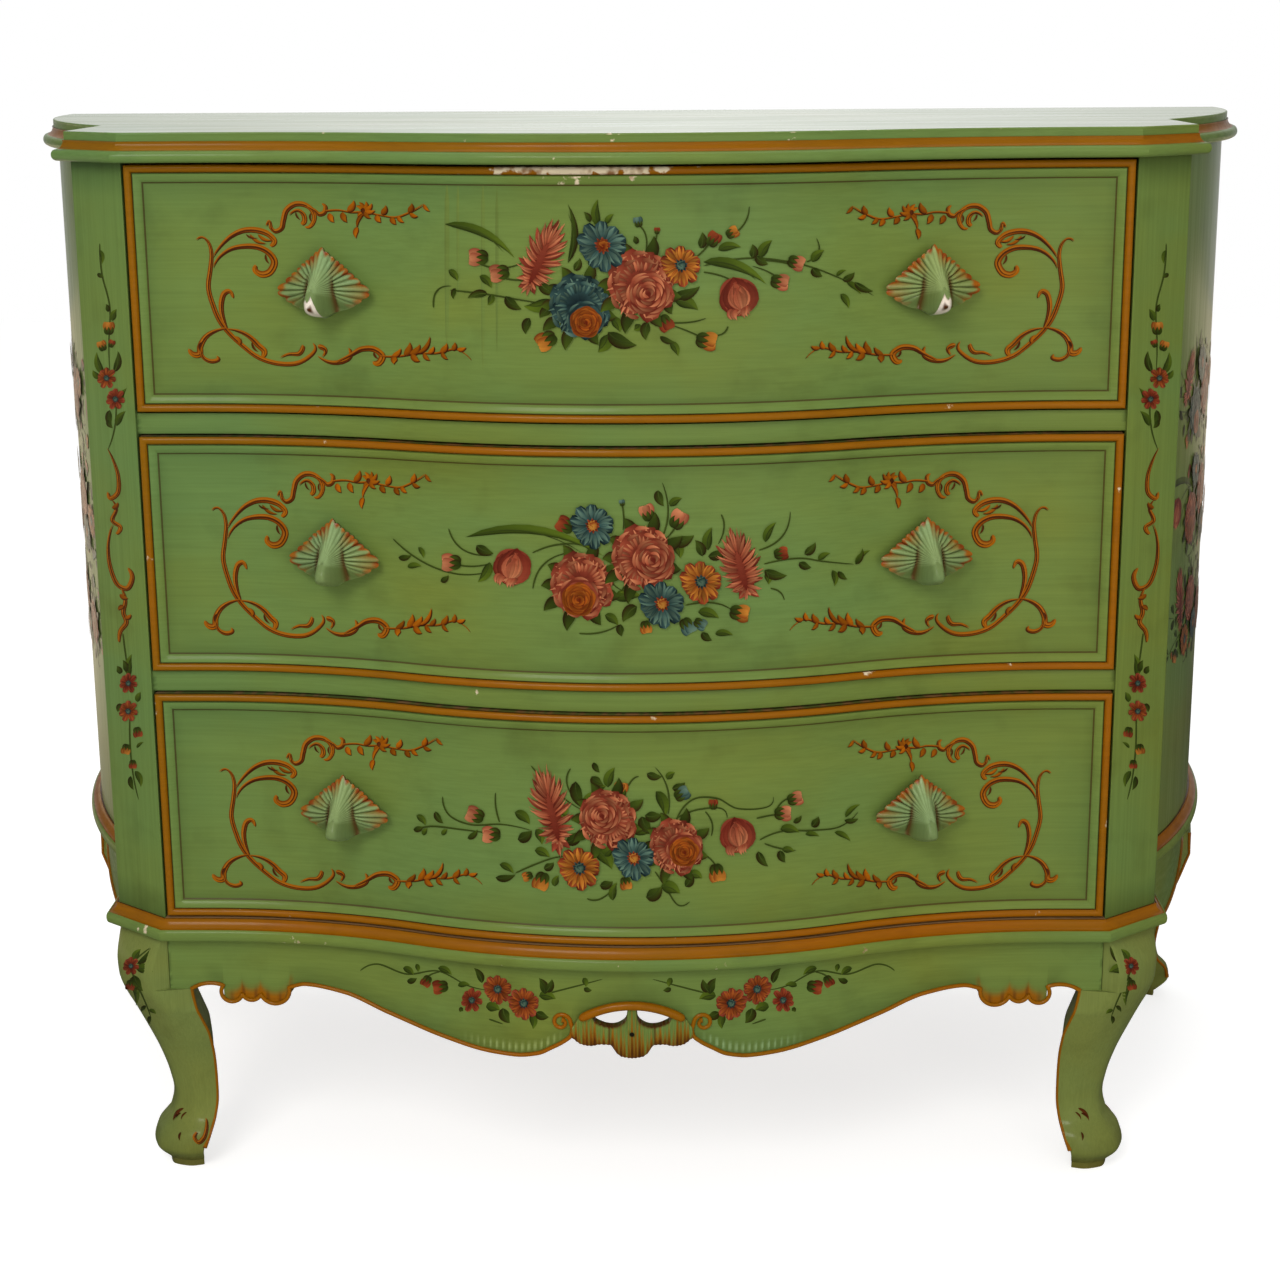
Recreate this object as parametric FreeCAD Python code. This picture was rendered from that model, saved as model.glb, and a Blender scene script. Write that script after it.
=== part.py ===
"""Painted serpentine commode: three drawers between canted posts, bowed sides, cabriole legs.

Millimetres. X runs to the right, Y to the back and Z up. The origin is on the floor, under the
middle of the object's box. Plan sizes are measured from the line of the front posts.
"""
import FreeCAD, Part
import math
import os

Vec = FreeCAD.Vector
UP = Vec(0, 0, 1)
ORIGIN = Vec(0, 0, 0)
ACROSS = Vec(1, 0, 0)
BACK = Vec(0, 1, 0)

# Plan of the case
front_half_width = 380.0     # middle of the front to the inner edge of a post
front_bow = 63.0             # swell of the serpentine front at its middle
front_flat = 38.0            # straight run of the front beside each post
post_face_width = 47.0       # canted post face along X
post_face_depth = 37.5       # canted post face along Y
post_return = 114.5          # straight return behind the canted face
side_swell = 103.0           # swell of the bowed side past the return
case_depth = 466.0           # line of the posts to the back

# Carcass boards
post_depth = 70.0
post_step = 25.0             # how far the back of a post steps outwards
panel_thickness = 14.0
back_thickness = 8.0
rear_post_width = 36.0
rear_post_depth = 34.0
rail_thickness = 16.0
rail_setback = 6.0
top_rail_thickness = 14.0
top_rail_setback = 34.0
top_rail_width = 50.0

# Heights
leg_height = 218.0
drawer_height = 186.5
drawer_gap = 1.75
drawer_names = ("bottom_drawer", "middle_drawer", "top_drawer")

# Moulded edge of the top, from the underside up
top_thickness = 22.0
top_reach = 13.0             # torus past the case
top_torus_height = 9.0
top_torus_depth = 4.0
top_cove_height = 6.5
top_arris_reach = 3.5        # upper edge past the case
top_step = 1.2
moulding_lap = 3.0           # how far an edge strip reaches into its board
cove_bend_share = 0.3        # middle of a cove towards its corner
crown_start_share = 0.25     # where the crown of a bead or torus starts

# Base moulding, from the bottom up
base_height = 17.0
base_reach = 10.0
base_chamfer = 2.0
base_band_height = 9.5
base_cove_head = 1.5         # ledge above the cove

# Drawer
face_proud = 1.0             # crown of the edge bead past the line of the posts
frame_width = 14.0
frame_height = 5.0           # edge moulding in front of the sunk panel
bead_width = 6.0
quirk_depth = 1.4
front_board_thickness = 20.0
box_inset = 6.0              # drawer side inside the post's inner edge
box_lift = 12.0              # drawer side above the lower edge of its front
box_height = 150.0
box_wall = 12.0
box_back_gap = 28.0          # drawer back to the back panel
bottom_thickness = 6.0
bottom_lift = 8.0
runner_clearance = 0.3
guide_clearance = 0.5
guide_height = 18.0
ledge_width = 22.0           # ledge of a runner under the drawer side

# Carved leaf pulls
knob_spacing = 450.0
knob_lift = 3.0              # knob axis above the middle of the front
knob_radius = 31.0
knob_reach = 42.0
knob_leaf_share = 0.26       # depth of the three leaf tips
knob_squash_share = 0.8
knob_points = 12
# How far out, how wide, how far down and how leafy each section of a knob is
knob_section_shares = ((-0.1, 0.36, 0.0, 0.0), (0.08, 0.38, 0.0, 0.1), (0.3, 1.0, 0.0, 1.0),
                       (0.46, 0.8, 0.08, 0.7), (0.74, 0.46, 0.24, 0.3), (0.92, 0.32, 0.34, 0.0),
                       (1.0, 0.17, 0.37, 0.0))
tenon_width = 12.0           # square tenon that holds a knob in its front
tenon_length = 13.0
tenon_clearance = 0.15

# Aprons between the legs
apron_depth = 79.0           # lowest scallop under the case
apron_setback = 3.0
apron_thickness = 20.0
side_apron_depth = 73.0
sawn_facet = 0.3             # how far a straight facet may leave a sawn curve
leg_joint_gap = 0.2
shell_half_width = 52.0
shell_proud = 6.0
shell_crown_share = 0.33     # crown of the arch over the shell, in apron depths below the case
shell_foot_share = 0.64
# Right half of the front apron's lower edge, as shares of the half width and of the apron depth
apron_end_shares = ((1.0, 0.577), (0.94, 0.577), (0.912, 0.525), (0.885, 0.54))
apron_lobe_shares = ((0.868, 0.72, 0.845, 0.63), (0.825, 0.7, 0.805, 0.63), (0.773, 0.73, 0.742, 0.54))
apron_wave_shares = ((0.705, 0.495), (0.62, 0.55), (0.525, 0.715), (0.4, 0.89), (0.3, 0.985), (0.245, 1.0),
                     (0.2, 0.965), (0.168, 0.87), (0.15, 0.74))
# Lobes and piercing of the shell, as shares of its half width and of the apron depth
shell_lobe_shares = ((0.73, 0.85), (0.35, 0.75), (0.0, 0.93))
shell_hole_shares = ((0.12, 0.52), (0.3, 0.4), (0.56, 0.53), (0.32, 0.545))
# Lower edge of a side apron from front to back, as shares of the case depth and of its own depth
side_apron_shares = ((0.1, 0.625), (0.16, 0.625), (0.2, 0.57), (0.25, 0.6), (0.36, 0.84), (0.49, 1.0),
                     (0.62, 0.84), (0.73, 0.6), (0.78, 0.57), (0.83, 0.625), (0.9, 0.625))
rear_apron_depth = 40.0

# Cabriole legs
leg_width = 60.0
leg_pad_height = 6.0
# Height share, then shares of the leg width from the corner of the case, the same across and to the front:
# inner corner, outer face, outer corner's cut, and how deep the cut's middle lies in it
leg_section_shares = (
    (0.02, -0.95, -0.46, 0.14, 0.35),
    (0.092, -1.035, -0.3, 0.34, 0.3),
    (0.147, -1.146, -0.345, 0.36, 0.3),
    (0.206, -1.21, -0.51, 0.28, 0.3),
    (0.275, -1.227, -0.561, 0.25, 0.3),
    (0.358, -1.23, -0.535, 0.26, 0.32),
    (0.459, -1.22, -0.421, 0.32, 0.35),
    (0.573, -1.225, -0.176, 0.5, 0.4),
    (0.688, -1.197, 0.04, 0.66, 0.46),
    (0.789, -1.174, 0.11, 0.75, 0.5),
)
leg_pad_shares = (0.0, -0.93, -0.52, 0.14, 0.35)
leg_lean_share = 0.16        # inner corner at the back, outside the one at the front
leg_arris_share = 0.03
rear_leg_shift = 6.0         # corner of a rear leg past the side
rear_leg_inset = 7.0         # corner of a rear leg in front of the back
leg_loft_steps = 14

# Worked out from the sizes above
post_line_y = (front_bow + top_reach - case_depth) / 2
swing = front_half_width - front_flat
bend_radius = (swing ** 2 + front_bow ** 2) / (4 * front_bow)
bend_angle = math.asin(swing / 2 / bend_radius)
post_corner_x = front_half_width + post_face_width
return_end_y = post_face_depth + post_return
side_run = case_depth - return_end_y
side_radius = (side_swell ** 2 + side_run ** 2) / (2 * side_swell)
back_half_width = post_corner_x + side_swell
floor_z = leg_height + base_height
drawer_pitch = drawer_height + 2 * drawer_gap + rail_thickness
case_top_z = floor_z + len(drawer_names) * drawer_pitch - rail_thickness
panel_setback = frame_height - face_proud
front_back_offset = -(panel_setback + front_board_thickness)
box_half = front_half_width - box_inset
box_back_y = case_depth - back_thickness - box_back_gap
knob_x = knob_spacing / 2
overrun = case_depth


def plan(x, y, z=0.0):
    """A point from its plan place and height."""
    return Vec(x, post_line_y + y, z)


class LineRun:
    """A straight stretch of a plan line, whose outer side is on its right."""

    def __init__(self, start, end):
        self.start = start
        self.end = end
        self.along = (end - start).normalize()
        self.outward = self.along.cross(UP)

    def extended(self, length):
        return LineRun(self.start - self.along * length, self.end + self.along * length)

    def station(self, offset):
        return self.start + self.outward * offset

    def edge(self, offset, z):
        shift = self.outward * offset + UP * z
        return Part.LineSegment(self.start + shift, self.end + shift).toShape()

    def solid(self, profile):
        return section(profile, self.station).extrude(self.end - self.start)


class ArcRun:
    """An arc of a plan line. With bulge 1 its outer side is away from the centre, with -1 towards it."""

    def __init__(self, centre, radius, first, last, bulge):
        self.centre = centre
        self.radius = radius
        self.first = first
        self.last = last
        self.bulge = bulge

    def point(self, angle, offset):
        reach = self.radius + self.bulge * offset
        return self.centre + Vec(math.cos(angle), math.sin(angle), 0) * reach

    def station(self, offset):
        return self.point(self.first, offset)

    def edge(self, offset, z):
        angles = (self.first, (self.first + self.last) / 2, self.last)
        points = [self.point(angle, offset) + UP * z for angle in angles]
        return Part.Arc(*points).toShape()

    def solid(self, profile):
        return section(profile, self.station).revolve(self.centre, UP, math.degrees(self.last - self.first))


def section(profile, station):
    """Face of a profile given as (offset, height) corners."""
    return polygon([station(offset) + UP * height for offset, height in profile])


def polygon(points):
    """Face with straight edges through the points."""
    return Part.Face(Part.makePolygon(points + points[:1]))


def crowned(first, crown, last):
    """Corners of a bead between two heights, with a flat crown at a larger offset."""
    rise = (last[1] - first[1]) * crown_start_share
    return [first, (crown, first[1] + rise), (crown, last[1] - rise), last]


def faceted(rings):
    """Carved solid through rings of points, in triangles between each ring and the next."""
    faces = [polygon(rings[0]), polygon(rings[-1])]
    for lower, upper in zip(rings, rings[1:]):
        for here, after in zip(range(-1, len(lower) - 1), range(len(lower))):
            faces.append(polygon([lower[here], lower[after], upper[after]]))
            faces.append(polygon([lower[here], upper[after], upper[here]]))
    solid = Part.makeSolid(Part.makeShell(faces))
    if solid.Volume < 0:
        solid.reverse()
    return solid


def serpentine(half):
    """Runs of the serpentine front from left to right: flat, hollow, swell, hollow, flat."""
    quarter = math.pi / 2
    left_hollow = ArcRun(plan(-swing, -bend_radius), bend_radius, quarter, quarter - bend_angle, -1)
    swell = ArcRun(plan(0, bend_radius - front_bow), bend_radius,
                   -quarter - bend_angle, -quarter + bend_angle, 1)
    right_hollow = ArcRun(plan(swing, -bend_radius), bend_radius, quarter + bend_angle, quarter, -1)
    return [LineRun(plan(-half, 0), plan(-swing, 0)), left_hollow, swell, right_hollow,
            LineRun(plan(swing, 0), plan(half, 0))]


def front_surface(x, offset):
    """Point and outward direction of the hollow part of the front at a place across it."""
    centre = plan(math.copysign(swing, x), -bend_radius)
    reach = bend_radius - offset
    across = x - centre.x
    point = centre + Vec(across, math.sqrt(reach ** 2 - across ** 2), 0)
    return point, (centre - point).normalize()


canted_run = LineRun(plan(front_half_width, 0), plan(post_corner_x, post_face_depth))
return_run = LineRun(plan(post_corner_x, post_face_depth), plan(post_corner_x, return_end_y))
side_centre = plan(back_half_width - side_radius, case_depth)
side_arc = ArcRun(side_centre, side_radius, -math.asin(side_run / side_radius), 0.0, 1)


def one(shape):
    """The only solid of a shape."""
    solids = shape.Solids
    if len(solids) != 1:
        raise ValueError("expected one solid, found %d" % len(solids))
    return solids[0]


def joined(solids):
    return one(solids[0].multiFuse(solids[1:]).removeSplitter())


def mirrored(shape):
    return shape.mirror(ORIGIN, ACROSS)


def slab(edges, height):
    """Board with a plan outline given as edges at its lower face."""
    return Part.Face(Part.Wire(Part.__sortEdges__(edges))).extrude(UP * height)


def outline_edges(points):
    """Straight edges from each point to the next."""
    return [Part.LineSegment(a, b).toShape() for a, b in zip(points, points[1:])]


def block(x0, x1, y0, y1, z0, z1):
    """Box between plan places and heights."""
    return Part.makeBox(x1 - x0, y1 - y0, z1 - z0, plan(x0, y0, z0))


def half_space(point, direction):
    """Large box on the side of a plane that the direction points to."""
    size = 2 * (case_depth + back_half_width)
    box = Part.makeBox(size, size, size, Vec(-size / 2, -size / 2, 0))
    box.Placement = FreeCAD.Placement(point, FreeCAD.Rotation(UP, direction))
    return box


def ends(half, front_offset, back_y, z):
    """The two ends and the straight back of a board with a serpentine front edge."""
    front_y = -front_offset
    corners = ((half, front_y), (half, back_y), (-half, back_y), (-half, front_y))
    return outline_edges([plan(x, y, z) for x, y in corners])


def front_slab(front_offset, back_y, half, z, height):
    """Board with a serpentine front edge and a straight back edge."""
    edges = [run.edge(front_offset, z) for run in serpentine(half)]
    return slab(edges + ends(half, front_offset, back_y, z), height)


def front_board(front_offset, back_offset, half, z, height):
    """Upright board that follows the serpentine front with both faces."""
    edges = [run.edge(offset, z) for offset in (front_offset, back_offset) for run in serpentine(half)]
    for x in (half, -half):
        edges += outline_edges([plan(x, -front_offset, z), plan(x, -back_offset, z)])
    return slab(edges, height)


def case_outline(z):
    """Edges of the case plan: serpentine, canted posts, returns, bowed sides and back."""
    right = [run.edge(0, z) for run in (canted_run, return_run, side_arc)]
    left = [mirrored(edge) for edge in right]
    back = outline_edges([plan(back_half_width, case_depth, z), plan(-back_half_width, case_depth, z)])
    return [run.edge(0, z) for run in serpentine(front_half_width)] + right + left + back


def edge_strips(profile, reach):
    """Mitred strips of a moulding round the case: front, right corner and right side."""
    front_mitre = (ACROSS + canted_run.along).normalize()
    back_mitre = (canted_run.along + return_run.along).normalize()
    front = joined([run.solid(profile) for run in serpentine(front_half_width + reach)])
    front = front.cut(half_space(canted_run.start, front_mitre))
    front = one(front.cut(mirrored(half_space(canted_run.start, front_mitre))))
    canted = canted_run.extended(reach).solid(profile)
    canted = canted.cut(half_space(canted_run.start, front_mitre * -1))
    canted = canted.cut(half_space(canted_run.end, back_mitre))
    returned = LineRun(return_run.start - return_run.along * reach, return_run.end).solid(profile)
    returned = returned.cut(half_space(canted_run.end, back_mitre * -1))
    corner = joined([one(canted), one(returned)])
    return front, corner, side_arc.solid(profile)


def top_profile():
    """Moulded edge of the top: torus, cove, step and fillet."""
    z = case_top_z
    torus_x = top_reach - top_torus_depth
    torus_z = z + top_torus_height
    cove_z = torus_z + top_cove_height
    cove_x = top_arris_reach + top_step
    cove_middle_x = cove_x + (torus_x - cove_x) * cove_bend_share
    cove_middle_z = torus_z + top_cove_height * cove_bend_share
    crown_z = z + top_thickness
    torus = crowned((torus_x, z), top_reach, (torus_x, torus_z))
    return [(-moulding_lap, z)] + torus + [
        (cove_middle_x, cove_middle_z), (cove_x, cove_z), (top_arris_reach, cove_z),
        (top_arris_reach, crown_z), (-moulding_lap, crown_z)]


def base_profile():
    """Base moulding: a flat band with a rounded face under a cove."""
    z = leg_height
    band_z = z + base_band_height
    cove_x = base_reach - base_chamfer
    cove_middle_x = base_cove_head + (cove_x - base_cove_head) * cove_bend_share
    cove_middle_z = band_z + (base_height - base_band_height) * cove_bend_share
    band = crowned((base_reach - base_chamfer, z), base_reach, (cove_x, band_z))
    return [(0, z)] + band + [(cove_middle_x, cove_middle_z), (base_cove_head, floor_z), (0, floor_z)]


def build_top():
    front, corner, side = edge_strips(top_profile(), top_reach)
    board = slab(case_outline(case_top_z), top_thickness)
    return {"top_board": joined([board, front, corner, side, mirrored(corner), mirrored(side)])}


def build_base():
    front, corner, side = edge_strips(base_profile(), base_reach)
    side = one(side.cut(corner))
    return {
        "bottom_board": slab(case_outline(leg_height), base_height),
        "base_moulding_front": front,
        "base_moulding_right_corner": corner, "base_moulding_left_corner": mirrored(corner),
        "base_moulding_right": side, "base_moulding_left": mirrored(side),
    }


def build_front_post():
    step_x = front_half_width + post_step
    corners = [plan(front_half_width, 0, floor_z), plan(post_corner_x, post_face_depth, floor_z),
               plan(post_corner_x, return_end_y, floor_z), plan(step_x, return_end_y, floor_z),
               plan(step_x, post_depth, floor_z), plan(front_half_width, post_depth, floor_z)]
    post = slab(outline_edges(corners + corners[:1]), case_top_z - floor_z)
    return {"right_front_post": post, "left_front_post": mirrored(post)}


def build_sides():
    """Bowed side panels with a rear post inside each, and the back between them."""
    inner_radius = side_radius - panel_thickness
    first = -math.asin(side_run / inner_radius)
    bowed = ArcRun(side_centre, side_radius, first, 0.0, 1)
    panel = bowed.solid([(-panel_thickness, floor_z), (0, floor_z),
                         (0, case_top_z), (-panel_thickness, case_top_z)])
    panel = one(panel.cut(half_space(plan(0, return_end_y), BACK * -1)))
    inside = Part.makeCylinder(inner_radius, case_top_z, side_centre)
    post_x = back_half_width - panel_thickness - rear_post_width
    back_y = case_depth - back_thickness
    rear_post = block(post_x, back_half_width, back_y - rear_post_depth, back_y, floor_z, case_top_z)
    rear_post = one(rear_post.common(inside))
    back_half = side_centre.x + math.sqrt(inner_radius ** 2 - back_thickness ** 2)
    back = block(-back_half, back_half, back_y, case_depth, floor_z, case_top_z)
    return {"right_side_panel": panel, "left_side_panel": mirrored(panel), "right_rear_post": rear_post,
            "left_rear_post": mirrored(rear_post), "back_panel": back}


def build_rails():
    rails = {}
    for name, level in (("lower_rail", 1), ("upper_rail", 2)):
        z = floor_z + level * drawer_pitch - rail_thickness
        rails[name] = front_slab(-rail_setback, post_depth, front_half_width, z, rail_thickness)
    rails["top_rail"] = block(-front_half_width, front_half_width, top_rail_setback,
                              top_rail_setback + top_rail_width, case_top_z - top_rail_thickness, case_top_z)
    return rails


def build_runners():
    """Ledge and guide under each side of each drawer, from the rail to the back panel."""
    runners = {}
    ledge_x = box_half - ledge_width
    guide_x = box_half + guide_clearance
    outer_x = front_half_width + post_step
    for level, name in enumerate(drawer_names):
        foot_z = floor_z + level * drawer_pitch
        bottom_z = foot_z - (rail_thickness if level else 0)
        ledge_z = foot_z + drawer_gap + box_lift - runner_clearance
        corners = [(ledge_x, bottom_z), (outer_x, bottom_z), (outer_x, ledge_z + guide_height),
                   (guide_x, ledge_z + guide_height), (guide_x, ledge_z), (ledge_x, ledge_z)]
        points = [plan(x, post_depth, z) for x, z in corners + corners[:1]]
        profile = Part.Face(Part.Wire(outline_edges(points)))
        runner = profile.extrude(BACK * (case_depth - back_thickness - post_depth))
        side_name = name.replace("drawer", "runner")
        runners["right_" + side_name] = runner
        runners["left_" + side_name] = mirrored(runner)
    return runners


def frame_profile():
    """Bead and slope of a drawer's edge moulding, as offsets from the case and distances inwards."""
    base = -panel_setback
    crown = base + frame_height
    quirk = crown - quirk_depth
    return [(base, 0)] + crowned((quirk, 0), crown, (quirk, bead_width)) + [(base, frame_width)]


def mitre_prism(corners):
    """Upright outline on the front, run through the whole depth of the case."""
    return polygon([plan(x, -overrun, z) for x, z in corners]).extrude(BACK * (2 * overrun))


def drawer_frame(z):
    """Four mitred strips of edge moulding round a drawer front."""
    profile = frame_profile()
    top = z + drawer_height
    half = front_half_width - drawer_gap
    inner = half - frame_width
    sill_z = z + frame_width
    head_z = top - frame_width
    lower = joined([run.solid([(h, z + inwards) for h, inwards in profile]) for run in serpentine(half)])
    upper = joined([run.solid([(h, top - inwards) for h, inwards in profile]) for run in serpentine(half)])
    right = polygon([plan(half - inwards, -h, z) for h, inwards in profile]).extrude(UP * drawer_height)
    lower = lower.common(mitre_prism([(-half, z), (half, z), (inner, sill_z), (-inner, sill_z)]))
    upper = upper.common(mitre_prism([(-half, top), (half, top), (inner, head_z), (-inner, head_z)]))
    right = right.common(mitre_prism([(half, z), (half, top), (inner, head_z), (inner, sill_z)]))
    return Part.makeCompound([one(shape) for shape in (lower, upper, right, mirrored(right))])


def knob_frame(side, z):
    """Foot of a knob on the sunk panel, with the directions across and out of it."""
    point, outward = front_surface(side * knob_x, -panel_setback)
    return point + UP * z, outward.cross(UP), outward


def knob_tenon(side, z, room):
    """Square tenon behind a knob; its mortise has room on every side."""
    foot, across, outward = knob_frame(side, z)
    half = tenon_width / 2 + room
    depth = tenon_length + room
    inside = knob_reach * knob_section_shares[2][0]
    back = foot - outward * depth
    signs = ((-1, -1), (1, -1), (1, 1), (-1, 1))
    corners = [back + across * (a * half) + UP * (b * half) for a, b in signs]
    return polygon(corners).extrude(outward * (depth + inside))


def build_knob(side, z, panel):
    """Leaf pull: a neck scribed to the panel that spreads into three leaf tips and a nose."""
    foot, across, outward = knob_frame(side, z)
    sections = []
    for out_share, width_share, drop_share, leaf_share in knob_section_shares:
        centre = foot + outward * (knob_reach * out_share) - UP * (knob_radius * drop_share)
        points = []
        for step in range(knob_points):
            angle = 2 * math.pi * step / knob_points
            leaf = 1 + knob_leaf_share * leaf_share * math.cos(3 * angle)
            reach = knob_radius * width_share * leaf
            points.append(centre + across * (reach * math.sin(angle))
                          + UP * (reach * math.cos(angle) * knob_squash_share))
        sections.append(points)
    return joined([one(faceted(sections).cut(panel)), knob_tenon(side, z, 0)])


def build_drawer(level, name):
    """Serpentine front with its edge moulding, a box behind it and two leaf pulls."""
    z = floor_z + level * drawer_pitch + drawer_gap
    knob_z = z + drawer_height / 2 + knob_lift
    half = front_half_width - drawer_gap
    panel = front_board(-panel_setback, front_back_offset, half, z, drawer_height)
    front = panel
    for side in (-1, 1):
        front = front.cut(knob_tenon(side, knob_z, tenon_clearance))
    front_y = -front_back_offset
    box_z = z + box_lift
    wall_x = box_half - box_wall
    right_side = block(wall_x, box_half, front_y, box_back_y, box_z, box_z + box_height)
    back = block(-wall_x, wall_x, box_back_y - box_wall, box_back_y, box_z, box_z + box_height)
    bottom_z = box_z + bottom_lift
    bottom = front_slab(front_back_offset, box_back_y - box_wall, wall_x, bottom_z, bottom_thickness)
    return {
        name + "_front": one(front),
        name + "_edge_moulding": drawer_frame(z),
        name + "_right_side": right_side, name + "_left_side": mirrored(right_side),
        name + "_back": back, name + "_bottom": bottom,
        name + "_right_knob": build_knob(1, knob_z, panel),
        name + "_left_knob": build_knob(-1, knob_z, panel),
    }


def leg_ring(corner, across, forward, shares):
    """Section of a cabriole leg at one height: a square whose outer corner is rounded off."""
    height_share, *width_shares, corner_share = shares
    inner, outer, cut = [leg_width * share for share in width_shares]
    level = corner + UP * (leg_height * height_share)
    arris = leg_width * leg_arris_share
    flush = min(outer, -apron_setback)
    middle = outer - cut * corner_share
    back = inner + leg_width * leg_lean_share
    front_half = [(inner, flush - arris), (inner + arris, flush), (outer - cut, min(outer, 0))]
    side_half = [(outer, outer - cut), (flush, inner + arris), (flush - arris, inner)]
    places = front_half + [(middle, middle)] + side_half + [(back, back)]
    return [level + across * a + forward * b for a, b in places]


def eased(before, start, end, after, part):
    """Smooth step from start to end that rests where the row of values turns back."""
    slopes = []
    for earlier, here, later in ((before, start, end), (start, end, after)):
        rise = here - earlier
        fall = later - here
        slopes.append(2 * rise * fall / (rise + fall) if rise * fall > 0 else 0.0)
    square = part ** 2
    cube = part ** 3
    return (start * (2 * cube - 3 * square + 1) + slopes[0] * (cube - 2 * square + part)
            + end * (3 * square - 2 * cube) + slopes[1] * (cube - square))


def leg_shares(level):
    """Section shares of a leg at an even step between the lowest and the highest row."""
    rows = leg_section_shares
    place = level / leg_loft_steps * (len(rows) - 1)
    index = min(int(place), len(rows) - 2)
    four = [rows[max(0, min(len(rows) - 1, index + shift))] for shift in (-1, 0, 1, 2)]
    return [eased(*column, place - index) for column in zip(*four)]


def leg_block(corner, across, forward):
    """Block over the knee, beside the aprons: the knee's section drawn up to the case."""
    inner = leg_joint_gap - post_face_width
    ring = leg_ring(corner, across, forward, leg_section_shares[-1])
    shoulder = ring[0].z
    level = corner + UP * shoulder
    ends = [level + across * a + forward * b
            for a, b in ((-apron_setback, inner), (inner, inner), (inner, -apron_setback))]
    return polygon(ring[2:5] + ends).extrude(UP * (leg_height - shoulder))


def build_leg(corner, across, forward):
    """Cabriole leg: block, swelling knee, slim ankle, toe turned outwards on a small pad."""
    levels = range(leg_loft_steps + 1)
    shaft = faceted([leg_ring(corner, across, forward, leg_shares(level)) for level in levels])
    pad = polygon(leg_ring(corner, across, forward, leg_pad_shares)).extrude(UP * leg_pad_height)
    return joined([shaft, pad, leg_block(corner, across, forward)])


rear_leg_corner = plan(back_half_width + rear_leg_shift, case_depth - rear_leg_inset)


def build_legs():
    front = build_leg(plan(post_corner_x, 0), ACROSS, BACK * -1)
    rear = build_leg(rear_leg_corner, ACROSS, BACK)
    return {"right_front_leg": front, "left_front_leg": mirrored(front),
            "right_rear_leg": rear, "left_rear_leg": mirrored(rear)}


def apron_point(share, drop_share):
    """Place on the front apron from shares of the front's half width and the apron's depth."""
    return Vec(front_half_width * share, -overrun, leg_height - apron_depth * drop_share)


def shell_point(share, drop_share):
    return Vec(shell_half_width * share, -overrun, leg_height - apron_depth * drop_share)


def facets(curve):
    """Short straight edges along a sawn curve."""
    return outline_edges(curve.toShape().discretize(Deflection=sawn_facet))


def smooth(points):
    curve = Part.BSplineCurve()
    curve.interpolate(points)
    return facets(curve)


def arc(points):
    return facets(Part.Arc(*points))


def shell_arch():
    """Arch of the apron over the shell."""
    ends_and_middle = ((1, shell_foot_share), (0, shell_crown_share), (-1, shell_foot_share))
    return arc([shell_point(*share) for share in ends_and_middle])


def through(edges):
    """Prism through the whole depth of the case from an outline on its front."""
    return Part.Face(Part.Wire(Part.__sortEdges__(edges))).extrude(BACK * (2 * overrun))


def build_front_apron():
    """Scalloped apron with carved ears beside the legs, and the pierced shell in its middle."""
    board_z = leg_height - apron_depth
    back_offset = -(apron_setback + apron_thickness)
    board = front_board(-apron_setback, back_offset, front_half_width, board_z, apron_depth)
    right = outline_edges([apron_point(*share) for share in apron_end_shares[:2]])
    right += arc([apron_point(*share) for share in apron_end_shares[1:]])
    last = apron_end_shares[-1]
    for mid_share, mid_drop, end_share, end_drop in apron_lobe_shares:
        right += arc([apron_point(*last), apron_point(mid_share, mid_drop), apron_point(end_share, end_drop)])
        last = (end_share, end_drop)
    wave = [apron_point(*last)] + [apron_point(*share) for share in apron_wave_shares]
    right += smooth(wave)
    right += outline_edges([wave[-1], shell_point(1, shell_foot_share)])
    end_share, end_drop = apron_end_shares[0]
    head = [apron_point(end_share, end_drop), apron_point(end_share, 0),
            apron_point(-end_share, 0), apron_point(-end_share, end_drop)]
    edges = right + [mirrored(edge) for edge in right] + shell_arch() + outline_edges(head)
    apron = one(board.common(through(edges)))

    lobe, notch, drop = shell_lobe_shares
    left_lobe, left_notch = [(-share[0], share[1]) for share in (lobe, notch)]
    lobes = ((1, shell_foot_share), lobe, notch, drop, left_notch, left_lobe, (-1, shell_foot_share))
    shell_edges = shell_arch()
    for ends_and_middle in (lobes[0:3], lobes[2:5], lobes[4:7]):
        shell_edges += arc([shell_point(*share) for share in ends_and_middle])
    shell_offset = shell_proud - apron_setback
    shell_board = front_board(shell_offset, back_offset, front_half_width, board_z, apron_depth)
    shell = shell_board.common(through(shell_edges))
    first, crown, last, sag = [shell_point(*share) for share in shell_hole_shares]
    hole = through(arc([first, crown, last]) + arc([last, sag, first]))
    shell = one(shell.cut(hole).cut(mirrored(hole)))
    return {"front_apron": apron, "apron_shell": shell}


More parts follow.
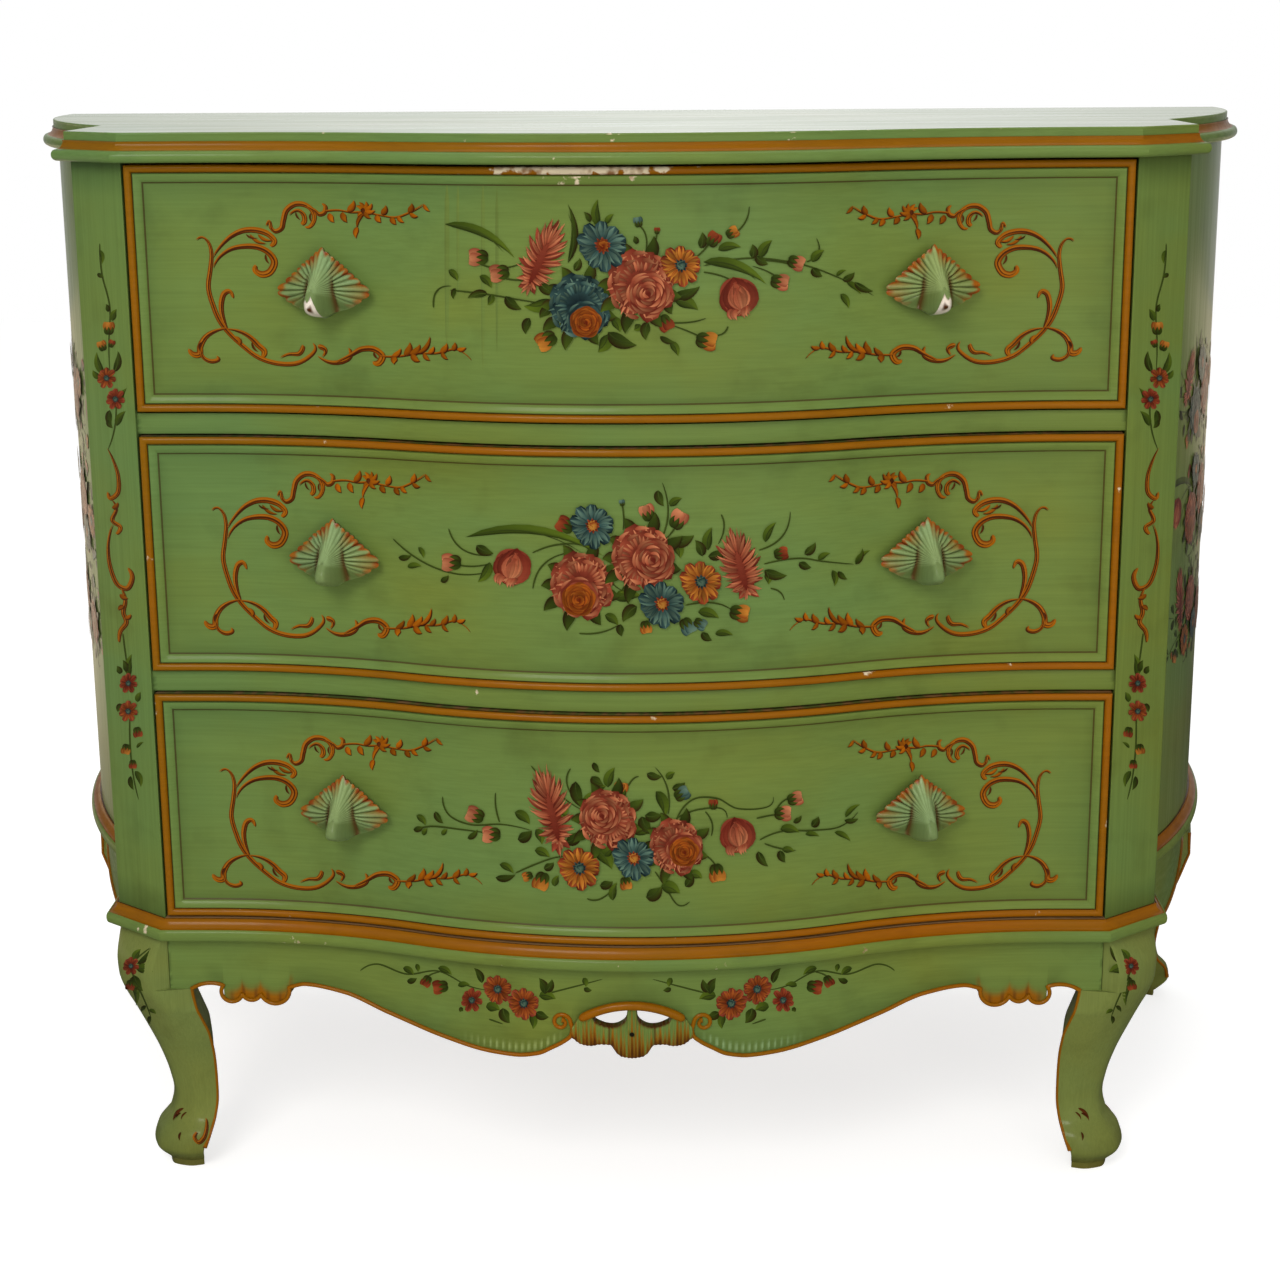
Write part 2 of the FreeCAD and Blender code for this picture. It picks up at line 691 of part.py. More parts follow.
def build_side_aprons():
    """Scalloped aprons along the return and the bowed side, and a plain one at the back."""
    low_z = leg_height - side_apron_depth
    inner = -(apron_setback + apron_thickness)
    profile = [(inner, low_z), (-apron_setback, low_z), (-apron_setback, leg_height), (inner, leg_height)]
    returned = LineRun(return_run.start, return_run.end + return_run.along * apron_thickness)
    band = joined([returned.solid(profile), side_arc.solid(profile)])
    points = []
    for share, drop_share in side_apron_shares:
        point = plan(0, case_depth * share, leg_height - side_apron_depth * drop_share)
        points.append(point)
    head = [points[-2], points[-1], Vec(0, points[-1].y, leg_height), Vec(0, points[0].y, leg_height)]
    edges = smooth(points[1:-1]) + outline_edges(head + points[:2])
    face = Part.Face(Part.Wire(Part.__sortEdges__(edges)))
    apron = band.common(face.extrude(ACROSS * (2 * back_half_width)))
    apron = apron.cut(half_space(plan(0, post_face_width), BACK * -1))
    apron = one(apron.cut(half_space(rear_leg_corner - BACK * post_face_width, BACK)))

    half = rear_leg_corner.x - post_face_width
    rear_z = leg_height - rear_apron_depth
    rear = block(-half, half, case_depth - apron_thickness, case_depth, rear_z, leg_height)
    return {"right_apron": apron, "left_apron": mirrored(apron), "rear_apron": rear}


def main():
    pieces = {}
    for build in (build_top, build_base, build_front_post, build_sides, build_rails, build_runners,
                  build_front_apron, build_side_aprons, build_legs):
        pieces.update(build())
    for level, name in enumerate(drawer_names):
        pieces.update(build_drawer(level, name))
    os.makedirs("parts", exist_ok=True)
    for name, shape in pieces.items():
        shape.exportStep(os.path.join("parts", name + ".step"))
        print(name, len(shape.Solids), shape.isValid(), round(shape.Volume))


main()
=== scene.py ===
"""Looks of the painted serpentine commode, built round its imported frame.

Metres. X runs to the right, Y to the back and Z up, as in the frame. Painted pieces are surfaces worked
out with numpy; their paint is a colour attribute, which the finishes break up with brush marks and wear.
"""
import logging
import math
from dataclasses import dataclass
from enum import Enum
from typing import Callable, Sequence

import bmesh
import bpy
import numpy as np
from mathutils import Matrix


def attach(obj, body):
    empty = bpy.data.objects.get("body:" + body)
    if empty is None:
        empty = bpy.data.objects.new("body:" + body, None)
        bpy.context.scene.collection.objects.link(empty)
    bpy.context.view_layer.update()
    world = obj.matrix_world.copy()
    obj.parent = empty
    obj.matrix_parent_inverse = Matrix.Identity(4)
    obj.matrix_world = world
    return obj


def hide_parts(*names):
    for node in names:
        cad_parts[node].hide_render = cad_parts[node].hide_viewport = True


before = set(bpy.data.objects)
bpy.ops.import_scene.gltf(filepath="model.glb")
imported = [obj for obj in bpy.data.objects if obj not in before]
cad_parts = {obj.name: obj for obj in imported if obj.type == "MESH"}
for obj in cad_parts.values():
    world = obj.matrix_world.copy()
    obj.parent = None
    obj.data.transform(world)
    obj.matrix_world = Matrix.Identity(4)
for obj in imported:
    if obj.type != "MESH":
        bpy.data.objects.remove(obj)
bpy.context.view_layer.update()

Array = np.ndarray
Spot = tuple[float, float]
log = logging.getLogger("commode")


class Tone(Enum):
    """Paint and wood colours as they are displayed, each part from 0 to 255."""

    GREEN = (104, 124, 56)
    # Paint of the legs: more olive than the case, and lightened as painted light, since the lamps reach the
    # legs less
    LIT_OLIVE = (116, 126, 60)
    SHADED_GREEN = (80, 98, 42)
    # Painted highlight on the pulls' lobes and on the apron's carved ticks
    HIGHLIGHT_GREEN = (150, 172, 112)
    OCHRE = (140, 86, 0)
    BRIGHT_OCHRE = (164, 100, 22)
    UMBER = (80, 44, 12)
    # Painted shade in the crease between a drawer's frame and its panel
    LINE = (76, 72, 32)
    RUST = (126, 54, 16)
    CREAM = (226, 214, 196)
    # Painted shade: near-black disc that stands for the peg hole
    GAP = (24, 20, 10)
    GROUND = (206, 190, 160)
    OLD_WOOD = (128, 92, 58)
    INNER_WOOD = (150, 112, 70)
    PALE_WOOD = (170, 134, 92)
    DARK_WOOD = (142, 104, 66)
    DUST = (150, 128, 100)

    def linear(self) -> Array:
        """The colour in linear light."""
        return linear_colour(self.value)

    def worn(self, wear: float) -> Array:
        """The colour in linear light, then its wear."""
        return np.append(self.linear(), wear)


Paint = Tone | Array


def linear_colour(value: Sequence[float]) -> Array:
    """Linear light from a colour in 0 to 255: straight near black, then the usual power of displays."""
    share = np.asarray(value, float) / 255.0
    return np.where(share <= 0.04045, share / 12.92, ((share + 0.055) / 1.055) ** 2.4)


def as_paint(paint: Paint) -> Array:
    """Linear colour of a tone, or colours as they are."""
    return paint.linear() if isinstance(paint, Tone) else np.asarray(paint, float)


def blend_colours(first: Paint, second: Paint, share: Array) -> Array:
    """Mix of two colours for each place, by its share of the second one."""
    part = np.clip(share, 0.0, 1.0)[..., None]
    return as_paint(first) * (1.0 - part) + as_paint(second) * part


def extended(rows: Array, last: float | Array) -> Array:
    """Rows with one more part, such as colours with their wear, or plan points with their heights."""
    return np.concatenate([rows, np.broadcast_to(last, rows.shape[:-1])[..., None]], -1)


def fade(places: Array, start: float, end: float) -> Array:
    """Share that runs evenly from 0 at the start to 1 at the end, and is held beyond them."""
    return np.clip((places - start) / (end - start), 0.0, 1.0)


def bell(places: Array, middle: float, width: float) -> Array:
    """Bell curve: the exponential of minus the square of the distance from its middle, in widths."""
    return np.exp(-((places - middle) / width) ** 2)


def waves(places: Array, *sines: tuple[float, float, float]) -> Array:
    """Sum of sines, each given by its height, count and start."""
    return sum(height * np.sin(count * places + start) for height, count, start in sines)


def quarter_turn(rows: Array) -> Array:
    """Rows of two turned by a right angle."""
    return np.stack([-rows[..., 1], rows[..., 0]], -1)


def unit(rows: Array) -> Array:
    """Rows scaled to a length of one; a row of zeros stays as it is."""
    least = 1e-12
    return rows / (np.linalg.norm(rows, axis=-1, keepdims=True) + least)


def circle(turn: Array) -> Array:
    """Points on a circle with a radius of one, at given angles."""
    return np.stack([np.cos(turn), np.sin(turn)], -1)


def eased_corners(corners: Array, before: Array, after: Array, steps: int) -> Array:
    """Ring with each corner bent into a parabola between points on its two sides.

    Args:
        corners: corners in order, with a last axis of two.
        before: move from each corner to where its curve starts.
        after: move to where it ends.
        steps: points on each curve.

    Returns:
        Points of the ring with a last axis of two.
    """
    t = np.linspace(0.0, 1.0, steps)[:, None]
    curve = corners[..., None, :] + before[..., None, :] * (1 - t) ** 2 + after[..., None, :] * t ** 2
    return curve.reshape(corners.shape[:-2] + (-1, 2))


def eased_curve(knots: Array, values: Array, places: Array) -> Array:
    """Smooth curve through values that never overshoots them.

    Each stretch is a cubic whose end slopes are the harmonic mean of the slopes beside the knot, or zero
    where the values turn back.

    Args:
        knots: rising places of the values.
        values: one value, or one row of values, at each knot.
        places: where the curve is wanted.

    Returns:
        The curve's values at the places.
    """
    knots = np.asarray(knots, float)
    values = np.asarray(values, float)
    columns = values.reshape(len(knots), -1)
    steps = np.diff(knots)[:, None]
    slopes = np.diff(columns, axis=0) / steps
    product = slopes[:-1] * slopes[1:]
    total = np.where(product > 0, slopes[:-1] + slopes[1:], 1.0)
    inner = np.where(product > 0, 2.0 * product / total, 0.0)
    tangents = np.concatenate([slopes[:1], inner, slopes[-1:]])
    return hermite(knots, values, tangents.reshape(values.shape), np.asarray(places, float))


def hermite(knots: Array, values: Array, slopes: Array, places: Array) -> Array:
    """Cubic curve through values with given slopes.

    Args:
        knots: rising places of the values.
        values: one value, or one row of values, at each knot.
        slopes: slopes there, of the same shape.
        places: where the curve is wanted.

    Returns:
        The curve's values at the places.
    """
    columns, tangents = values.reshape(len(knots), -1), slopes.reshape(len(knots), -1)
    index = np.clip(np.searchsorted(knots, places, side="right") - 1, 0, len(knots) - 2)
    width = np.diff(knots)[index][..., None]
    t = ((places - knots[index])[..., None] / width).clip(0.0, 1.0)
    square, cube = t ** 2, t ** 3
    curve = ((2 * cube - 3 * square + 1) * columns[index] + (cube - 2 * square + t) * width * tangents[index]
             + (3 * square - 2 * cube) * columns[index + 1] + (cube - square) * width * tangents[index + 1])
    return curve.reshape(places.shape + values.shape[1:])


@dataclass(frozen=True)
class CasePlan:
    """Plan of the case: serpentine front, canted posts, straight returns and bowed sides."""

    front_half: float = 0.380
    bow: float = 0.063
    flat: float = 0.038
    post_width: float = 0.047
    post_depth: float = 0.0375
    post_return: float = 0.1145
    side_swell: float = 0.103
    depth: float = 0.466
    top_reach: float = 0.013
    front_steps: int = 192
    side_steps: int = 56
    run_steps: int = 5

    @property
    def line_y(self) -> float:
        """Y of the line of the front posts."""
        return (self.bow + self.top_reach - self.depth) / 2

    @property
    def swing(self) -> float:
        """Middle of the front to the start of its flat run."""
        return self.front_half - self.flat

    @property
    def bend_radius(self) -> float:
        """Radius of the hollows and of the swell."""
        return (self.swing ** 2 + self.bow ** 2) / (4 * self.bow)

    @property
    def corner_x(self) -> float:
        """Outer corner of a canted post."""
        return self.front_half + self.post_width

    @property
    def back_half(self) -> float:
        """Half width at the back."""
        return self.corner_x + self.side_swell

    @property
    def return_y(self) -> float:
        """Y of the re-entrant corner between a return and a bowed side."""
        return self.line_y + self.post_depth + self.post_return

    @property
    def back_y(self) -> float:
        """Y of the back."""
        return self.line_y + self.depth

    @property
    def side_radius(self) -> float:
        """Radius of a bowed side, struck from the line of the back."""
        run = self.back_y - self.return_y
        return (self.side_swell ** 2 + run ** 2) / (2 * self.side_swell)

    def front(self, x: Array) -> tuple[Array, Array]:
        """Serpentine front: flat, then an arc hollow, then an arc swell, mirrored about the middle.

        Args:
            x: places across the front.

        Returns:
            Plan points and outward directions, each with a last axis of two.
        """
        x = np.asarray(x, float)
        reach = np.abs(x)
        radius = self.bend_radius
        hollow = np.clip(self.swing - reach, 0.0, None)
        fall = np.sqrt(radius ** 2 - hollow ** 2)
        rise = np.sqrt(radius ** 2 - np.minimum(reach, self.swing) ** 2)
        swell = reach < self.swing / 2
        y = np.where(swell, radius - self.bow - rise, fall - radius)
        across = np.where(swell, x, np.sign(x) * hollow) / radius
        outward = -np.where(swell, rise, fall) / radius
        return np.stack([x, y + self.line_y], -1), np.stack([across, outward], -1)

    def front_points(self, x: Array, offset: Array, z: Array) -> Array:
        """Points at a distance from the serpentine front.

        Args:
            x: places across the front.
            offset: distance outwards, along the normal.
            z: heights.

        Returns:
            Points with a last axis of three, of the arguments' common shape.
        """
        x, offset, z = np.broadcast_arrays(x, offset, z)
        base, outward = self.front(x)
        return extended(base + outward * offset[..., None], z)

    def side(self, share: Array) -> tuple[Array, Array]:
        """Right bowed side as an arc from the re-entrant corner, 0, to the back, 1.

        Args:
            share: places along the arc.

        Returns:
            Plan points and outward directions.
        """
        run = self.back_y - self.return_y
        angle = -math.asin(run / self.side_radius) * (1.0 - np.asarray(share, float))
        outward = circle(angle)
        centre = np.array([self.back_half - self.side_radius, self.back_y])
        return centre + outward * self.side_radius, outward

    def straight(self, first: Sequence[float], last: Sequence[float], count: int) -> tuple[Array, Array]:
        """Straight plan run with its outer side on the right.

        Args:
            first: start of the run.
            last: end of the run.
            count: points along it.

        Returns:
            Plan points and outward directions.
        """
        first, last = np.asarray(first, float), np.asarray(last, float)
        points = first + (last - first) * np.linspace(0.0, 1.0, count)[:, None]
        return points, np.broadcast_to(-quarter_turn(unit(last - first)), points.shape)

    def right_runs(self) -> list[tuple[Array, Array]]:
        """Canted face, return and bowed side on the right, in order from front to back.

        Returns:
            Plan points and outward directions of each.
        """
        corner = (self.corner_x, self.line_y + self.post_depth)
        canted = self.straight((self.front_half, self.line_y), corner, self.run_steps)
        returned = self.straight(corner, (self.corner_x, self.return_y), self.run_steps)
        return [canted, returned, self.side(np.linspace(0.0, 1.0, self.side_steps))]

    def round_case(self) -> tuple[Array, Array]:
        """Whole path from the back on the left, round the front, to the back on the right.

        At a corner the outward direction is mitred: the sum of the two directions over one plus their
        product, so that an offset run meets its neighbour.

        Returns:
            Plan points, and the move that each takes for one metre of offset.
        """
        right = self.right_runs()
        turn = np.array([-1.0, 1.0])
        left = [(points[::-1] * turn, outward[::-1] * turn) for points, outward in reversed(right)]
        front = self.front(np.linspace(-self.front_half, self.front_half, self.front_steps))
        runs = left + [front] + right
        points = [runs[0][0][:-1]]
        moves = [runs[0][1][:-1]]
        for (_, before), (here, outward) in zip(runs, runs[1:]):
            mitre = (before[-1] + outward[0]) / (1.0 + before[-1] @ outward[0])
            points += [here[:1], here[1:-1]]
            moves += [mitre[None], outward[1:-1]]
        return np.concatenate(points + [runs[-1][0][-1:]]), np.concatenate(moves + [runs[-1][1][-1:]])


@dataclass(frozen=True)
class Heights:
    """Heights of the case."""

    leg: float = 0.218
    base: float = 0.017
    drawer: float = 0.1865
    gap: float = 0.00175
    rail: float = 0.016
    top: float = 0.022
    levels: int = 3

    @property
    def floor(self) -> float:
        """Upper face of the base."""
        return self.leg + self.base

    @property
    def pitch(self) -> float:
        """From one drawer to the next."""
        return self.drawer + 2 * self.gap + self.rail

    @property
    def case_top(self) -> float:
        """Underside of the top."""
        return self.floor + self.levels * self.pitch - self.rail

    def drawer_foot(self, level: int) -> float:
        """Lower edge of a drawer front."""
        return self.floor + level * self.pitch + self.gap


plan = CasePlan()
heights = Heights()


def arc_through(first: Array, middle: Array, last: Array, steps: int) -> Array:
    """Arc of a circle through three points of a plane.

    Args:
        first: start.
        middle: a point on the way.
        last: end.
        steps: how many points.

    Returns:
        Rows of two.
    """
    sides = np.array([middle - first, last - first])
    centre = first + np.linalg.solve(2.0 * sides, (sides ** 2).sum(1))
    angles = [math.atan2(*(point - centre)[::-1]) for point in (first, middle, last)]
    full = 2 * math.pi
    sweep = (angles[2] - angles[0]) % full
    if (angles[1] - angles[0]) % full > sweep:
        sweep -= full
    turn = angles[0] + np.linspace(0.0, sweep, steps)
    return centre + np.linalg.norm(first - centre) * circle(turn)


def carried(path: Array, moves: Array, profile: Array) -> Array:
    """Profile carried along a plan path: its offsets follow the path's moves, and its heights go up."""
    return extended(path[:, None, :] + moves[:, None, :] * profile[None, :, :1], profile[:, 1])


class Bend(Enum):
    """How a moulding's member runs between its two ends: which way it bulges."""

    STRAIGHT = 0.0
    ROUND = 1.0
    HOLLOW = -1.0


@dataclass(frozen=True)
class Member:
    """One member of a moulding, from the last one's end to its own."""

    offset: float
    height: float
    bend: Bend
    tone: Tone
    steps: int = 1
    bulge: float = 0.0
    wear: float = 0.0


def moulding(start: tuple[float, float], members: Sequence[Member]) -> tuple[Array, Array]:
    """Profile of a moulding and its paint.

    A round member rises over its chord as a half circle stretched to its bulge; a hollow one sinks likewise.

    Args:
        start: offset and height of the first corner.
        members: members in order.

    Returns:
        Rows of offset and height, and rows of colour and wear.
    """
    rows = []
    paint = []
    here = np.array(start, float)
    corner_share = 0.02
    for member in members:
        end = np.array([member.offset, member.height])
        chord = end - here
        aside = -quarter_turn(unit(chord))
        t = np.linspace(corner_share, 1.0, member.steps + 1)[:, None]
        arch = np.sqrt(np.clip(1.0 - (2.0 * t - 1.0) ** 2, 0.0, None))
        rows.append(here + chord * t + aside * (member.bend.value * member.bulge) * arch)
        paint.append(np.broadcast_to(member.tone.worn(member.wear), (member.steps + 1, 4)))
        here = end
    return np.concatenate(rows), np.concatenate(paint)


def tube(path: Array, radius: float | Array, sides: int = 10) -> Array:
    """Round tube along a path.

    Each ring lies across the path and starts at a right angle to the way to the front.

    Args:
        path: points in order.
        radius: one radius for all or for each.
        sides: corners round the tube.

    Returns:
        Grid of points, path by corners.
    """
    along = unit(np.gradient(path, axis=0))
    aside = unit(np.cross(along, np.array([0.0, -1.0, 0.0])))
    across = np.cross(aside, along)
    turn = np.linspace(0.0, 2 * math.pi, sides, endpoint=False)[:, None]
    ring = aside[:, None] * np.cos(turn) + across[:, None] * np.sin(turn)
    return path[:, None] + ring * np.broadcast_to(radius, len(path))[:, None, None]


class Skin:
    """Points, faces and paint of one piece, gathered before its mesh is made."""

    # Points nearer than this are joined
    meeting = 2e-6

    def __init__(self) -> None:
        """Starts with nothing."""
        self.points: list[Array] = []
        self.paint: list[Array] = []
        self.faces: list[Array] = []
        self.count = 0

    def add(self, points: Array, paint: Paint) -> int:
        """Adds loose points.

        Args:
            points: rows of three.
            paint: tone, colour, or colour and wear, for all or for each.

        Returns:
            Index of the first one.
        """
        first = self.count
        paint = as_paint(paint)
        if paint.shape[-1] == 3:
            paint = extended(paint, 0.0)
        self.points.append(points.reshape(-1, 3))
        self.paint.append(np.broadcast_to(paint, points.shape[:-1] + (4,)).reshape(-1, 4))
        self.count += self.points[-1].shape[0]
        return first

    def grid(self, points: Array, paint: Paint, closed: bool = False, flip: bool = False) -> None:
        """Adds a grid of points with a face in each cell.

        Args:
            points: rows by columns by three; more leading axes make several grids.
            paint: tone, colour, or colour and wear, for all, each column or each point.
            closed: joins the last column to the first.
            flip: turns the faces over.
        """
        rows, columns = points.shape[-3:-1]
        index = np.arange(int(np.prod(points.shape[:-1]))).reshape(-1, rows, columns)
        index = index + self.add(points, paint)
        if closed:
            index = np.concatenate([index, index[..., :1]], -1)
        cells = [index[:, :-1, :-1], index[:, 1:, :-1], index[:, 1:, 1:], index[:, :-1, 1:]]
        self.faces.append(np.stack(cells[::-1] if flip else cells, -1).reshape(-1, 4))

    def cap(self, ring: Array, paint: Paint, flip: bool = False) -> None:
        """Adds one flat face inside a ring of points, turned over or not."""
        index = np.arange(len(ring)) + self.add(ring, paint)
        self.faces.append((index[::-1] if flip else index)[None])

    def rod(self, rings: Array, paint: Paint, start: Paint, end: Paint) -> None:
        """Adds a closed run of rings with a flat face at either end.

        Args:
            rings: rings by corners by three.
            paint: paint of the run.
            start: paint of its first end.
            end: paint of its last end.
        """
        self.grid(rings, paint, closed=True)
        self.cap(rings[0], start)
        self.cap(rings[-1], end)

    def rims(self, front: Array, back: Array, paint: Paint) -> None:
        """Joins a front and a back grid along their four edges."""
        for edge in (np.s_[:, 0], np.s_[:, -1], np.s_[0], np.s_[-1]):
            self.grid(np.stack([front[edge], back[edge]]), paint)

    def build(self, name: str, material: bpy.types.Material, body: str, slot: str, nodes: Sequence[str] = (),
              sharp: float = 35.0, merge: bool = True) -> bpy.types.Object:
        """Makes the mesh and puts it on its body.

        Args:
            name: name of the piece.
            material: its finish.
            body: CAD body that it rides on.
            slot: the record's material slot; not used.
            nodes: CAD nodes that it stands for.
            sharp: angle in degrees past which an edge stays sharp.
            merge: joins points that meet and turns all faces outwards.

        Returns:
            The new object.
        """
        mesh = bpy.data.meshes.new(name)
        faces = [row for block in self.faces for row in block.tolist()]
        mesh.from_pydata(np.concatenate(self.points).tolist(), [], faces)
        layer = mesh.color_attributes.new("paint", "FLOAT_COLOR", "POINT")
        layer.data.foreach_set("color", np.concatenate(self.paint).astype(np.float32).ravel())
        if merge:
            work = bmesh.new()
            work.from_mesh(mesh)
            bmesh.ops.remove_doubles(work, verts=work.verts, dist=self.meeting)
            bmesh.ops.recalc_face_normals(work, faces=work.faces)
            work.to_mesh(mesh)
            work.free()
        mesh.validate()
        mesh.polygons.foreach_set("use_smooth", np.ones(len(mesh.polygons), bool))
        mesh.set_sharp_from_angle(angle=math.radians(sharp))
        mesh.materials.append(material)
        piece = bpy.data.objects.new(name, mesh)
        bpy.context.scene.collection.objects.link(piece)
        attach(piece, body)
        if nodes:
            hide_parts(*nodes)
        log.info("%s: %d faces on %s", name, len(mesh.polygons), body)
        return piece


class NodeTree:
    """Short hand for wiring the nodes of a material or of the surroundings."""

    # Numbers of the mixing node's sockets for colours
    colour_inputs = (6, 7)
    colour_output = 2

    def __init__(self, owner: bpy.types.Material | bpy.types.World, shader: str = "Principled BSDF") -> None:
        """Starts with the owner's shader and output.

        Args:
            owner: what the nodes belong to.
            shader: name of its shader node.
        """
        owner.use_nodes = True
        self.owner = owner
        self.tree = owner.node_tree
        self.shader = self.tree.nodes[shader]

    def wire(self, socket: bpy.types.NodeSocket, value: object) -> None:
        """Links an output to an input, or sets the input.

        Args:
            socket: the input.
            value: an output, or a value.
        """
        if isinstance(value, bpy.types.NodeSocket):
            self.tree.links.new(value, socket)
        else:
            socket.default_value = value

    def node(self, kind: str, inputs: dict | None = None, **settings: object) -> bpy.types.Node:
        """Adds a node.

        Args:
            kind: the node's type name.
            inputs: input name or number to a value or an output.
            settings: the node's own settings.

        Returns:
            The node.
        """
        made = self.tree.nodes.new(kind)
        for key, value in settings.items():
            setattr(made, key, value)
        for key, value in (inputs or {}).items():
            self.wire(made.inputs[key], value)
        return made

    def noise(self, squeeze: Sequence[float], size: float, detail: float = 3.0,
              turn: float = 0.0) -> bpy.types.NodeSocket:
        """Noise on Object coordinates.

        Args:
            squeeze: how much the pattern is squeezed along each axis.
            size: the noise's own scale.
            detail: octaves.
            turn: how far the pattern is moved, so that two differ.

        Returns:
            The noise's value.
        """
        place = self.node("ShaderNodeTexCoord")
        mapped = self.node("ShaderNodeMapping", {"Vector": place.outputs["Object"], "Scale": squeeze,
                                                 "Location": (turn, turn, turn)})
        noise = self.node("ShaderNodeTexNoise", {"Vector": mapped.outputs[0], "Scale": size,
                                                 "Detail": detail})
        return noise.outputs["Fac"]

    def slope(self, rate: Sequence[float], height: float) -> bpy.types.NodeSocket:
        """Half, plus the rates times the place, with heights taken from a middle one.

        Args:
            rate: change per metre across, back and up.
            height: the middle height.

        Returns:
            The value.
        """
        place = self.node("ShaderNodeTexCoord")
        total = self.node("ShaderNodeVectorMath", {0: place.outputs["Object"], 1: tuple(rate)},
                          operation="DOT_PRODUCT")
        return self.math("ADD", total.outputs["Value"], 0.5 - rate[2] * height)

    def ramp(self, value: bpy.types.NodeSocket, low: float, high: float, to_low: float = 0.0,
             to_high: float = 1.0) -> bpy.types.NodeSocket:
        """Value carried from one range to another, and held at its ends.

        Args:
            value: an output.
            low: start of its range.
            high: end of its range.
            to_low: result at the start.
            to_high: result at the end.

        Returns:
            The result.
        """
        made = self.node("ShaderNodeMapRange", {"Value": value, "From Min": low, "From Max": high,
                                                "To Min": to_low, "To Max": to_high})
        return made.outputs[0]

    def math(self, operation: str, *values: object) -> bpy.types.NodeSocket:
        """Sum, product or other operation on values."""
        return self.node("ShaderNodeMath", dict(enumerate(values)), operation=operation).outputs[0]

    def mix(self, share: object, first: object, second: object, how: str = "MIX") -> bpy.types.NodeSocket:
        """Mix of two colours.

        Args:
            share: how much of the second one.
            first: a colour or an output.
            second: a colour or an output.
            how: the way they are mixed.

        Returns:
            The mixed colour.
        """
        made = self.node("ShaderNodeMix", {"Factor": share}, data_type="RGBA", blend_type=how)
        for key, value in zip(self.colour_inputs, (first, second)):
            linked = isinstance(value, bpy.types.NodeSocket)
            self.wire(made.inputs[key], value if linked else (*value, 1.0))
        return made.outputs[self.colour_output]

    def stain(self, colour: bpy.types.NodeSocket, noise: bpy.types.NodeSocket, tone: Sequence[float],
              low: float, high: float, most: float = 1.0) -> bpy.types.NodeSocket:
        """Colour that is multiplied by a tone where a noise is high."""
        share = self.ramp(noise, low, high, 0.0, most)
        return self.mix(share, colour, self.mix(1.0, colour, tone, "MULTIPLY"))

    def bump(self, height: bpy.types.NodeSocket, strength: float, distance: float) -> None:
        """Roughens the shader's surface by a height."""
        made = self.node("ShaderNodeBump", {"Height": height, "Strength": strength, "Distance": distance})
        self.wire(self.shader.inputs["Normal"], made.outputs[0])

    def feed(self, **sockets: object) -> None:
        """Sets or links the shader's inputs, with underscores for spaces."""
        for key, value in sockets.items():
            self.wire(self.shader.inputs[key.replace("_", " ")], value)


class Grain(Enum):
    """Direction that brush marks or wood fibres run in, as the squeeze of a pattern along each axis."""

    ACROSS = (1.0, 14.0, 46.0)
    UPRIGHT = (46.0, 46.0, 1.0)
    DEEP = (14.0, 1.0, 46.0)
    EVEN = (1.0, 1.0, 1.0)


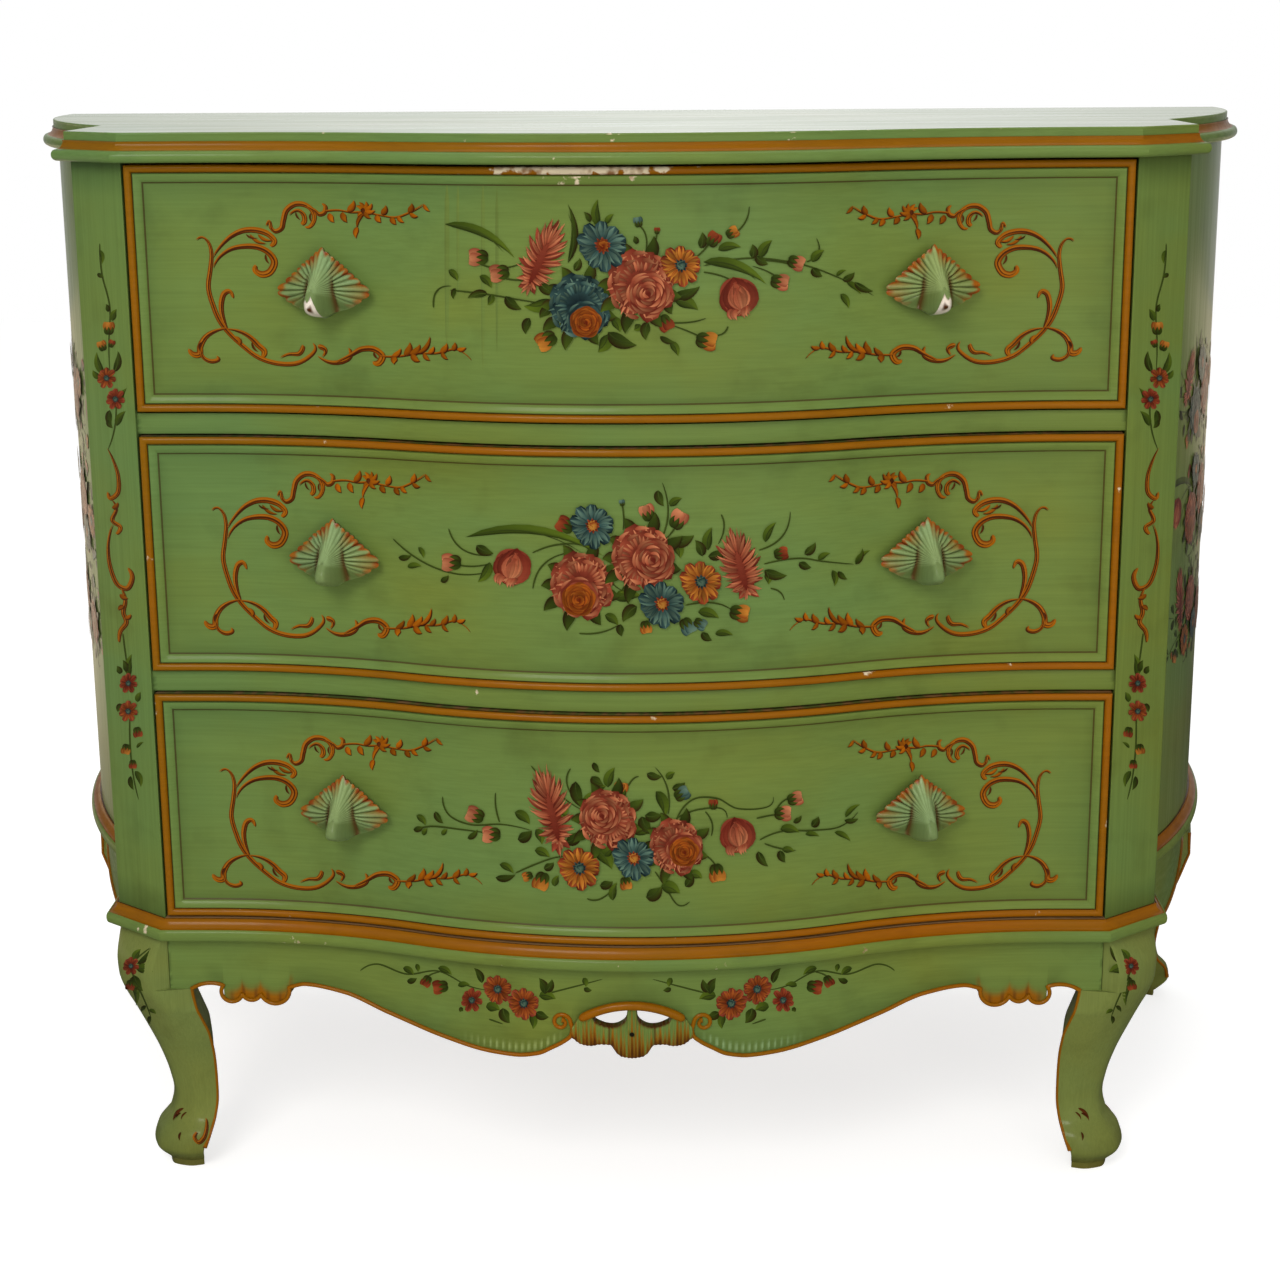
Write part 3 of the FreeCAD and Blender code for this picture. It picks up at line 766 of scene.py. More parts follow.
@dataclass(frozen=True)
class PaintFinish:
    """Old oil paint under satin varnish: colour in patches, brush marks, grime, chips where it wears, and
    painted light.
    """

    name: str
    grain: Grain
    patch_size: float = 4.5
    # Squeeze of the cool and of the olive patches along each axis
    cool_squeeze: tuple[float, float, float] = (1.0, 1.0, 1.4)
    olive_squeeze: tuple[float, float, float] = (1.0, 1.0, 2.0)
    streak_size: float = 5.0
    fine_streak_share: float = 2.6
    grime_size: float = 24.0
    chip_size: float = 70.0
    ground_size: float = 110.0
    roughness: float = 0.4
    coat: float = 0.16
    coat_roughness: float = 0.16
    shine: float = 0.1
    # Strength of the colour patches and of the painted light
    patches_and_light: float = 1.0
    relief: float = 0.25
    relief_depth: float = 0.0006
    # Painted light: how fast the paint turns warmer and darker across, back and up, and where it is half way
    slope: tuple[float, float, float] = (0.6, 0.0, -0.7)
    light_slope_height: float = 0.5
    lit_tone: tuple[float, float, float] = (0.96, 1.0, 1.12)
    shaded_tone: tuple[float, float, float] = (1.05, 0.94, 0.84)

    def material(self) -> bpy.types.Material:
        """Wires the finish.

        Returns:
            The material, which reads the colour attribute named paint and its alpha as wear.
        """
        tree = NodeTree(bpy.data.materials.new(self.name))
        paint = tree.node("ShaderNodeAttribute", attribute_name="paint", attribute_type="GEOMETRY")
        colour = paint.outputs["Color"]
        cool = tree.noise(self.cool_squeeze, self.patch_size, detail=4.0)
        colour = tree.stain(colour, cool, tone=(0.86, 1.01, 1.3), low=0.38, high=0.66, most=self.patches_and_light)
        olive = tree.noise(self.olive_squeeze, self.patch_size, detail=3.0, turn=3.7)
        colour = tree.stain(colour, olive, tone=(1.1, 0.95, 0.72), low=0.5, high=0.72, most=self.patches_and_light)
        # Painted light: cool and lighter towards the upper left, warmer and darker towards the lower right
        light_tint = tree.mix(tree.slope(self.slope, self.light_slope_height), self.lit_tone, self.shaded_tone)
        colour = tree.mix(self.patches_and_light, colour, tree.mix(1.0, colour, light_tint, "MULTIPLY"))
        streaks = tree.noise(self.grain.value, self.streak_size, detail=4.0)
        colour = tree.stain(colour, streaks, tone=(0.82, 0.83, 0.8), low=0.35, high=0.68, most=0.4)
        fine = tree.noise(self.grain.value, self.fine_streak_share * self.streak_size, detail=2.0, turn=1.7)
        colour = tree.stain(colour, fine, tone=(0.86, 0.85, 0.8), low=0.4, high=0.62, most=0.45)
        grime = tree.noise(Grain.EVEN.value, self.grime_size, detail=6.0, turn=9.1)
        colour = tree.stain(colour, grime, tone=(0.62, 0.58, 0.5), low=0.56, high=0.8, most=0.5)
        specks = tree.noise(Grain.EVEN.value, self.chip_size, detail=5.0, turn=5.3)
        wear = tree.math("SUBTRACT", tree.math("ADD", specks, paint.outputs["Alpha"]), 1.0)
        chips = tree.ramp(wear, low=-0.02, high=0.02)
        bare = tree.ramp(tree.noise(Grain.EVEN.value, self.ground_size, detail=2.0), low=0.5, high=0.7)
        colour = tree.mix(chips, colour, tree.mix(bare, Tone.GROUND.linear(), Tone.OLD_WOOD.linear()))
        rough = tree.ramp(streaks, 0.3, 0.7, self.roughness - 0.06, self.roughness + 0.1)
        height = tree.math("SUBTRACT", tree.math("MULTIPLY", streaks, 0.5), tree.math("MULTIPLY", chips, 1.5))
        tree.bump(height, self.relief, self.relief_depth)
        tree.feed(Base_Color=colour, Roughness=rough, Coat_Weight=self.coat,
                  Coat_Roughness=self.coat_roughness, Specular_IOR_Level=self.shine)
        return tree.owner


@dataclass(frozen=True)
class WoodFinish:
    """Bare sawn softwood, darkened with age: fibres, growth bands and dust."""

    name: str
    grain: Grain
    fibre_size: float = 9.0
    band_size: float = 1.6
    band_power: float = 0.8
    dust_size: float = 7.0
    roughness: float = 0.72
    shine: float = 0.3
    relief: float = 0.3
    relief_depth: float = 0.0008

    def material(self) -> bpy.types.Material:
        """Wires the finish.

        Returns:
            The material.
        """
        tree = NodeTree(bpy.data.materials.new(self.name))
        fibre = tree.noise(self.grain.value, self.fibre_size, detail=8.0)
        wide = tuple(part ** self.band_power for part in self.grain.value)
        band = tree.ramp(tree.noise(wide, self.band_size, detail=3.0, turn=2.3), low=0.36, high=0.66)
        colour = tree.mix(band, Tone.PALE_WOOD.linear(), Tone.DARK_WOOD.linear())
        colour = tree.stain(colour, fibre, tone=(0.6, 0.52, 0.44), low=0.42, high=0.7, most=0.5)
        dust = tree.noise(Grain.EVEN.value, self.dust_size, detail=5.0, turn=6.2)
        colour = tree.mix(tree.ramp(dust, 0.5, 0.75, to_high=0.35), colour, Tone.DUST.linear())
        tree.bump(fibre, self.relief, self.relief_depth)
        tree.feed(Base_Color=colour, Roughness=self.roughness, Specular_IOR_Level=self.shine)
        return tree.owner


@dataclass
class Finishes:
    """Materials that the pieces share."""

    across: bpy.types.Material
    upright: bpy.types.Material
    carved: bpy.types.Material
    polished: bpy.types.Material
    brushed: bpy.types.Material
    sides: bpy.types.Material
    wood_across: bpy.types.Material
    wood_upright: bpy.types.Material
    wood_deep: bpy.types.Material

    @staticmethod
    def mixed() -> "Finishes":
        """Makes every material once, in the order of the fields.

        Returns:
            The materials.
        """
        across, upright = Grain.ACROSS, Grain.UPRIGHT
        made = (
            PaintFinish("paint_across", across),
            PaintFinish("paint_upright", upright, coat=0.06),
            PaintFinish("paint_carved", upright, streak_size=9.0, roughness=0.36),
            PaintFinish("paint_polished", across, roughness=0.3, coat=0.4, shine=0.4, relief=0.03),
            PaintFinish("paint_brushed", across, coat=0.0, shine=0.06, patches_and_light=0.0, relief=0.1),
            PaintFinish("paint_sides", upright, coat=0.3, shine=0.3, relief=0.03),
            WoodFinish("wood_across", across),
            WoodFinish("wood_upright", upright),
            WoodFinish("wood_deep", Grain.DEEP),
        )
        return Finishes(*(finish.material() for finish in made))


@dataclass
class TopBoard:
    """Top with its moulded edge: torus, cove and fillet."""

    torus_reach: float = 0.009
    torus_bulge: float = 0.004
    torus_height: float = 0.009
    cove_height: float = 0.0065
    cove_reach: float = 0.0047
    cove_depth: float = 0.0016
    arris_reach: float = 0.0035
    arris_round: float = 0.0012
    arris_bulge: float = 0.0004
    # Sizes of the rings that fill the faces
    ring_shares: tuple[float, ...] = (1.0, 0.985, 0.9, 0.75, 0.55, 0.3, 0.02)

    def build(self, finishes: Finishes) -> None:
        """Carries the edge round the case and fills the two faces with rings that shrink to the middle.

        Args:
            finishes: shared materials.
        """
        low = heights.case_top
        torus = low + self.torus_height
        cove = torus + self.cove_height
        high = low + heights.top
        arris = self.arris_reach - self.arris_round
        members = [
            Member(self.torus_reach, low, Bend.STRAIGHT, Tone.SHADED_GREEN),
            Member(self.torus_reach, torus, Bend.ROUND, Tone.GREEN, steps=10, bulge=self.torus_bulge,
                   wear=0.24),
            Member(self.cove_reach, cove, Bend.HOLLOW, Tone.OCHRE, steps=8, bulge=self.cove_depth, wear=0.22),
            Member(self.arris_reach, cove, Bend.STRAIGHT, Tone.UMBER),
            Member(self.arris_reach, high - self.arris_round, Bend.STRAIGHT, Tone.GREEN, steps=3, wear=0.28),
            Member(arris, high, Bend.ROUND, Tone.GREEN, steps=4, bulge=self.arris_bulge, wear=0.36),
        ]
        profile, paint = moulding((0.0, low), members)
        edge = carried(*plan.round_case(), profile)
        skin, face = Skin(), Skin()
        skin.grid(edge, paint)
        skin.grid(np.concatenate([edge[-1:], edge[:1]]), paint)
        shares = np.array(self.ring_shares)[:, None, None]
        for ring, tone, part in ((edge[:, -1], Tone.GREEN, face), (edge[:, 0], Tone.SHADED_GREEN, skin)):
            centre = np.array([0.0, plan.back_y / 2, ring[0, 2]])
            rings = centre + (ring[None] - centre) * shares
            part.grid(rings, tone, closed=True, flip=part is face)
            part.cap(rings[-1], tone, flip=part is face)
        skin.build("top_edge", finishes.across, "carcass", "green_paint", ["top_board"])
        face.build("top_face", finishes.polished, "carcass", "green_paint", merge=False)


@dataclass
class BaseMoulding:
    """Moulding round the foot of the case: green band under an ochre cove."""

    reach: float = 0.010
    chamfer: float = 0.002
    band_height: float = 0.0095
    ledge: float = 0.0015
    cove_depth: float = 0.0022

    def build(self, finishes: Finishes) -> None:
        """Carries the profile round the case and closes its two ends at the back.

        Args:
            finishes: shared materials.
        """
        low = heights.leg
        band = low + self.band_height
        inner = self.reach - self.chamfer
        members = [
            Member(inner, low, Bend.STRAIGHT, Tone.SHADED_GREEN),
            Member(inner, band, Bend.ROUND, Tone.GREEN, steps=8, bulge=self.chamfer, wear=0.3),
            Member(self.ledge, heights.floor, Bend.HOLLOW, Tone.OCHRE, steps=8, bulge=self.cove_depth,
                   wear=0.15),
            Member(0.0, heights.floor, Bend.STRAIGHT, Tone.UMBER),
            Member(0.0, low, Bend.STRAIGHT, Tone.UMBER),
        ]
        profile, paint = moulding((0.0, low), members)
        strip = carried(*plan.round_case(), profile)
        skin = Skin()
        skin.rod(strip, paint, Tone.SHADED_GREEN, Tone.SHADED_GREEN)
        nodes = ["base_moulding_" + end for end in ("front", "right_corner", "left_corner", "right", "left")]
        skin.build("base_moulding", finishes.across, "carcass", "green_paint", nodes)


def mirrored(points: Array, side: int) -> Array:
    """Points on the right, or their mirror image where the side is -1."""
    return points * np.array([side, 1.0, 1.0])


SIDES = {"right": 1, "left": -1}


@dataclass
class Carcass:
    """Posts, side panels and rails of the case."""

    post_back: float = 0.070
    post_step: float = 0.025
    panel: float = 0.014
    rail_setback: float = 0.006
    rail_depth: float = 0.05
    rail_bulge: float = 0.0006
    corner_round: float = 0.0016
    corner_steps: int = 4
    edge_wear: float = 0.2
    end_shade: float = 0.03
    post_rows: int = 24
    panel_rows: int = 20
    panel_columns: int = 90

    def post(self, side: str, finishes: Finishes) -> None:
        """Canted post: its plan drawn upwards, with each corner eased by a short curve, and worn in front.

        Args:
            side: right or left.
            finishes: shared materials.
        """
        y = plan.line_y
        step_x = plan.front_half + self.post_step
        corners = np.array([(plan.front_half, y), (plan.corner_x, y + plan.post_depth),
                            (plan.corner_x, plan.return_y), (step_x, plan.return_y),
                            (step_x, y + self.post_back), (plan.front_half, y + self.post_back)])
        before, after = (self.corner_round * unit(np.roll(corners, way, 0) - corners) for way in (1, -1))
        ring = eased_corners(corners, before, after, self.corner_steps)
        z = np.linspace(heights.floor, heights.case_top, self.post_rows)
        points = extended(np.broadcast_to(ring, (len(z),) + ring.shape), z[:, None])
        ends = fade(np.minimum(z - heights.floor, heights.case_top - z), 0.0, self.end_shade)
        shade = blend_colours(Tone.SHADED_GREEN, Tone.GREEN, np.sqrt(ends))
        wear = np.zeros(len(ring))
        wear[:2 * self.corner_steps] = self.edge_wear
        paint = extended(np.broadcast_to(shade[:, None], points.shape), wear)
        skin = Skin()
        skin.rod(mirrored(points, SIDES[side]), paint, Tone.SHADED_GREEN, Tone.SHADED_GREEN)
        skin.build(side + "_post", finishes.upright, "carcass", "green_paint", [side + "_front_post"])

    def side_panel(self, side: str, finishes: Finishes) -> None:
        """Bowed side: outer and inner arcs joined at their ends.

        Args:
            side: right or left.
            finishes: shared materials.
        """
        z = np.linspace(heights.floor, heights.case_top, self.panel_rows)
        outer = np.stack([np.zeros_like(z), z], -1)
        inner = np.stack([np.full_like(z, -self.panel), z], -1)[::-1]
        path, outward = plan.side(np.linspace(0.0, 1.0, self.panel_columns))
        strip = carried(path, outward, np.concatenate([outer, inner]))
        strip[0, :, 1] = plan.return_y
        skin = Skin()
        skin.rod(mirrored(strip, SIDES[side]), Tone.GREEN, Tone.SHADED_GREEN, Tone.SHADED_GREEN)
        skin.build(side + "_side", finishes.sides, "carcass", "green_paint", [side + "_side_panel"])

    def rail(self, name: str, level: int, finishes: Finishes) -> None:
        """Serpentine rail between two drawers, with a softly rounded front edge.

        Args:
            name: its CAD node.
            level: how many drawers lie under it.
            finishes: shared materials.
        """
        low = heights.floor + level * heights.pitch - heights.rail
        high = low + heights.rail
        front = -self.rail_setback
        members = [Member(front, low, Bend.STRAIGHT, Tone.SHADED_GREEN, steps=2),
                   Member(front, high, Bend.ROUND, Tone.GREEN, steps=8, bulge=self.rail_bulge, wear=0.2),
                   Member(-self.rail_depth, high, Bend.STRAIGHT, Tone.SHADED_GREEN, steps=2)]
        profile, paint = moulding((-self.rail_depth, low), members)
        x = np.linspace(-plan.front_half, plan.front_half, plan.front_steps)[:, None]
        strip = plan.front_points(x, profile[None, :, 0], profile[None, :, 1])
        back = strip[:, [0, -1]]
        back[..., 1] = plan.line_y + self.post_back
        skin = Skin()
        loop = np.concatenate([back[:, :1], strip, back[:, 1:]], 1)
        paint = np.concatenate([paint[:1], paint, paint[-1:]])
        skin.rod(loop, paint, Tone.SHADED_GREEN, Tone.SHADED_GREEN)
        skin.build(name + "_face", finishes.across, "carcass", "green_paint", [name])

    def build(self, finishes: Finishes) -> None:
        """Builds both posts, both sides and both rails.

        Args:
            finishes: shared materials.
        """
        for side in SIDES:
            self.post(side, finishes)
            self.side_panel(side, finishes)
        for level, name in ((1, "lower_rail"), (2, "upper_rail")):
            self.rail(name, level, finishes)


class Drawer(Enum):
    """The drawers, by their level from the bottom."""

    BOTTOM = 0
    MIDDLE = 1
    TOP = 2

    @property
    def body(self) -> str:
        """The CAD body of the drawer."""
        return self.name.lower() + "_drawer"

    @property
    def foot(self) -> float:
        """Height of the lower edge of its front."""
        return heights.drawer_foot(self.value)


@dataclass
class DrawerFront:
    """Serpentine front: a sunk panel framed by a mitred moulding of ochre bead and green ovolo."""

    proud: float = 0.001
    frame_height: float = 0.005
    frame_width: float = 0.014
    bead_width: float = 0.0056
    bead_rise: float = 0.0022
    quirk: float = 0.0016
    quirk_width: float = 0.0005
    arris: float = 0.0012
    ovolo_foot: float = 0.0009
    ovolo_bulge: float = 0.0007
    thickness: float = 0.020
    # Where the top drawer's upper edge has lost its paint, and how much
    worn_middle: float = -0.035
    worn_half: float = 0.075
    worn_most: float = 0.5
    worn_inner_share: float = 0.2
    # Rows of points inside the frame, and where the even ones start
    border_steps: tuple[float, ...] = (0.0, 0.002, 0.008, 0.03)
    border: float = 0.06
    shade_width: float = 0.02
    least_light: float = 0.35
    panel_columns: int = 180
    edge_columns: int = 241
    edge_rows: int = 25

    @property
    def panel_offset(self) -> float:
        """Face of the sunk panel from the line of the case."""
        return self.proud - self.frame_height

    @property
    def half(self) -> float:
        """Half width of a front."""
        return plan.front_half - heights.gap

    def frame_profile(self) -> tuple[Array, Array]:
        """Edge moulding from the outside inwards.

        Returns:
            Rows of inward distance and offset, and their paint.
        """
        base = self.panel_offset
        wall = self.proud - self.bead_rise
        foot = self.proud - self.quirk
        inner = self.frame_width - self.arris
        members = [
            # The bead's outer wall is painted umber as shade in the gap round the drawer
            Member(0.0, wall, Bend.STRAIGHT, Tone.UMBER),
            Member(self.bead_width, wall, Bend.ROUND, Tone.OCHRE, steps=10, bulge=-self.bead_rise, wear=0.28),
            Member(self.bead_width + self.quirk_width, foot - self.arris, Bend.STRAIGHT, Tone.UMBER),
            Member(self.bead_width + self.arris, foot, Bend.STRAIGHT, Tone.SHADED_GREEN),
            Member(inner, base + self.ovolo_foot, Bend.ROUND, Tone.GREEN, 8, -self.ovolo_bulge, wear=0.2),
            # Painted shade: a dark line in the crease where the frame meets the sunk panel
            Member(self.frame_width, base, Bend.STRAIGHT, Tone.LINE),
        ]
        return moulding((0.0, base), members)

    def edge(self, drawer: Drawer, finishes: Finishes) -> None:
        """Four strips of moulding, each shortened by its own inward distance so that the corners mitre.

        Args:
            drawer: which drawer.
            finishes: shared materials.
        """
        profile, paint = self.frame_profile()
        inward, offset = profile[None, :, 0], profile[None, :, 1]
        low, high = drawer.foot, drawer.foot + heights.drawer
        along = np.linspace(-1.0, 1.0, self.edge_columns)[:, None]
        up = np.linspace(0.0, 1.0, self.edge_rows)[:, None]
        reach = self.half - inward
        tall = low + inward + up * (heights.drawer - 2 * inward)
        upper = np.broadcast_to(paint, (len(along),) + paint.shape).copy()
        if drawer is Drawer.TOP:
            lost = self.worn_most * bell(along * self.half, self.worn_middle, self.worn_half)
            upper[..., 3] += lost * np.linspace(1.0, self.worn_inner_share, len(paint))
        skin = Skin()
        skin.grid(plan.front_points(along * reach, offset, low + inward), paint)
        skin.grid(plan.front_points(along * reach, offset, high - inward), upper, flip=True)
        skin.grid(plan.front_points(reach, offset, tall), paint)
        skin.grid(plan.front_points(-reach, offset, tall), paint, flip=True)
        skin.build(drawer.body + "_edge", finishes.across, drawer.body, "ochre_trim",
                   [drawer.body + "_edge_moulding"])

    def panel(self, drawer: Drawer, finishes: Finishes) -> None:
        """Board that follows the serpentine, darker towards its frame.

        Args:
            drawer: which drawer.
            finishes: shared materials.
        """
        low, high = drawer.foot, drawer.foot + heights.drawer
        rows = np.append(0.0, self.frame_width + np.array(self.border_steps))
        even = np.linspace(self.border - self.half, self.half - self.border, self.panel_columns)
        x = np.concatenate([rows - self.half, even, self.half - rows[::-1]])[:, None]
        z = np.concatenate([low + rows, high - rows[::-1]])
        inside = np.minimum(self.half - np.abs(x), np.concatenate([rows, rows[::-1]])) - self.frame_width
        share = np.sqrt(fade(inside, 0.0, self.shade_width))
        light = self.least_light + (1.0 - self.least_light) * share
        front = plan.front_points(x, self.panel_offset, z)
        behind = plan.front_points(x, self.panel_offset - self.thickness, z)
        skin = Skin()
        skin.grid(front, blend_colours(Tone.SHADED_GREEN, Tone.GREEN, light), flip=True)
        skin.grid(behind, Tone.INNER_WOOD)
        skin.rims(front, behind, Tone.INNER_WOOD)
        skin.build(drawer.body + "_panel", finishes.across, drawer.body, "green_paint",
                   [drawer.body + "_front"])

    def build(self, finishes: Finishes) -> None:
        """Builds the panel and edge of every drawer.

        Args:
            finishes: shared materials.
        """
        for drawer in Drawer:
            self.panel(drawer, finishes)
            self.edge(drawer, finishes)


@dataclass
class LeafPull:
    """Carved leaf pull: a neck that spreads into a fan of ribs and scallops, with a nose at its foot."""

    spacing: float = 0.450
    lift: float = 0.003
    reach: float = 0.041
    edge_reach: float = 0.0115
    neck: float = 0.0112
    wing_rise: float = 0.0085
    wing_power: float = 2.2
    nose_place: Spot = (0.0005, -0.0125)
    nose_round: float = 0.0088
    nose_fall_share: float = 1.02
    ridge_round: float = 0.0042
    ridge_length: float = 0.03
    scallops: float = 33.0
    notch_share: float = 0.085
    # Turn from upright in degrees where the scallops have died away, and over how much they do
    fan_end: float = 128.0
    fan_fade: float = 26.0
    rib_depth: float = 0.0020
    rib_middle: float = 0.7
    # Groove on both sides of the ridge: its place and width in the ridge's half widths, depth and upper end
    groove_place: float = 1.5
    groove_width: float = 0.22
    groove_depth: float = 0.0022
    groove_top: float = 0.013
    groove_fade: float = 0.010
    # Bare spot of a chipped nose: how far it is moved, its radius, flattening, soft edge and depth
    chip_shift: float = 0.001
    chip: float = 0.0052
    chip_flat_share: float = 0.6
    chip_edge: float = 0.0008
    chip_core: float = 0.0016
    chip_ring: float = 0.001
    chip_depth: float = 0.0016
    wear: float = 0.16
    edge_wear: float = 0.1
    columns: int = 330
    # Turn from upright in degrees, and radius of the leaf there
    turns: tuple[float, ...] = (0.0, 12.0, 30.0, 54.0, 80.0, 94.0, 106.0, 122.0, 150.0, 180.0)
    radii: tuple[float, ...] = (
        0.0305, 0.0266, 0.0240, 0.0245, 0.0308, 0.0380, 0.0325, 0.0265, 0.0205, 0.0228)
    # Height up the leaf, and how far the ridge has risen there, as a share of the nose's own rise
    ridge_heights: tuple[float, ...] = (-0.0225, -0.0105, 0.0, 0.012, 0.024, 0.0305)
    ridge_shares: tuple[float, ...] = (0.72, 1.0, 0.8, 0.4, 0.1, 0.0)
    # Rings under the leaf: share of the way from neck to rim, and distance from the panel
    under_rings: tuple[Spot, ...] = (
        (0.0, -0.001), (0.0, 0.002), (0.1, 0.0045), (0.45, 0.0062), (0.84, 0.0078), (0.97, 0.0094))

    def foot(self, side: int, z: float) -> tuple[Array, Array, Array]:
        """Middle of the pull on the sunk panel.

        Args:
            side: 1 for the right, -1 for the left.
            z: height.

        Returns:
            The point, and the directions across and out.
        """
        reach = plan.bend_radius - DrawerFront().panel_offset
        across = self.spacing / 2 - plan.swing
        rise = math.sqrt(reach ** 2 - across ** 2)
        point = np.array([side * self.spacing / 2, plan.line_y - plan.bend_radius + rise, z])
        outward = np.array([-side * across, -rise, 0.0]) / reach
        return point, np.array([-outward[1], outward[0], 0.0]), outward

    def rim(self, turn: Array) -> tuple[Array, Array, Array]:
        """Scalloped rim: an eased outline less its notches.

        The lobes are the root of a cosine of the turn, so that the notches between them are narrow.

        Args:
            turn: turns from upright.

        Returns:
            Radius, height of the lobes, and how much of a fan the leaf is, at each turn.
        """
        outline = eased_curve(np.radians(self.turns), np.array(self.radii), np.abs(turn))
        fan = fade(np.abs(turn), math.radians(self.fan_end), math.radians(self.fan_end - self.fan_fade))
        lobes = np.sqrt(np.abs(np.cos(self.scallops * turn / 2.0 + waves(turn, (0.3, 3.0, 0.0)))))
        return outline * (1.0 - self.notch_share * (1.0 - lobes) * fan), lobes, fan

    def ridge_line(self, up: Array) -> Array:
        """Place of the ridge across the leaf at each height."""
        return self.nose_place[0] * fade(up, self.nose_place[1] + self.ridge_length, self.nose_place[1])

    def relief(self, across: Array, up: Array, share: Array, flutes: Array) -> tuple[Array, Array, Array]:
        """Height of the leaf's face from the panel.

        It is the larger of two rises, blended: wings that dome with a power of the distance from the middle,
        and a ridge that falls off as the fourth power of the distance from its line and swells to the nose.
        Flutes fade towards the rim and the ridge.

        Args:
            across: places across.
            up: places up.
            share: share of the way from the middle to the rim.
            flutes: height of the flutes at each turn.

        Returns:
            Height, distance from the ridge in its half widths, and strength of the groove.
        """
        nose_height = self.nose_place[1]
        widths = np.linspace(self.nose_round, self.ridge_round, len(self.ridge_heights))
        aside = np.abs(across - self.ridge_line(up)) / np.interp(up, self.ridge_heights, widths)
        fall = fade(up, nose_height, nose_height - self.nose_fall_share * self.nose_round)
        rise = eased_curve(self.ridge_heights, self.ridge_shares,
                           np.clip(up, self.ridge_heights[0], self.ridge_heights[-1]))
        ridge = (self.reach - self.edge_reach) * rise * np.sqrt(1.0 - fall ** 2) / (1.0 + aside ** 4)
        wing = self.wing_rise * (1.0 - share ** self.wing_power)
        flutes = flutes * np.clip((1.0 - share) * 8.0, 0.25, 1.0) * np.clip(aside - 0.55, 0.12, 1.0)
        groove = bell(aside, self.groove_place, self.groove_width)
        groove = groove * fade(up, self.groove_top, self.groove_top - self.groove_fade)
        out = self.edge_reach + (wing ** 3 + ridge ** 3) ** (1.0 / 3.0) + self.rib_depth * flutes
        return out - self.groove_depth * groove * np.clip((1.0 - share) * 6.0, 0.0, 1.0), aside, groove

    def leaf_paint(self, turn: Array, share: Array, aside: Array, groove: Array) -> tuple[Array, Array]:
        """Green with painted highlights on lobes and ridge, warmer outwards, a ragged rust and ochre edge,
        and painted shade in notches and grooves.

        Args:
            turn: turns from upright.
            share: share of the way from the middle to the rim.
            aside: distance from the ridge in its half widths.
            groove: strength of the groove.

        Returns:
            Colours, and strength of the edge.
        """
        _, lobes, fan = self.rim(turn)
        # Painted highlight: raised lobes and the ridge are lighter
        light = 0.1 + 0.45 * lobes * fan + 0.25 / (1.0 + aside ** 4)
        leaf = blend_colours(Tone.SHADED_GREEN, Tone.HIGHLIGHT_GREEN, light)
        patches = np.clip(np.sin(7.0 * turn + np.sin(13.0 * turn)), 0.0, 1.0)
        leaf = blend_colours(leaf, Tone.OCHRE, 0.7 * fan * patches * fade(share, 0.5, 0.9))
        edge = fan * fade(share + waves(turn, (0.06, 29.0, 0.0), (0.05, 5.0, 0.0)), 0.86, 0.96)
        rust = 0.15 + 0.3 * lobes + waves(turn, (0.3, 13.0, 0.0))
        leaf = blend_colours(leaf, blend_colours(Tone.RUST, Tone.BRIGHT_OCHRE, rust), edge)
        # Painted shade: umber in the notches between lobes and in the grooves beside the ridge
        notches = 0.8 * fan * np.clip(0.62 - lobes, 0.0, 1.0) * np.clip(aside - 0.6, 0.0, 1.0)
        lines = np.clip(0.9 * groove + notches, 0.0, 0.85)
        return blend_colours(leaf, Tone.UMBER, lines * fade(share, 0.0, 0.25)), edge

    def surface(self, chipped: bool) -> tuple[Array, Array]:
        """Rings from the neck out to the scalloped rim, and back over the face of the leaf to its middle.

        Args:
            chipped: the nose has lost its paint.

        Returns:
            Points as across, up and out, rings by turns, and their paint.
        """
        turn = np.linspace(-math.pi, math.pi, self.columns, endpoint=False)
        rim, lobes, fan = self.rim(turn)
        lower = np.array(self.under_rings)
        under = self.neck + (rim - self.neck) * lower[:, :1]
        below = np.stack([under * np.sin(turn), under * np.cos(turn)], -1)
        share = np.concatenate([np.linspace(1.0, 0.9, 6), np.linspace(0.87, 0.03, 44)])[:, None]
        across, up = share * rim * np.sin(turn), share * rim * np.cos(turn)
        out, aside, groove = self.relief(across, up, share, (lobes - self.rib_middle) * fan)
        leaf, edge = self.leaf_paint(turn, share, aside, groove)
        if chipped:
            aside = across - self.ridge_line(up) - self.chip_shift
            spot = np.hypot(aside, (up - self.nose_place[1] + self.chip_shift) * self.chip_flat_share)
            ragged = spot + waves(turn, (0.0011, 5.0, 0.0), (0.0006, 11.0, 0.0))
            broken = fade(ragged, self.chip, self.chip - self.chip_edge)
            ring = fade(ragged, self.chip_core, self.chip_core + self.chip_ring)
            leaf = blend_colours(leaf, blend_colours(Tone.UMBER, Tone.CREAM, ring), broken)
            out = out - self.chip_depth * broken
        points = np.concatenate([extended(below, lower[:, 1:]), np.stack([across, up, out], -1)])
        foot = np.broadcast_to(Tone.SHADED_GREEN.worn(0.0), under.shape + (4,))
        return points, np.concatenate([foot, extended(leaf, self.wear + self.edge_wear * edge)])

    def build(self, finishes: Finishes) -> None:
        """Sets two pulls on every drawer.

        Args:
            finishes: shared materials.
        """
        upright = np.array([0.0, 0.0, 1.0])
        for drawer in Drawer:
            local, paint = self.surface(drawer is Drawer.TOP)
            z = drawer.foot + heights.drawer / 2 + self.lift
            for name, side in SIDES.items():
                point, across, outward = self.foot(side, z)
                placed = point + local @ np.stack([side * across, upright, outward])
                skin = Skin()
                skin.rod(placed, paint, paint[0, 0], paint[-1, 0])
                skin.build("%s_%s_pull" % (drawer.body, name), finishes.carved, drawer.body, "green_paint",
                           ["%s_%s_knob" % (drawer.body, name)], sharp=60.0)


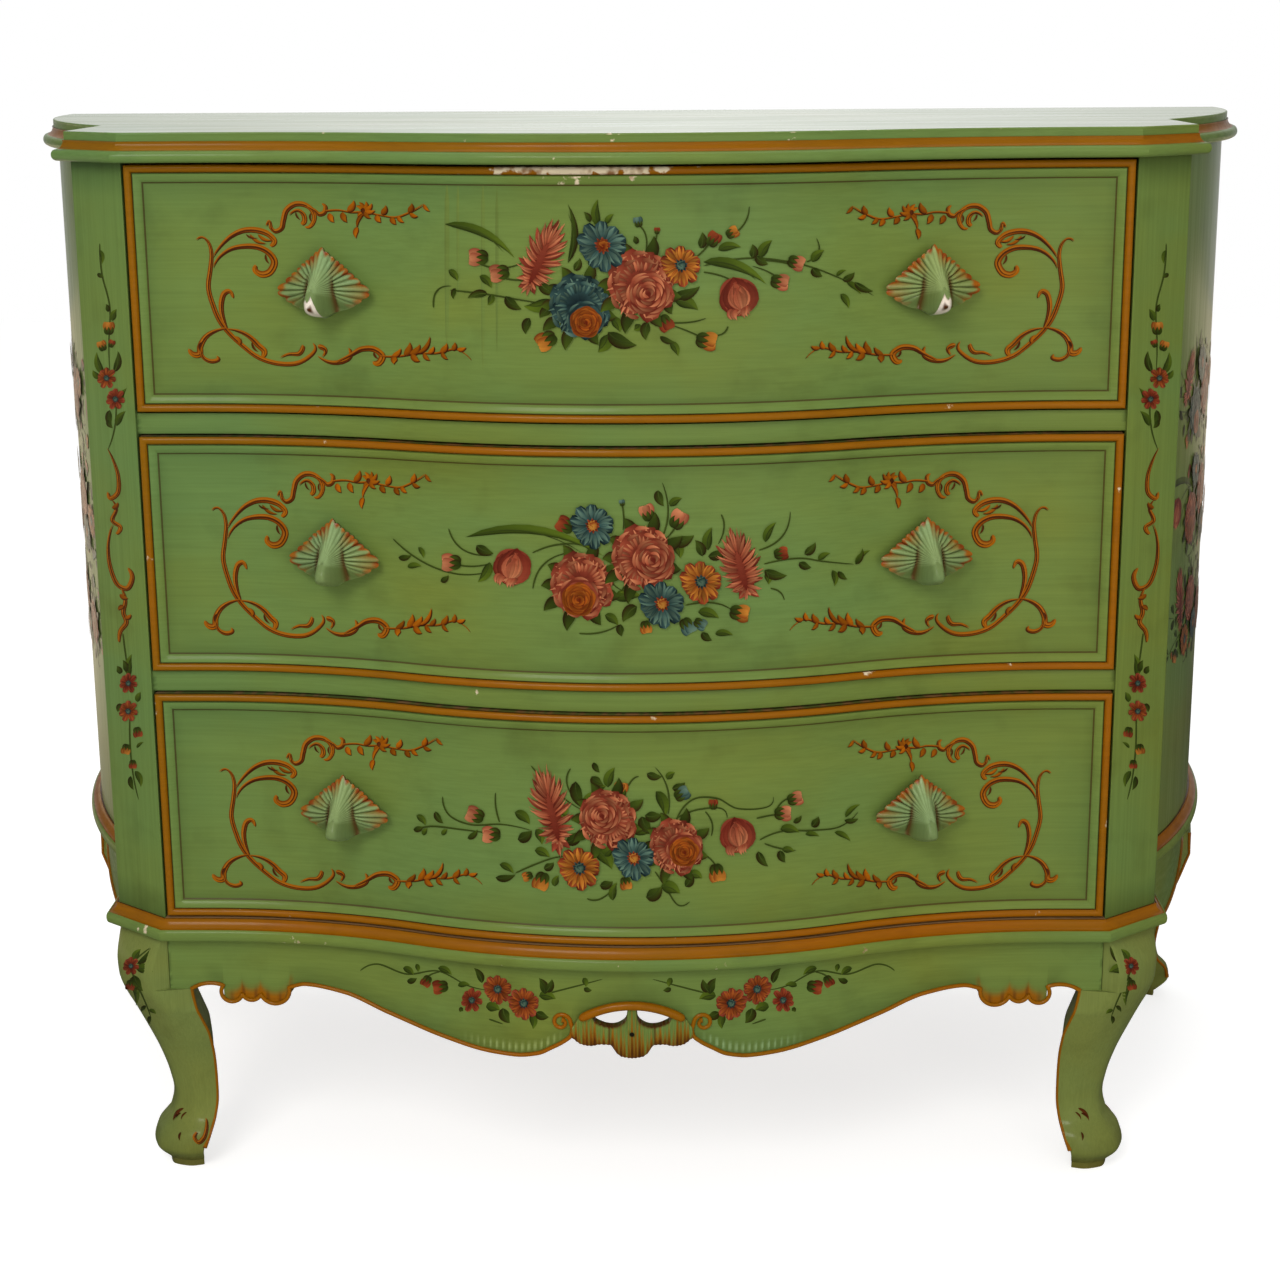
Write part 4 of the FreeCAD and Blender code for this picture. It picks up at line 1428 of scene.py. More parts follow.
@dataclass
class CabrioleLeg:
    """Cabriole leg: block, swelling knee, slim ankle and a toe turned outwards on a small pad."""

    width: float = 0.060
    setback: float = 0.003
    lean_share: float = 0.16
    rear_shift: float = 0.006
    rear_inset: float = 0.007
    joint: float = 0.0002
    rows: int = 110
    block_rows: int = 16
    line_rows: int = 90
    bead: float = 0.0013
    swell: float = 0.0035
    swell_fade_share: float = 0.25
    shoulder_share: float = 0.789
    # Height share, then shares of the width from the corner of the case, the same across and to the front:
    # inner corner, outer face, outer corner's cut, and how deep the cut's middle lies in it
    section_shares: tuple[tuple[float, ...], ...] = (
        (0.0, -1.01, -0.52, 0.12, 0.35),
        (0.024, -1.01, -0.52, 0.12, 0.35),
        (0.032, -1.02, -0.48, 0.16, 0.34),
        (0.092, -1.065, -0.3, 0.34, 0.3),
        (0.147, -1.146, -0.35, 0.36, 0.3),
        (0.206, -1.2, -0.52, 0.28, 0.3),
        (0.275, -1.235, -0.57, 0.25, 0.3),
        (0.358, -1.247, -0.53, 0.26, 0.32),
        (0.477, -1.257, -0.41, 0.32, 0.35),
        (0.573, -1.243, -0.253, 0.46, 0.37),
        (0.663, -1.17, -0.105, 0.56, 0.4),
        (0.726, -1.11, -0.005, 0.6, 0.42),
        (0.789, -1.078, 0.055, 0.6, 0.43),
        (0.86, -1.078, 0.07, 0.6, 0.44),
        (0.95, -1.078, 0.035, 0.66, 0.46),
        (1.0, -1.078, 0.0, 0.72, 0.48))
    # How much of each corner is rounded: inner front, face, front, outer, side, its face, inner side, back
    round_shares: tuple[float, ...] = (0.2, 1.0, 0.8, 1.0, 0.8, 1.0, 0.2, 0.5)
    corner_steps: int = 9
    # Corners that the ochre lines follow
    lined_corners: tuple[int, int] = (0, 6)
    # Heights of the pad's rows, of the rubbed toe and of the dark foot
    pad_shares: tuple[float, float, float] = (0.0, 0.012, 0.024)
    toe_share: float = 0.1
    toe_spread_share: float = 0.05
    foot_shares: tuple[float, float] = (0.06, 0.01)
    # Thickness of the ochre line at heights of the leg
    line_heights: tuple[float, ...] = (0.1, 0.14, 0.7, 0.79)
    line_shares: tuple[float, ...] = (1.6, 1.0, 1.0, 1.3)

    def corner(self, front: bool) -> tuple[Array, float]:
        """Corner of the case over a right leg.

        Args:
            front: a front leg, or else a rear one.

        Returns:
            Its plan place, and which way along Y the leg faces.
        """
        if front:
            return np.array([plan.corner_x, plan.line_y]), -1.0
        return np.array([plan.back_half + self.rear_shift, plan.back_y - self.rear_inset]), 1.0

    def corners(self, level: Array) -> Array:
        """Eight corners of the section, from the eased table of shares.

        Args:
            level: height shares.

        Returns:
            Distances across and forwards, heights by corners by two.
        """
        table = np.array(self.section_shares)
        inner, outer, cut, depth = np.moveaxis(eased_curve(table[:, 0], table[:, 1:], level), -1, 0)
        inner, outer, cut = inner * self.width, outer * self.width, cut * self.width
        flush = np.minimum(outer, -self.setback)
        middle = outer - cut * depth
        back = inner + self.lean_share * self.width
        swell = self.swell * fade(level, self.shoulder_share, self.shoulder_share - self.swell_fade_share)
        face = ((inner + outer - cut) / 2, (flush + outer) / 2 + swell)
        places = [(inner, flush), face, (outer - cut, outer), (middle, middle), (outer, outer - cut),
                  face[::-1], (flush, inner), (back, back)]
        return np.stack([np.stack(place, -1) for place in places], -2)

    def rounded(self, corners: Array) -> Array:
        """Section with each corner bent into a short curve between points on its two sides.

        Args:
            corners: levels by eight corners by two.

        Returns:
            Levels by points by two.
        """
        share = np.array(self.round_shares)[:, None] / 2
        before = (np.roll(corners, 1, -2) - corners) * share
        after = (np.roll(corners, -1, -2) - corners) * share
        return eased_corners(corners, before, after, self.corner_steps)

    def placed(self, flat: Array, level: Array, front: bool) -> Array:
        """Points of a right leg, from places in its section and shares of its height."""
        corner, facing = self.corner(front)
        return extended(corner + flat * np.array([1.0, facing]), level * heights.leg)

    def shaft(self, front: bool) -> tuple[Array, Array]:
        """The leg up to its shoulder, and its paint: rubbed at the toe, dark at the floor.

        Args:
            front: a front leg, or else a rear one.

        Returns:
            Grid of points, heights by turns, and its paint.
        """
        level = np.concatenate([self.pad_shares[:2],
                                np.linspace(self.pad_shares[2], self.shoulder_share, self.rows)])
        flat = self.rounded(self.corners(level))
        points = self.placed(flat, level[:, None], front)
        outward = flat.sum(-1) - flat.sum(-1).min(1, keepdims=True)
        outer = fade(outward, 0.0, 2.0 * self.width)
        toe = bell(level, self.toe_share, self.toe_spread_share)[:, None] * outer
        foot = np.broadcast_to(fade(level, *self.foot_shares)[:, None], toe.shape)
        # The legs' olive is partly their own paint and partly painted light
        paint = blend_colours(Tone.LIT_OLIVE, Tone.SHADED_GREEN, 0.6 * toe)
        paint = blend_colours(paint, Tone.UMBER, 0.45 * foot + 0.25 * toe)
        return points, extended(paint, 0.14 + 0.2 * toe + 0.1 * foot)

    def block(self, front: bool) -> Array:
        """Swelling block between the aprons: the leg's own section, cut back to the joints.

        Args:
            front: a front leg, or else a rear one.

        Returns:
            Grid of points, heights by turns.
        """
        level = np.linspace(self.shoulder_share, 1.0, self.block_rows)
        inner = self.joint - plan.post_width
        corners = self.corners(level)
        corners[:, [0, 6, 7]] = [(inner, -self.setback), (-self.setback, inner), (inner, inner)]
        corners[:, [1, 5]] = (corners[:, [0, 4]] + corners[:, [2, 6]]) / 2
        return self.placed(self.rounded(corners), level[:, None], front)

    def gilt_edge(self, front: bool, corner: int) -> Array:
        """Round ochre line down an inner corner of the leg, swelling at both ends.

        Args:
            front: a front leg, or else a rear one.
            corner: which corner of the section it follows.

        Returns:
            Tube as a grid, length by turns.
        """
        level = np.linspace(self.shoulder_share, self.line_heights[0], self.line_rows)
        ring = self.rounded(self.corners(level))
        middle = corner * self.corner_steps + self.corner_steps // 2
        path = self.placed(ring[:, middle], level, front)
        return tube(path, self.bead * np.interp(level, self.line_heights, self.line_shares))

    def build(self, finishes: Finishes) -> None:
        """Builds four legs with their ochre lines.

        Args:
            finishes: shared materials.
        """
        for front, place in ((True, "front"), (False, "rear")):
            points, paint = self.shaft(front)
            block = self.block(front)
            shoulder = paint[-1, 0]
            for name, side in SIDES.items():
                skin = Skin()
                skin.rod(mirrored(points, side), paint, paint[0, 0], shoulder)
                skin.rod(mirrored(block, side), shoulder, shoulder, shoulder)
                for corner in self.lined_corners:
                    line = mirrored(self.gilt_edge(front, corner), side)
                    skin.rod(line, Tone.OCHRE.worn(0.24), Tone.OCHRE, Tone.UMBER)
                skin.build("%s_%s_cabriole" % (name, place), finishes.carved, "carcass", "green_paint",
                           ["%s_%s_leg" % (name, place)], sharp=50.0)


@dataclass
class FrontApron:
    """Scalloped apron: carved ears by the legs, low scallops, and volutes beside the pierced shell."""

    depth: float = 0.079
    setback: float = 0.003
    thickness: float = 0.020
    bead: float = 0.0017
    bead_proud: float = 0.0006
    # Thickness of the bead at its start, at the volute, before its eye and in it
    bead_shares: tuple[float, ...] = (1.0, 1.0, 0.9, 1.7)
    volute: float = 0.0075
    volute_turns: float = 1.2
    volute_shrink_share: float = 0.7
    volute_power: float = 1.1
    volute_steps: int = 60
    eye_steps: int = 8
    ear_middle: float = 0.307
    ear_half: float = 0.030
    ear_height: float = 0.012
    # Lines of painted shade between an ear's carved lobes, for each half width of the ear
    ear_shade_lines: float = 3.0
    leg_fade: float = 0.018
    shade_height: float = 0.02
    least_light: float = 0.3
    # Spacing of the painted highlight ticks that stand for carved notches
    tick: float = 0.0052
    # Painted highlight ticks: heights over the edge where they start, are full, fade and end, and the same
    # for places across
    tick_heights: tuple[float, ...] = (0.002, 0.004, 0.008, 0.011)
    tick_places: tuple[float, ...] = (0.055, 0.065, 0.11, 0.14)
    wear: float = 0.12
    straight_steps: int = 8
    arc_steps: int = 24
    wave_steps: int = 200
    arch_steps: int = 60
    # Right half of the lower edge, from the leg to the shell: shares of the half width and of the depth
    end_shares: tuple[Spot, ...] = ((1.0, 0.5822), (0.955, 0.5822), (0.914, 0.515), (0.885, 0.54))
    lobe_shares: tuple[tuple[float, float, float, float], ...] = (
        (0.868, 0.72, 0.845, 0.63), (0.825, 0.7, 0.805, 0.63), (0.773, 0.73, 0.742, 0.54))
    wave_shares: tuple[Spot, ...] = (
        (0.742, 0.54), (0.705, 0.495), (0.62, 0.55), (0.525, 0.715), (0.4, 0.89), (0.3, 0.985), (0.245, 1.0),
        (0.2, 0.967), (0.168, 0.89), (0.142, 0.815), (0.1275, 0.745), (0.1255, 0.68), (0.129, 0.615))

    def scallops(self) -> Array:
        """Lower edge on the right: straight over the leg, an arch, three lobes and a long wave.

        Lobes are arcs through three points; the wave is eased along its own length.

        Returns:
            Rows of x and z from the joint with the leg to the volute.
        """
        size = np.array([plan.front_half, self.depth])
        ends = np.array(self.end_shares) * size
        parts = [np.linspace(ends[0], ends[1], self.straight_steps)[:-1],
                 arc_through(*ends[1:], self.arc_steps)]
        last = ends[-1]
        for middle, end in np.array(self.lobe_shares).reshape(-1, 2, 2) * size:
            parts.append(arc_through(last, middle, end, self.arc_steps)[1:])
            last = end
        wave = np.array(self.wave_shares) * size
        length = np.concatenate([[0.0], np.cumsum(np.linalg.norm(np.diff(wave, axis=0), axis=1))])
        parts.append(eased_curve(length, wave, np.linspace(0.0, length[-1], self.wave_steps))[1:])
        rows = np.concatenate(parts)
        return np.stack([rows[:, 0], heights.leg - rows[:, 1]], -1)

    def board_edge(self) -> Array:
        """The scallops less what turns back, then the arch behind the shell's bar.

        Returns:
            Rows of x and z.
        """
        least_step = 1e-5
        line = self.scallops()
        least = np.minimum.accumulate(line[:, 0])
        line = line[np.append(True, line[1:, 0] < least[:-1] - least_step)]
        shell = PiercedShell()
        x = np.linspace(line[-1, 0], 0.0, self.arch_steps)[1:]
        foot = (shell.bar_line(np.array(shell.bar_half)), line[-1, 1])
        flank = np.interp(x, (shell.bar_half, line[-1, 0]), foot)
        arch = np.where(x > shell.bar_half, flank, shell.bar_line(x))
        return np.concatenate([line, np.stack([x, arch], -1)])

    def face_paint(self, x: Array, above: Array) -> Array:
        """Green, shaded at the lower edge, with ochre ears, painted shade between their lobes, and painted
        highlights as ticks by the shell.

        Args:
            x: places across.
            above: heights over the lower edge.

        Returns:
            Colours and wear.
        """
        reach = np.abs(x)
        ear_end = self.ear_middle + self.ear_half
        light = np.maximum(fade(reach, ear_end, ear_end + self.leg_fade), fade(above, 0.0, self.shade_height))
        light = self.least_light + (1.0 - self.least_light) * light
        paint = blend_colours(Tone.SHADED_GREEN, Tone.GREEN, light)
        aside = np.abs(reach - self.ear_middle)
        ear = fade(aside, self.ear_half, self.ear_half * 2.0 / 3.0)
        ear = ear * fade(above, self.ear_height, self.ear_height / 2.0)
        paint = blend_colours(paint, Tone.OCHRE, ear)
        # Painted shade in the creases between the ears' lobes
        crease_shade = np.clip(np.cos(2.0 * math.pi * self.ear_shade_lines * reach / self.ear_half) - 0.4, 0.0, 1.0)
        paint = blend_colours(paint, Tone.UMBER, ear * crease_shade)
        # Painted highlights where carved ticks would catch the light
        tick_highlights = np.clip(np.cos(2.0 * math.pi * reach / self.tick), 0.0, 1.0)
        for places, (start, full, late, end) in ((above, self.tick_heights), (reach, self.tick_places)):
            tick_highlights = tick_highlights * fade(places, start, full) * fade(places, end, late)
        return extended(blend_colours(paint, Tone.HIGHLIGHT_GREEN, 0.7 * tick_highlights), self.wear)

    def scroll(self, start: Array) -> Array:
        """Spiral of the volute: a circle whose radius shrinks as it turns over and back into its eye.

        Args:
            start: last point of the edge before it.

        Returns:
            Rows of x and z.
        """
        share = np.linspace(0.0, 1.0, self.volute_steps)
        turn = 2 * math.pi * self.volute_turns * share
        radius = self.volute * (1.0 - self.volute_shrink_share * share ** self.volute_power)
        centre = start + np.array([self.volute, 0.0])
        return centre + np.stack([-np.cos(turn) * radius, np.sin(turn) * radius], -1)

    def build(self, finishes: Finishes) -> None:
        """Builds the board, its ochre bead and the two volutes.

        Args:
            finishes: shared materials.
        """
        edge = self.board_edge()
        down = np.concatenate([np.linspace(0.0, 0.8, 12), np.linspace(0.84, 1.0, 6)])[None]
        z = heights.leg + (edge[:, 1:] - heights.leg) * down
        x = np.broadcast_to(edge[:, :1], z.shape)
        paint = self.face_paint(x, z - edge[:, 1:])
        over_leg = (edge[:, 0] > self.end_shares[1][0] * plan.front_half).astype(float)
        under = blend_colours(Tone.UMBER, Tone.GREEN, over_leg)
        run = self.scallops()[self.straight_steps - 1:]
        line = np.concatenate([run, self.scroll(run[-1])[1:]])
        stations = (0, len(run), len(line) - self.eye_steps, len(line))
        radius = self.bead * np.interp(np.arange(len(line)), stations, self.bead_shares)
        skin, trim = Skin(), Skin()
        for side in SIDES.values():
            front = plan.front_points(side * x, -self.setback, z)
            back = plan.front_points(side * x, -self.setback - self.thickness, z)
            skin.grid(front, paint, flip=side < 0)
            skin.grid(back, Tone.SHADED_GREEN, flip=side > 0)
            skin.grid(np.stack([front[:, -1], back[:, -1]]), under)
            skin.grid(np.stack([front[:, 0], back[:, 0]]), Tone.SHADED_GREEN)
            skin.grid(np.stack([front[0], back[0]]), Tone.SHADED_GREEN)
            path = plan.front_points(side * line[:, 0], self.bead_proud - self.setback, line[:, 1])
            trim.rod(tube(path, radius), Tone.OCHRE.worn(0.2), Tone.OCHRE, Tone.OCHRE)
        skin.build("apron", finishes.across, "carcass", "green_paint", ["front_apron"])
        trim.build("apron_bead", finishes.carved, "carcass", "ochre_trim", sharp=60.0)


@dataclass
class PiercedShell:
    """Pierced shell in the middle of the apron: an arched bar over two eyes and a fluted fall below."""

    half: float = 0.0478
    proud: float = 0.004
    thickness: float = 0.007
    bar: float = 0.0036
    bar_half: float = 0.0413
    bar_drop: float = 0.0319
    bar_rise: float = 0.0121
    bar_power: float = 2.1
    bar_proud: float = 0.0005
    bar_steps: int = 90
    bar_sides: int = 14
    flute_count: float = 30.0
    flute_depth: float = 0.0005
    groove: float = 0.018
    groove_width: float = 0.0012
    # Width of the painted shade in the grooves
    groove_shade_width: float = 0.0008
    peg_drop: float = 0.0553
    peg: float = 0.0019
    peg_depth: float = 0.0012
    peg_steps: int = 24
    wear: float = 0.14
    columns: int = 221
    rows: int = 30
    # Shares across where the painted shade along an eye's rim starts, is full, fades and ends, and that
    # shade's share of the fall
    eye_shares: tuple[float, ...] = (0.06, 0.1, 0.64, 0.68)
    eye_shade_share: float = 0.09
    # Place across, lower and upper edge under the bar: shares of the half width and of the apron's depth
    fall_shares: tuple[tuple[float, float, float], ...] = (
        (0.0, 0.977, 0.42), (0.065, 0.974, 0.43), (0.095, 0.97, 0.56), (0.17, 0.962, 0.61),
        (0.275, 0.911, 0.64), (0.338, 0.85, 0.645), (0.43, 0.834, 0.64), (0.53, 0.832, 0.62),
        (0.61, 0.842, 0.595), (0.67, 0.85, 0.53), (0.72, 0.85, 0.48), (0.85, 0.836, 0.53), (1.0, 0.77, 0.66))

    def bar_line(self, x: Array) -> Array:
        """Height of the arched bar: it falls from its crown with a power of the place across."""
        return heights.leg - self.bar_drop - self.bar_rise * (np.abs(x) / self.bar_half) ** self.bar_power

    def paint(self, x: Array, down: Array, flutes: Array) -> Array:
        """Green that runs into ochre and then umber streaks, with painted shade along the rims of the eyes
        and in the two grooves.

        Args:
            x: places across.
            down: share of the way down.
            flutes: height of the fluting, from -1 to 1.

        Returns:
            Colours and wear.
        """
        place = x / self.half
        streak = 0.5 * flutes + waves(place, (0.35, 41.0, 2.0), (0.3, 17.0, 0.0))
        colour = blend_colours(Tone.GREEN, Tone.OCHRE, 1.6 * down - 0.35 + 0.9 * streak)
        colour = blend_colours(colour, Tone.UMBER, 2.2 * down - 1.45 + 0.8 * streak)
        start, full, late, end = self.eye_shares
        eye = fade(np.abs(place), start, full) * fade(np.abs(place), end, late)
        # Painted shade: darker along the fall's upper edge under each eye, and in the two carved grooves
        dark = fade(down, self.eye_shade_share, 0.0) * eye + bell(np.abs(x), self.groove, self.groove_shade_width)
        return extended(blend_colours(colour, Tone.UMBER, 0.85 * dark), self.wear)

    def fall(self, finishes: Finishes) -> None:
        """Builds the fluted fall, whose upper edge leaves two eyes under the bar.

        It swells as a part of a sine arch from top to bottom. Its flutes are a cosine of the place across.

        Args:
            finishes: shared materials.
        """
        apron = FrontApron()
        table = np.array(self.fall_shares)
        x = np.linspace(-self.half, self.half, self.columns)[:, None]
        edges = eased_curve(table[:, 0], table[:, 1:], np.abs(x) / self.half) * apron.depth
        low, high = edges[..., 0], edges[..., 1]
        down = np.linspace(0.0, 1.0, self.rows)[None]
        z = heights.leg - high - (low - high) * down
        wide = np.broadcast_to(x, z.shape)
        share = wide / self.half
        flutes = np.cos(self.flute_count * math.pi * share + waves(share, (1.5, 7.0, 0.0)))
        swell = self.proud * np.sin(np.pi * (0.18 + 0.64 * down))
        carved = self.flute_depth * (flutes - 2.0 * bell(np.abs(wide), self.groove, self.groove_width))
        front = plan.front_points(wide, swell - apron.setback + carved, z)
        back = plan.front_points(wide, -apron.setback - self.thickness, z)
        skin = Skin()
        skin.grid(front, self.paint(wide, np.broadcast_to(down, z.shape), flutes))
        skin.grid(back, Tone.SHADED_GREEN, flip=True)
        skin.rims(front, back, Tone.UMBER)
        skin.build("shell", finishes.carved, "carcass", "ochre_trim", ["apron_shell"], sharp=60.0)

    def build(self, finishes: Finishes) -> None:
        """Builds the fall, the bar with its rounded ends, and a peg hole painted dark as its shade.

        Args:
            finishes: shared materials.
        """
        self.fall(finishes)
        share = np.linspace(-1.0, 1.0, self.bar_steps)
        x = share * self.bar_half
        line = plan.front_points(x, self.bar_proud, self.bar_line(x))
        bar = tube(line, self.bar * np.sqrt(1.0 - (0.99 * share) ** 24), self.bar_sides)
        trim = Skin()
        trim.rod(bar, Tone.OCHRE.worn(0.18), Tone.OCHRE, Tone.OCHRE)
        turn = np.linspace(0.0, 2 * math.pi, self.peg_steps, endpoint=False)
        peg_z = heights.leg - self.peg_drop + self.peg * np.sin(turn)
        # The peg hole is a flat disc painted near black as its shade
        trim.cap(plan.front_points(self.peg * np.cos(turn), self.proud - self.peg_depth, peg_z), Tone.GAP)
        trim.build("shell_bar", finishes.carved, "carcass", "ochre_trim", sharp=60.0)


@dataclass
class SideApron:
    """Scalloped apron along a return and a bowed side, with an ochre bead on its lower edge."""

    depth: float = 0.073
    setback: float = 0.003
    thickness: float = 0.020
    bead: float = 0.0018
    bead_proud: float = 0.0004
    wear: float = 0.12
    rows: int = 12
    return_steps: int = 30
    # Lower edge from front to back: shares of the case's depth and of the apron's own depth
    edge_shares: tuple[Spot, ...] = (
        (0.1, 0.625), (0.16, 0.625), (0.2, 0.57), (0.25, 0.6), (0.36, 0.84), (0.49, 1.0), (0.62, 0.84),
        (0.73, 0.6), (0.78, 0.57), (0.83, 0.625), (0.9, 0.625))

    def path(self) -> tuple[Array, Array]:
        """Plan path from the front leg to the rear leg, mitred at the re-entrant corner.

        Returns:
            Plan points, and the move that each takes for one metre of offset.
        """
        _, (returned, flat), (arc, bowed) = plan.right_runs()
        points, moves = plan.straight(returned[0], returned[-1], self.return_steps)
        mitre = (flat[-1] + bowed[0]) / (1.0 + flat[-1] @ bowed[0])
        points = np.concatenate([points[:-1], arc])
        moves = np.concatenate([moves[:-1], mitre[None], bowed[1:]])
        start = plan.line_y + plan.post_width
        end = plan.back_y - CabrioleLeg().rear_inset - plan.post_width
        keep = (points[:, 1] > start) & (points[:, 1] < end)
        return points[keep], moves[keep]

    def build(self, finishes: Finishes) -> None:
        """Builds both sides: walls whose depth is eased along the path.

        Args:
            finishes: shared materials.
        """
        points, moves = self.path()
        table = np.array(self.edge_shares)
        drop = eased_curve(table[:, 0], table[:, 1], (points[:, 1] - plan.line_y) / plan.depth) * self.depth
        z = heights.leg - drop[:, None] * np.linspace(0.0, 1.0, self.rows)
        front, back = (extended(np.repeat((points + moves * offset)[:, None], self.rows, 1), z)
                       for offset in (-self.setback, -self.setback - self.thickness))
        line = front[:, -1] + extended(moves, 0.0) * self.bead_proud
        for name, side in SIDES.items():
            skin, trim = Skin(), Skin()
            outer, inner = mirrored(front, side), mirrored(back, side)
            skin.grid(outer, Tone.GREEN.worn(self.wear))
            skin.grid(inner, Tone.SHADED_GREEN, flip=True)
            skin.rims(outer, inner, Tone.SHADED_GREEN)
            skin.build(name + "_side_apron", finishes.across, "carcass", "green_paint", [name + "_apron"])
            trim.rod(tube(mirrored(line, side), self.bead), Tone.OCHRE.worn(0.2), Tone.OCHRE, Tone.OCHRE)
            trim.build(name + "_side_bead", finishes.carved, "carcass", "ochre_trim", sharp=60.0)


@dataclass(frozen=True)
class PhotoCamera:
    """Camera at the photograph's viewing angle, for a square frame."""

    location: tuple[float, float, float] = (0.0471, -1.9819, 0.9259)
    yaw: float = 0.0224
    pitch: float = 0.2511
    roll: float = -0.0070
    focal_px: float = 2353.13
    frame_px: float = 1280.0
    sensor_mm: float = 36.0
    nearest: float = 0.05

    def axes(self) -> Array:
        """Directions of the camera: turned about the upright, tipped, and then rolled.

        Returns:
            Right, up and forward as rows.
        """
        ahead = np.array([-math.sin(self.yaw), math.cos(self.yaw), 0.0])
        right = np.array([math.cos(self.yaw), math.sin(self.yaw), 0.0])
        upright = np.array([0.0, 0.0, 1.0])
        forward = ahead * math.cos(self.pitch) - upright * math.sin(self.pitch)
        up = upright * math.cos(self.pitch) + ahead * math.sin(self.pitch)
        return np.array([right * math.cos(self.roll) + up * math.sin(self.roll),
                         up * math.cos(self.roll) - right * math.sin(self.roll), forward])

    def rays(self, pixels: Array) -> Array:
        """Directions of sight through places in the frame.

        Args:
            pixels: places with a last axis of two.

        Returns:
            Directions with a last axis of three.
        """
        right, up, forward = self.axes()
        moved = (pixels - self.frame_px / 2) / self.focal_px
        return forward + moved[..., :1] * right - moved[..., 1:] * up

    def place(self) -> None:
        """Makes the camera and gives it to the scene."""
        data = bpy.data.cameras.new("camera")
        data.sensor_width = self.sensor_mm
        data.lens = self.focal_px / self.frame_px * self.sensor_mm
        data.clip_start = self.nearest
        camera = bpy.data.objects.new("camera", data)
        right, up, forward = self.axes()
        set_up(camera, (right, up, -forward), self.location)
        bpy.context.scene.camera = camera


def set_up(thing: bpy.types.Object, axes: Sequence[Array], place: Sequence[float]) -> None:
    """Turns and places a camera or a lamp, and adds it to the scene.

    Args:
        thing: the object.
        axes: its right, up and backward directions.
        place: where it stands.
    """
    turn = np.eye(4)
    turn[:3, :3] = np.stack(axes, 1)
    turn[:3, 3] = place
    thing.matrix_world = Matrix(turn.tolist())
    bpy.context.scene.collection.objects.link(thing)


def smooth_path(knots: Sequence[Sequence[float]], steps: int) -> Array:
    """Smooth line through points.

    It is made of cubic stretches over the root of the distances, sloped as parabolas through three points.

    Args:
        knots: rows of two.
        steps: how many points are wanted.

    Returns:
        Rows of two.
    """
    rows = np.asarray(knots, float)
    place = np.concatenate([[0.0], np.cumsum(np.sqrt(np.linalg.norm(np.diff(rows, axis=0), axis=1)))])
    slope = np.gradient(rows, place, axis=0, edge_order=min(2, len(rows) - 1))
    return hermite(place, rows, slope, np.linspace(0.0, place[-1], steps))


class Brush(Enum):
    """Width of a stroke: how far it came, to a power, times how far it has to go, to another."""

    LEAF = (0.7, 1.1)
    PETAL = (0.8, 0.3)
    LINE = (0.15, 0.35)
    SCROLL = (0.5, 0.4)
    CURL = (0.8, 0.3)
    COMMA = (0.25, 1.0)

    def width(self, u: Array) -> Array:
        """Width of a stroke, which is full at its peak.

        Args:
            u: shares of the length.

        Returns:
            Shares of the full width.
        """
        rise, fall = self.value
        peak = rise / (rise + fall)
        return (u / peak) ** rise * ((1.0 - u) / (1.0 - peak)) ** fall


class Hue(Enum):
    """Paint of a stroke: where it starts, where it ends, and on its shaded side, as displayed."""

    STEM = ((60, 74, 24), (54, 66, 22), (36, 42, 14))
    LEAF = ((46, 62, 12), (82, 100, 24), (30, 38, 8))
    DARK_LEAF = ((32, 42, 8), (60, 76, 18), (40, 24, 6))
    PINK = ((118, 46, 28), (174, 112, 76), (126, 60, 40))
    DEEP_PINK = ((86, 24, 14), (132, 60, 40), (90, 30, 18))
    BLUE = ((28, 52, 54), (86, 110, 94), (30, 54, 54))
    DEEP_BLUE = ((10, 22, 28), (46, 70, 68), (14, 28, 32))
    ORANGE = ((116, 56, 10), (172, 112, 40), (112, 48, 12))
    RED = ((80, 22, 10), (136, 62, 30), (86, 26, 12))
    CORE = ((88, 24, 4), (140, 76, 20), (106, 46, 8))
    EYE = ((164, 112, 42), (124, 52, 18), (86, 28, 12))
    TEAL = ((74, 96, 80), (18, 42, 40), (12, 28, 26))
    GILT = ((134, 70, 2), (150, 86, 4), (98, 42, 4))
    SHADOW = ((70, 32, 8), (78, 36, 10), (54, 24, 6))
    GLINT = ((160, 98, 22), (152, 90, 16), (142, 80, 12))
    EMBER = ((136, 70, 14), (120, 54, 10), (104, 40, 8))
    CORAL = ((92, 32, 8), (150, 80, 30), (92, 32, 12))
    DRIP = ((98, 116, 55), (100, 119, 57), (92, 108, 52))

    def colours(self, u: Array, v: Array) -> Array:
        """Colour along and across a stroke: start to end, then shaded towards one side."""
        start, end, shade = (linear_colour(colour) for colour in self.value)
        return blend_colours(blend_colours(start, end, u), shade, fade(v, -0.1, 0.9) ** 1.5)

    def under(self) -> "Hue":
        """Darker paint that lies under petals of this one."""
        return {Hue.BLUE: Hue.DEEP_BLUE, Hue.ORANGE: Hue.RED}.get(self, Hue.DEEP_PINK)


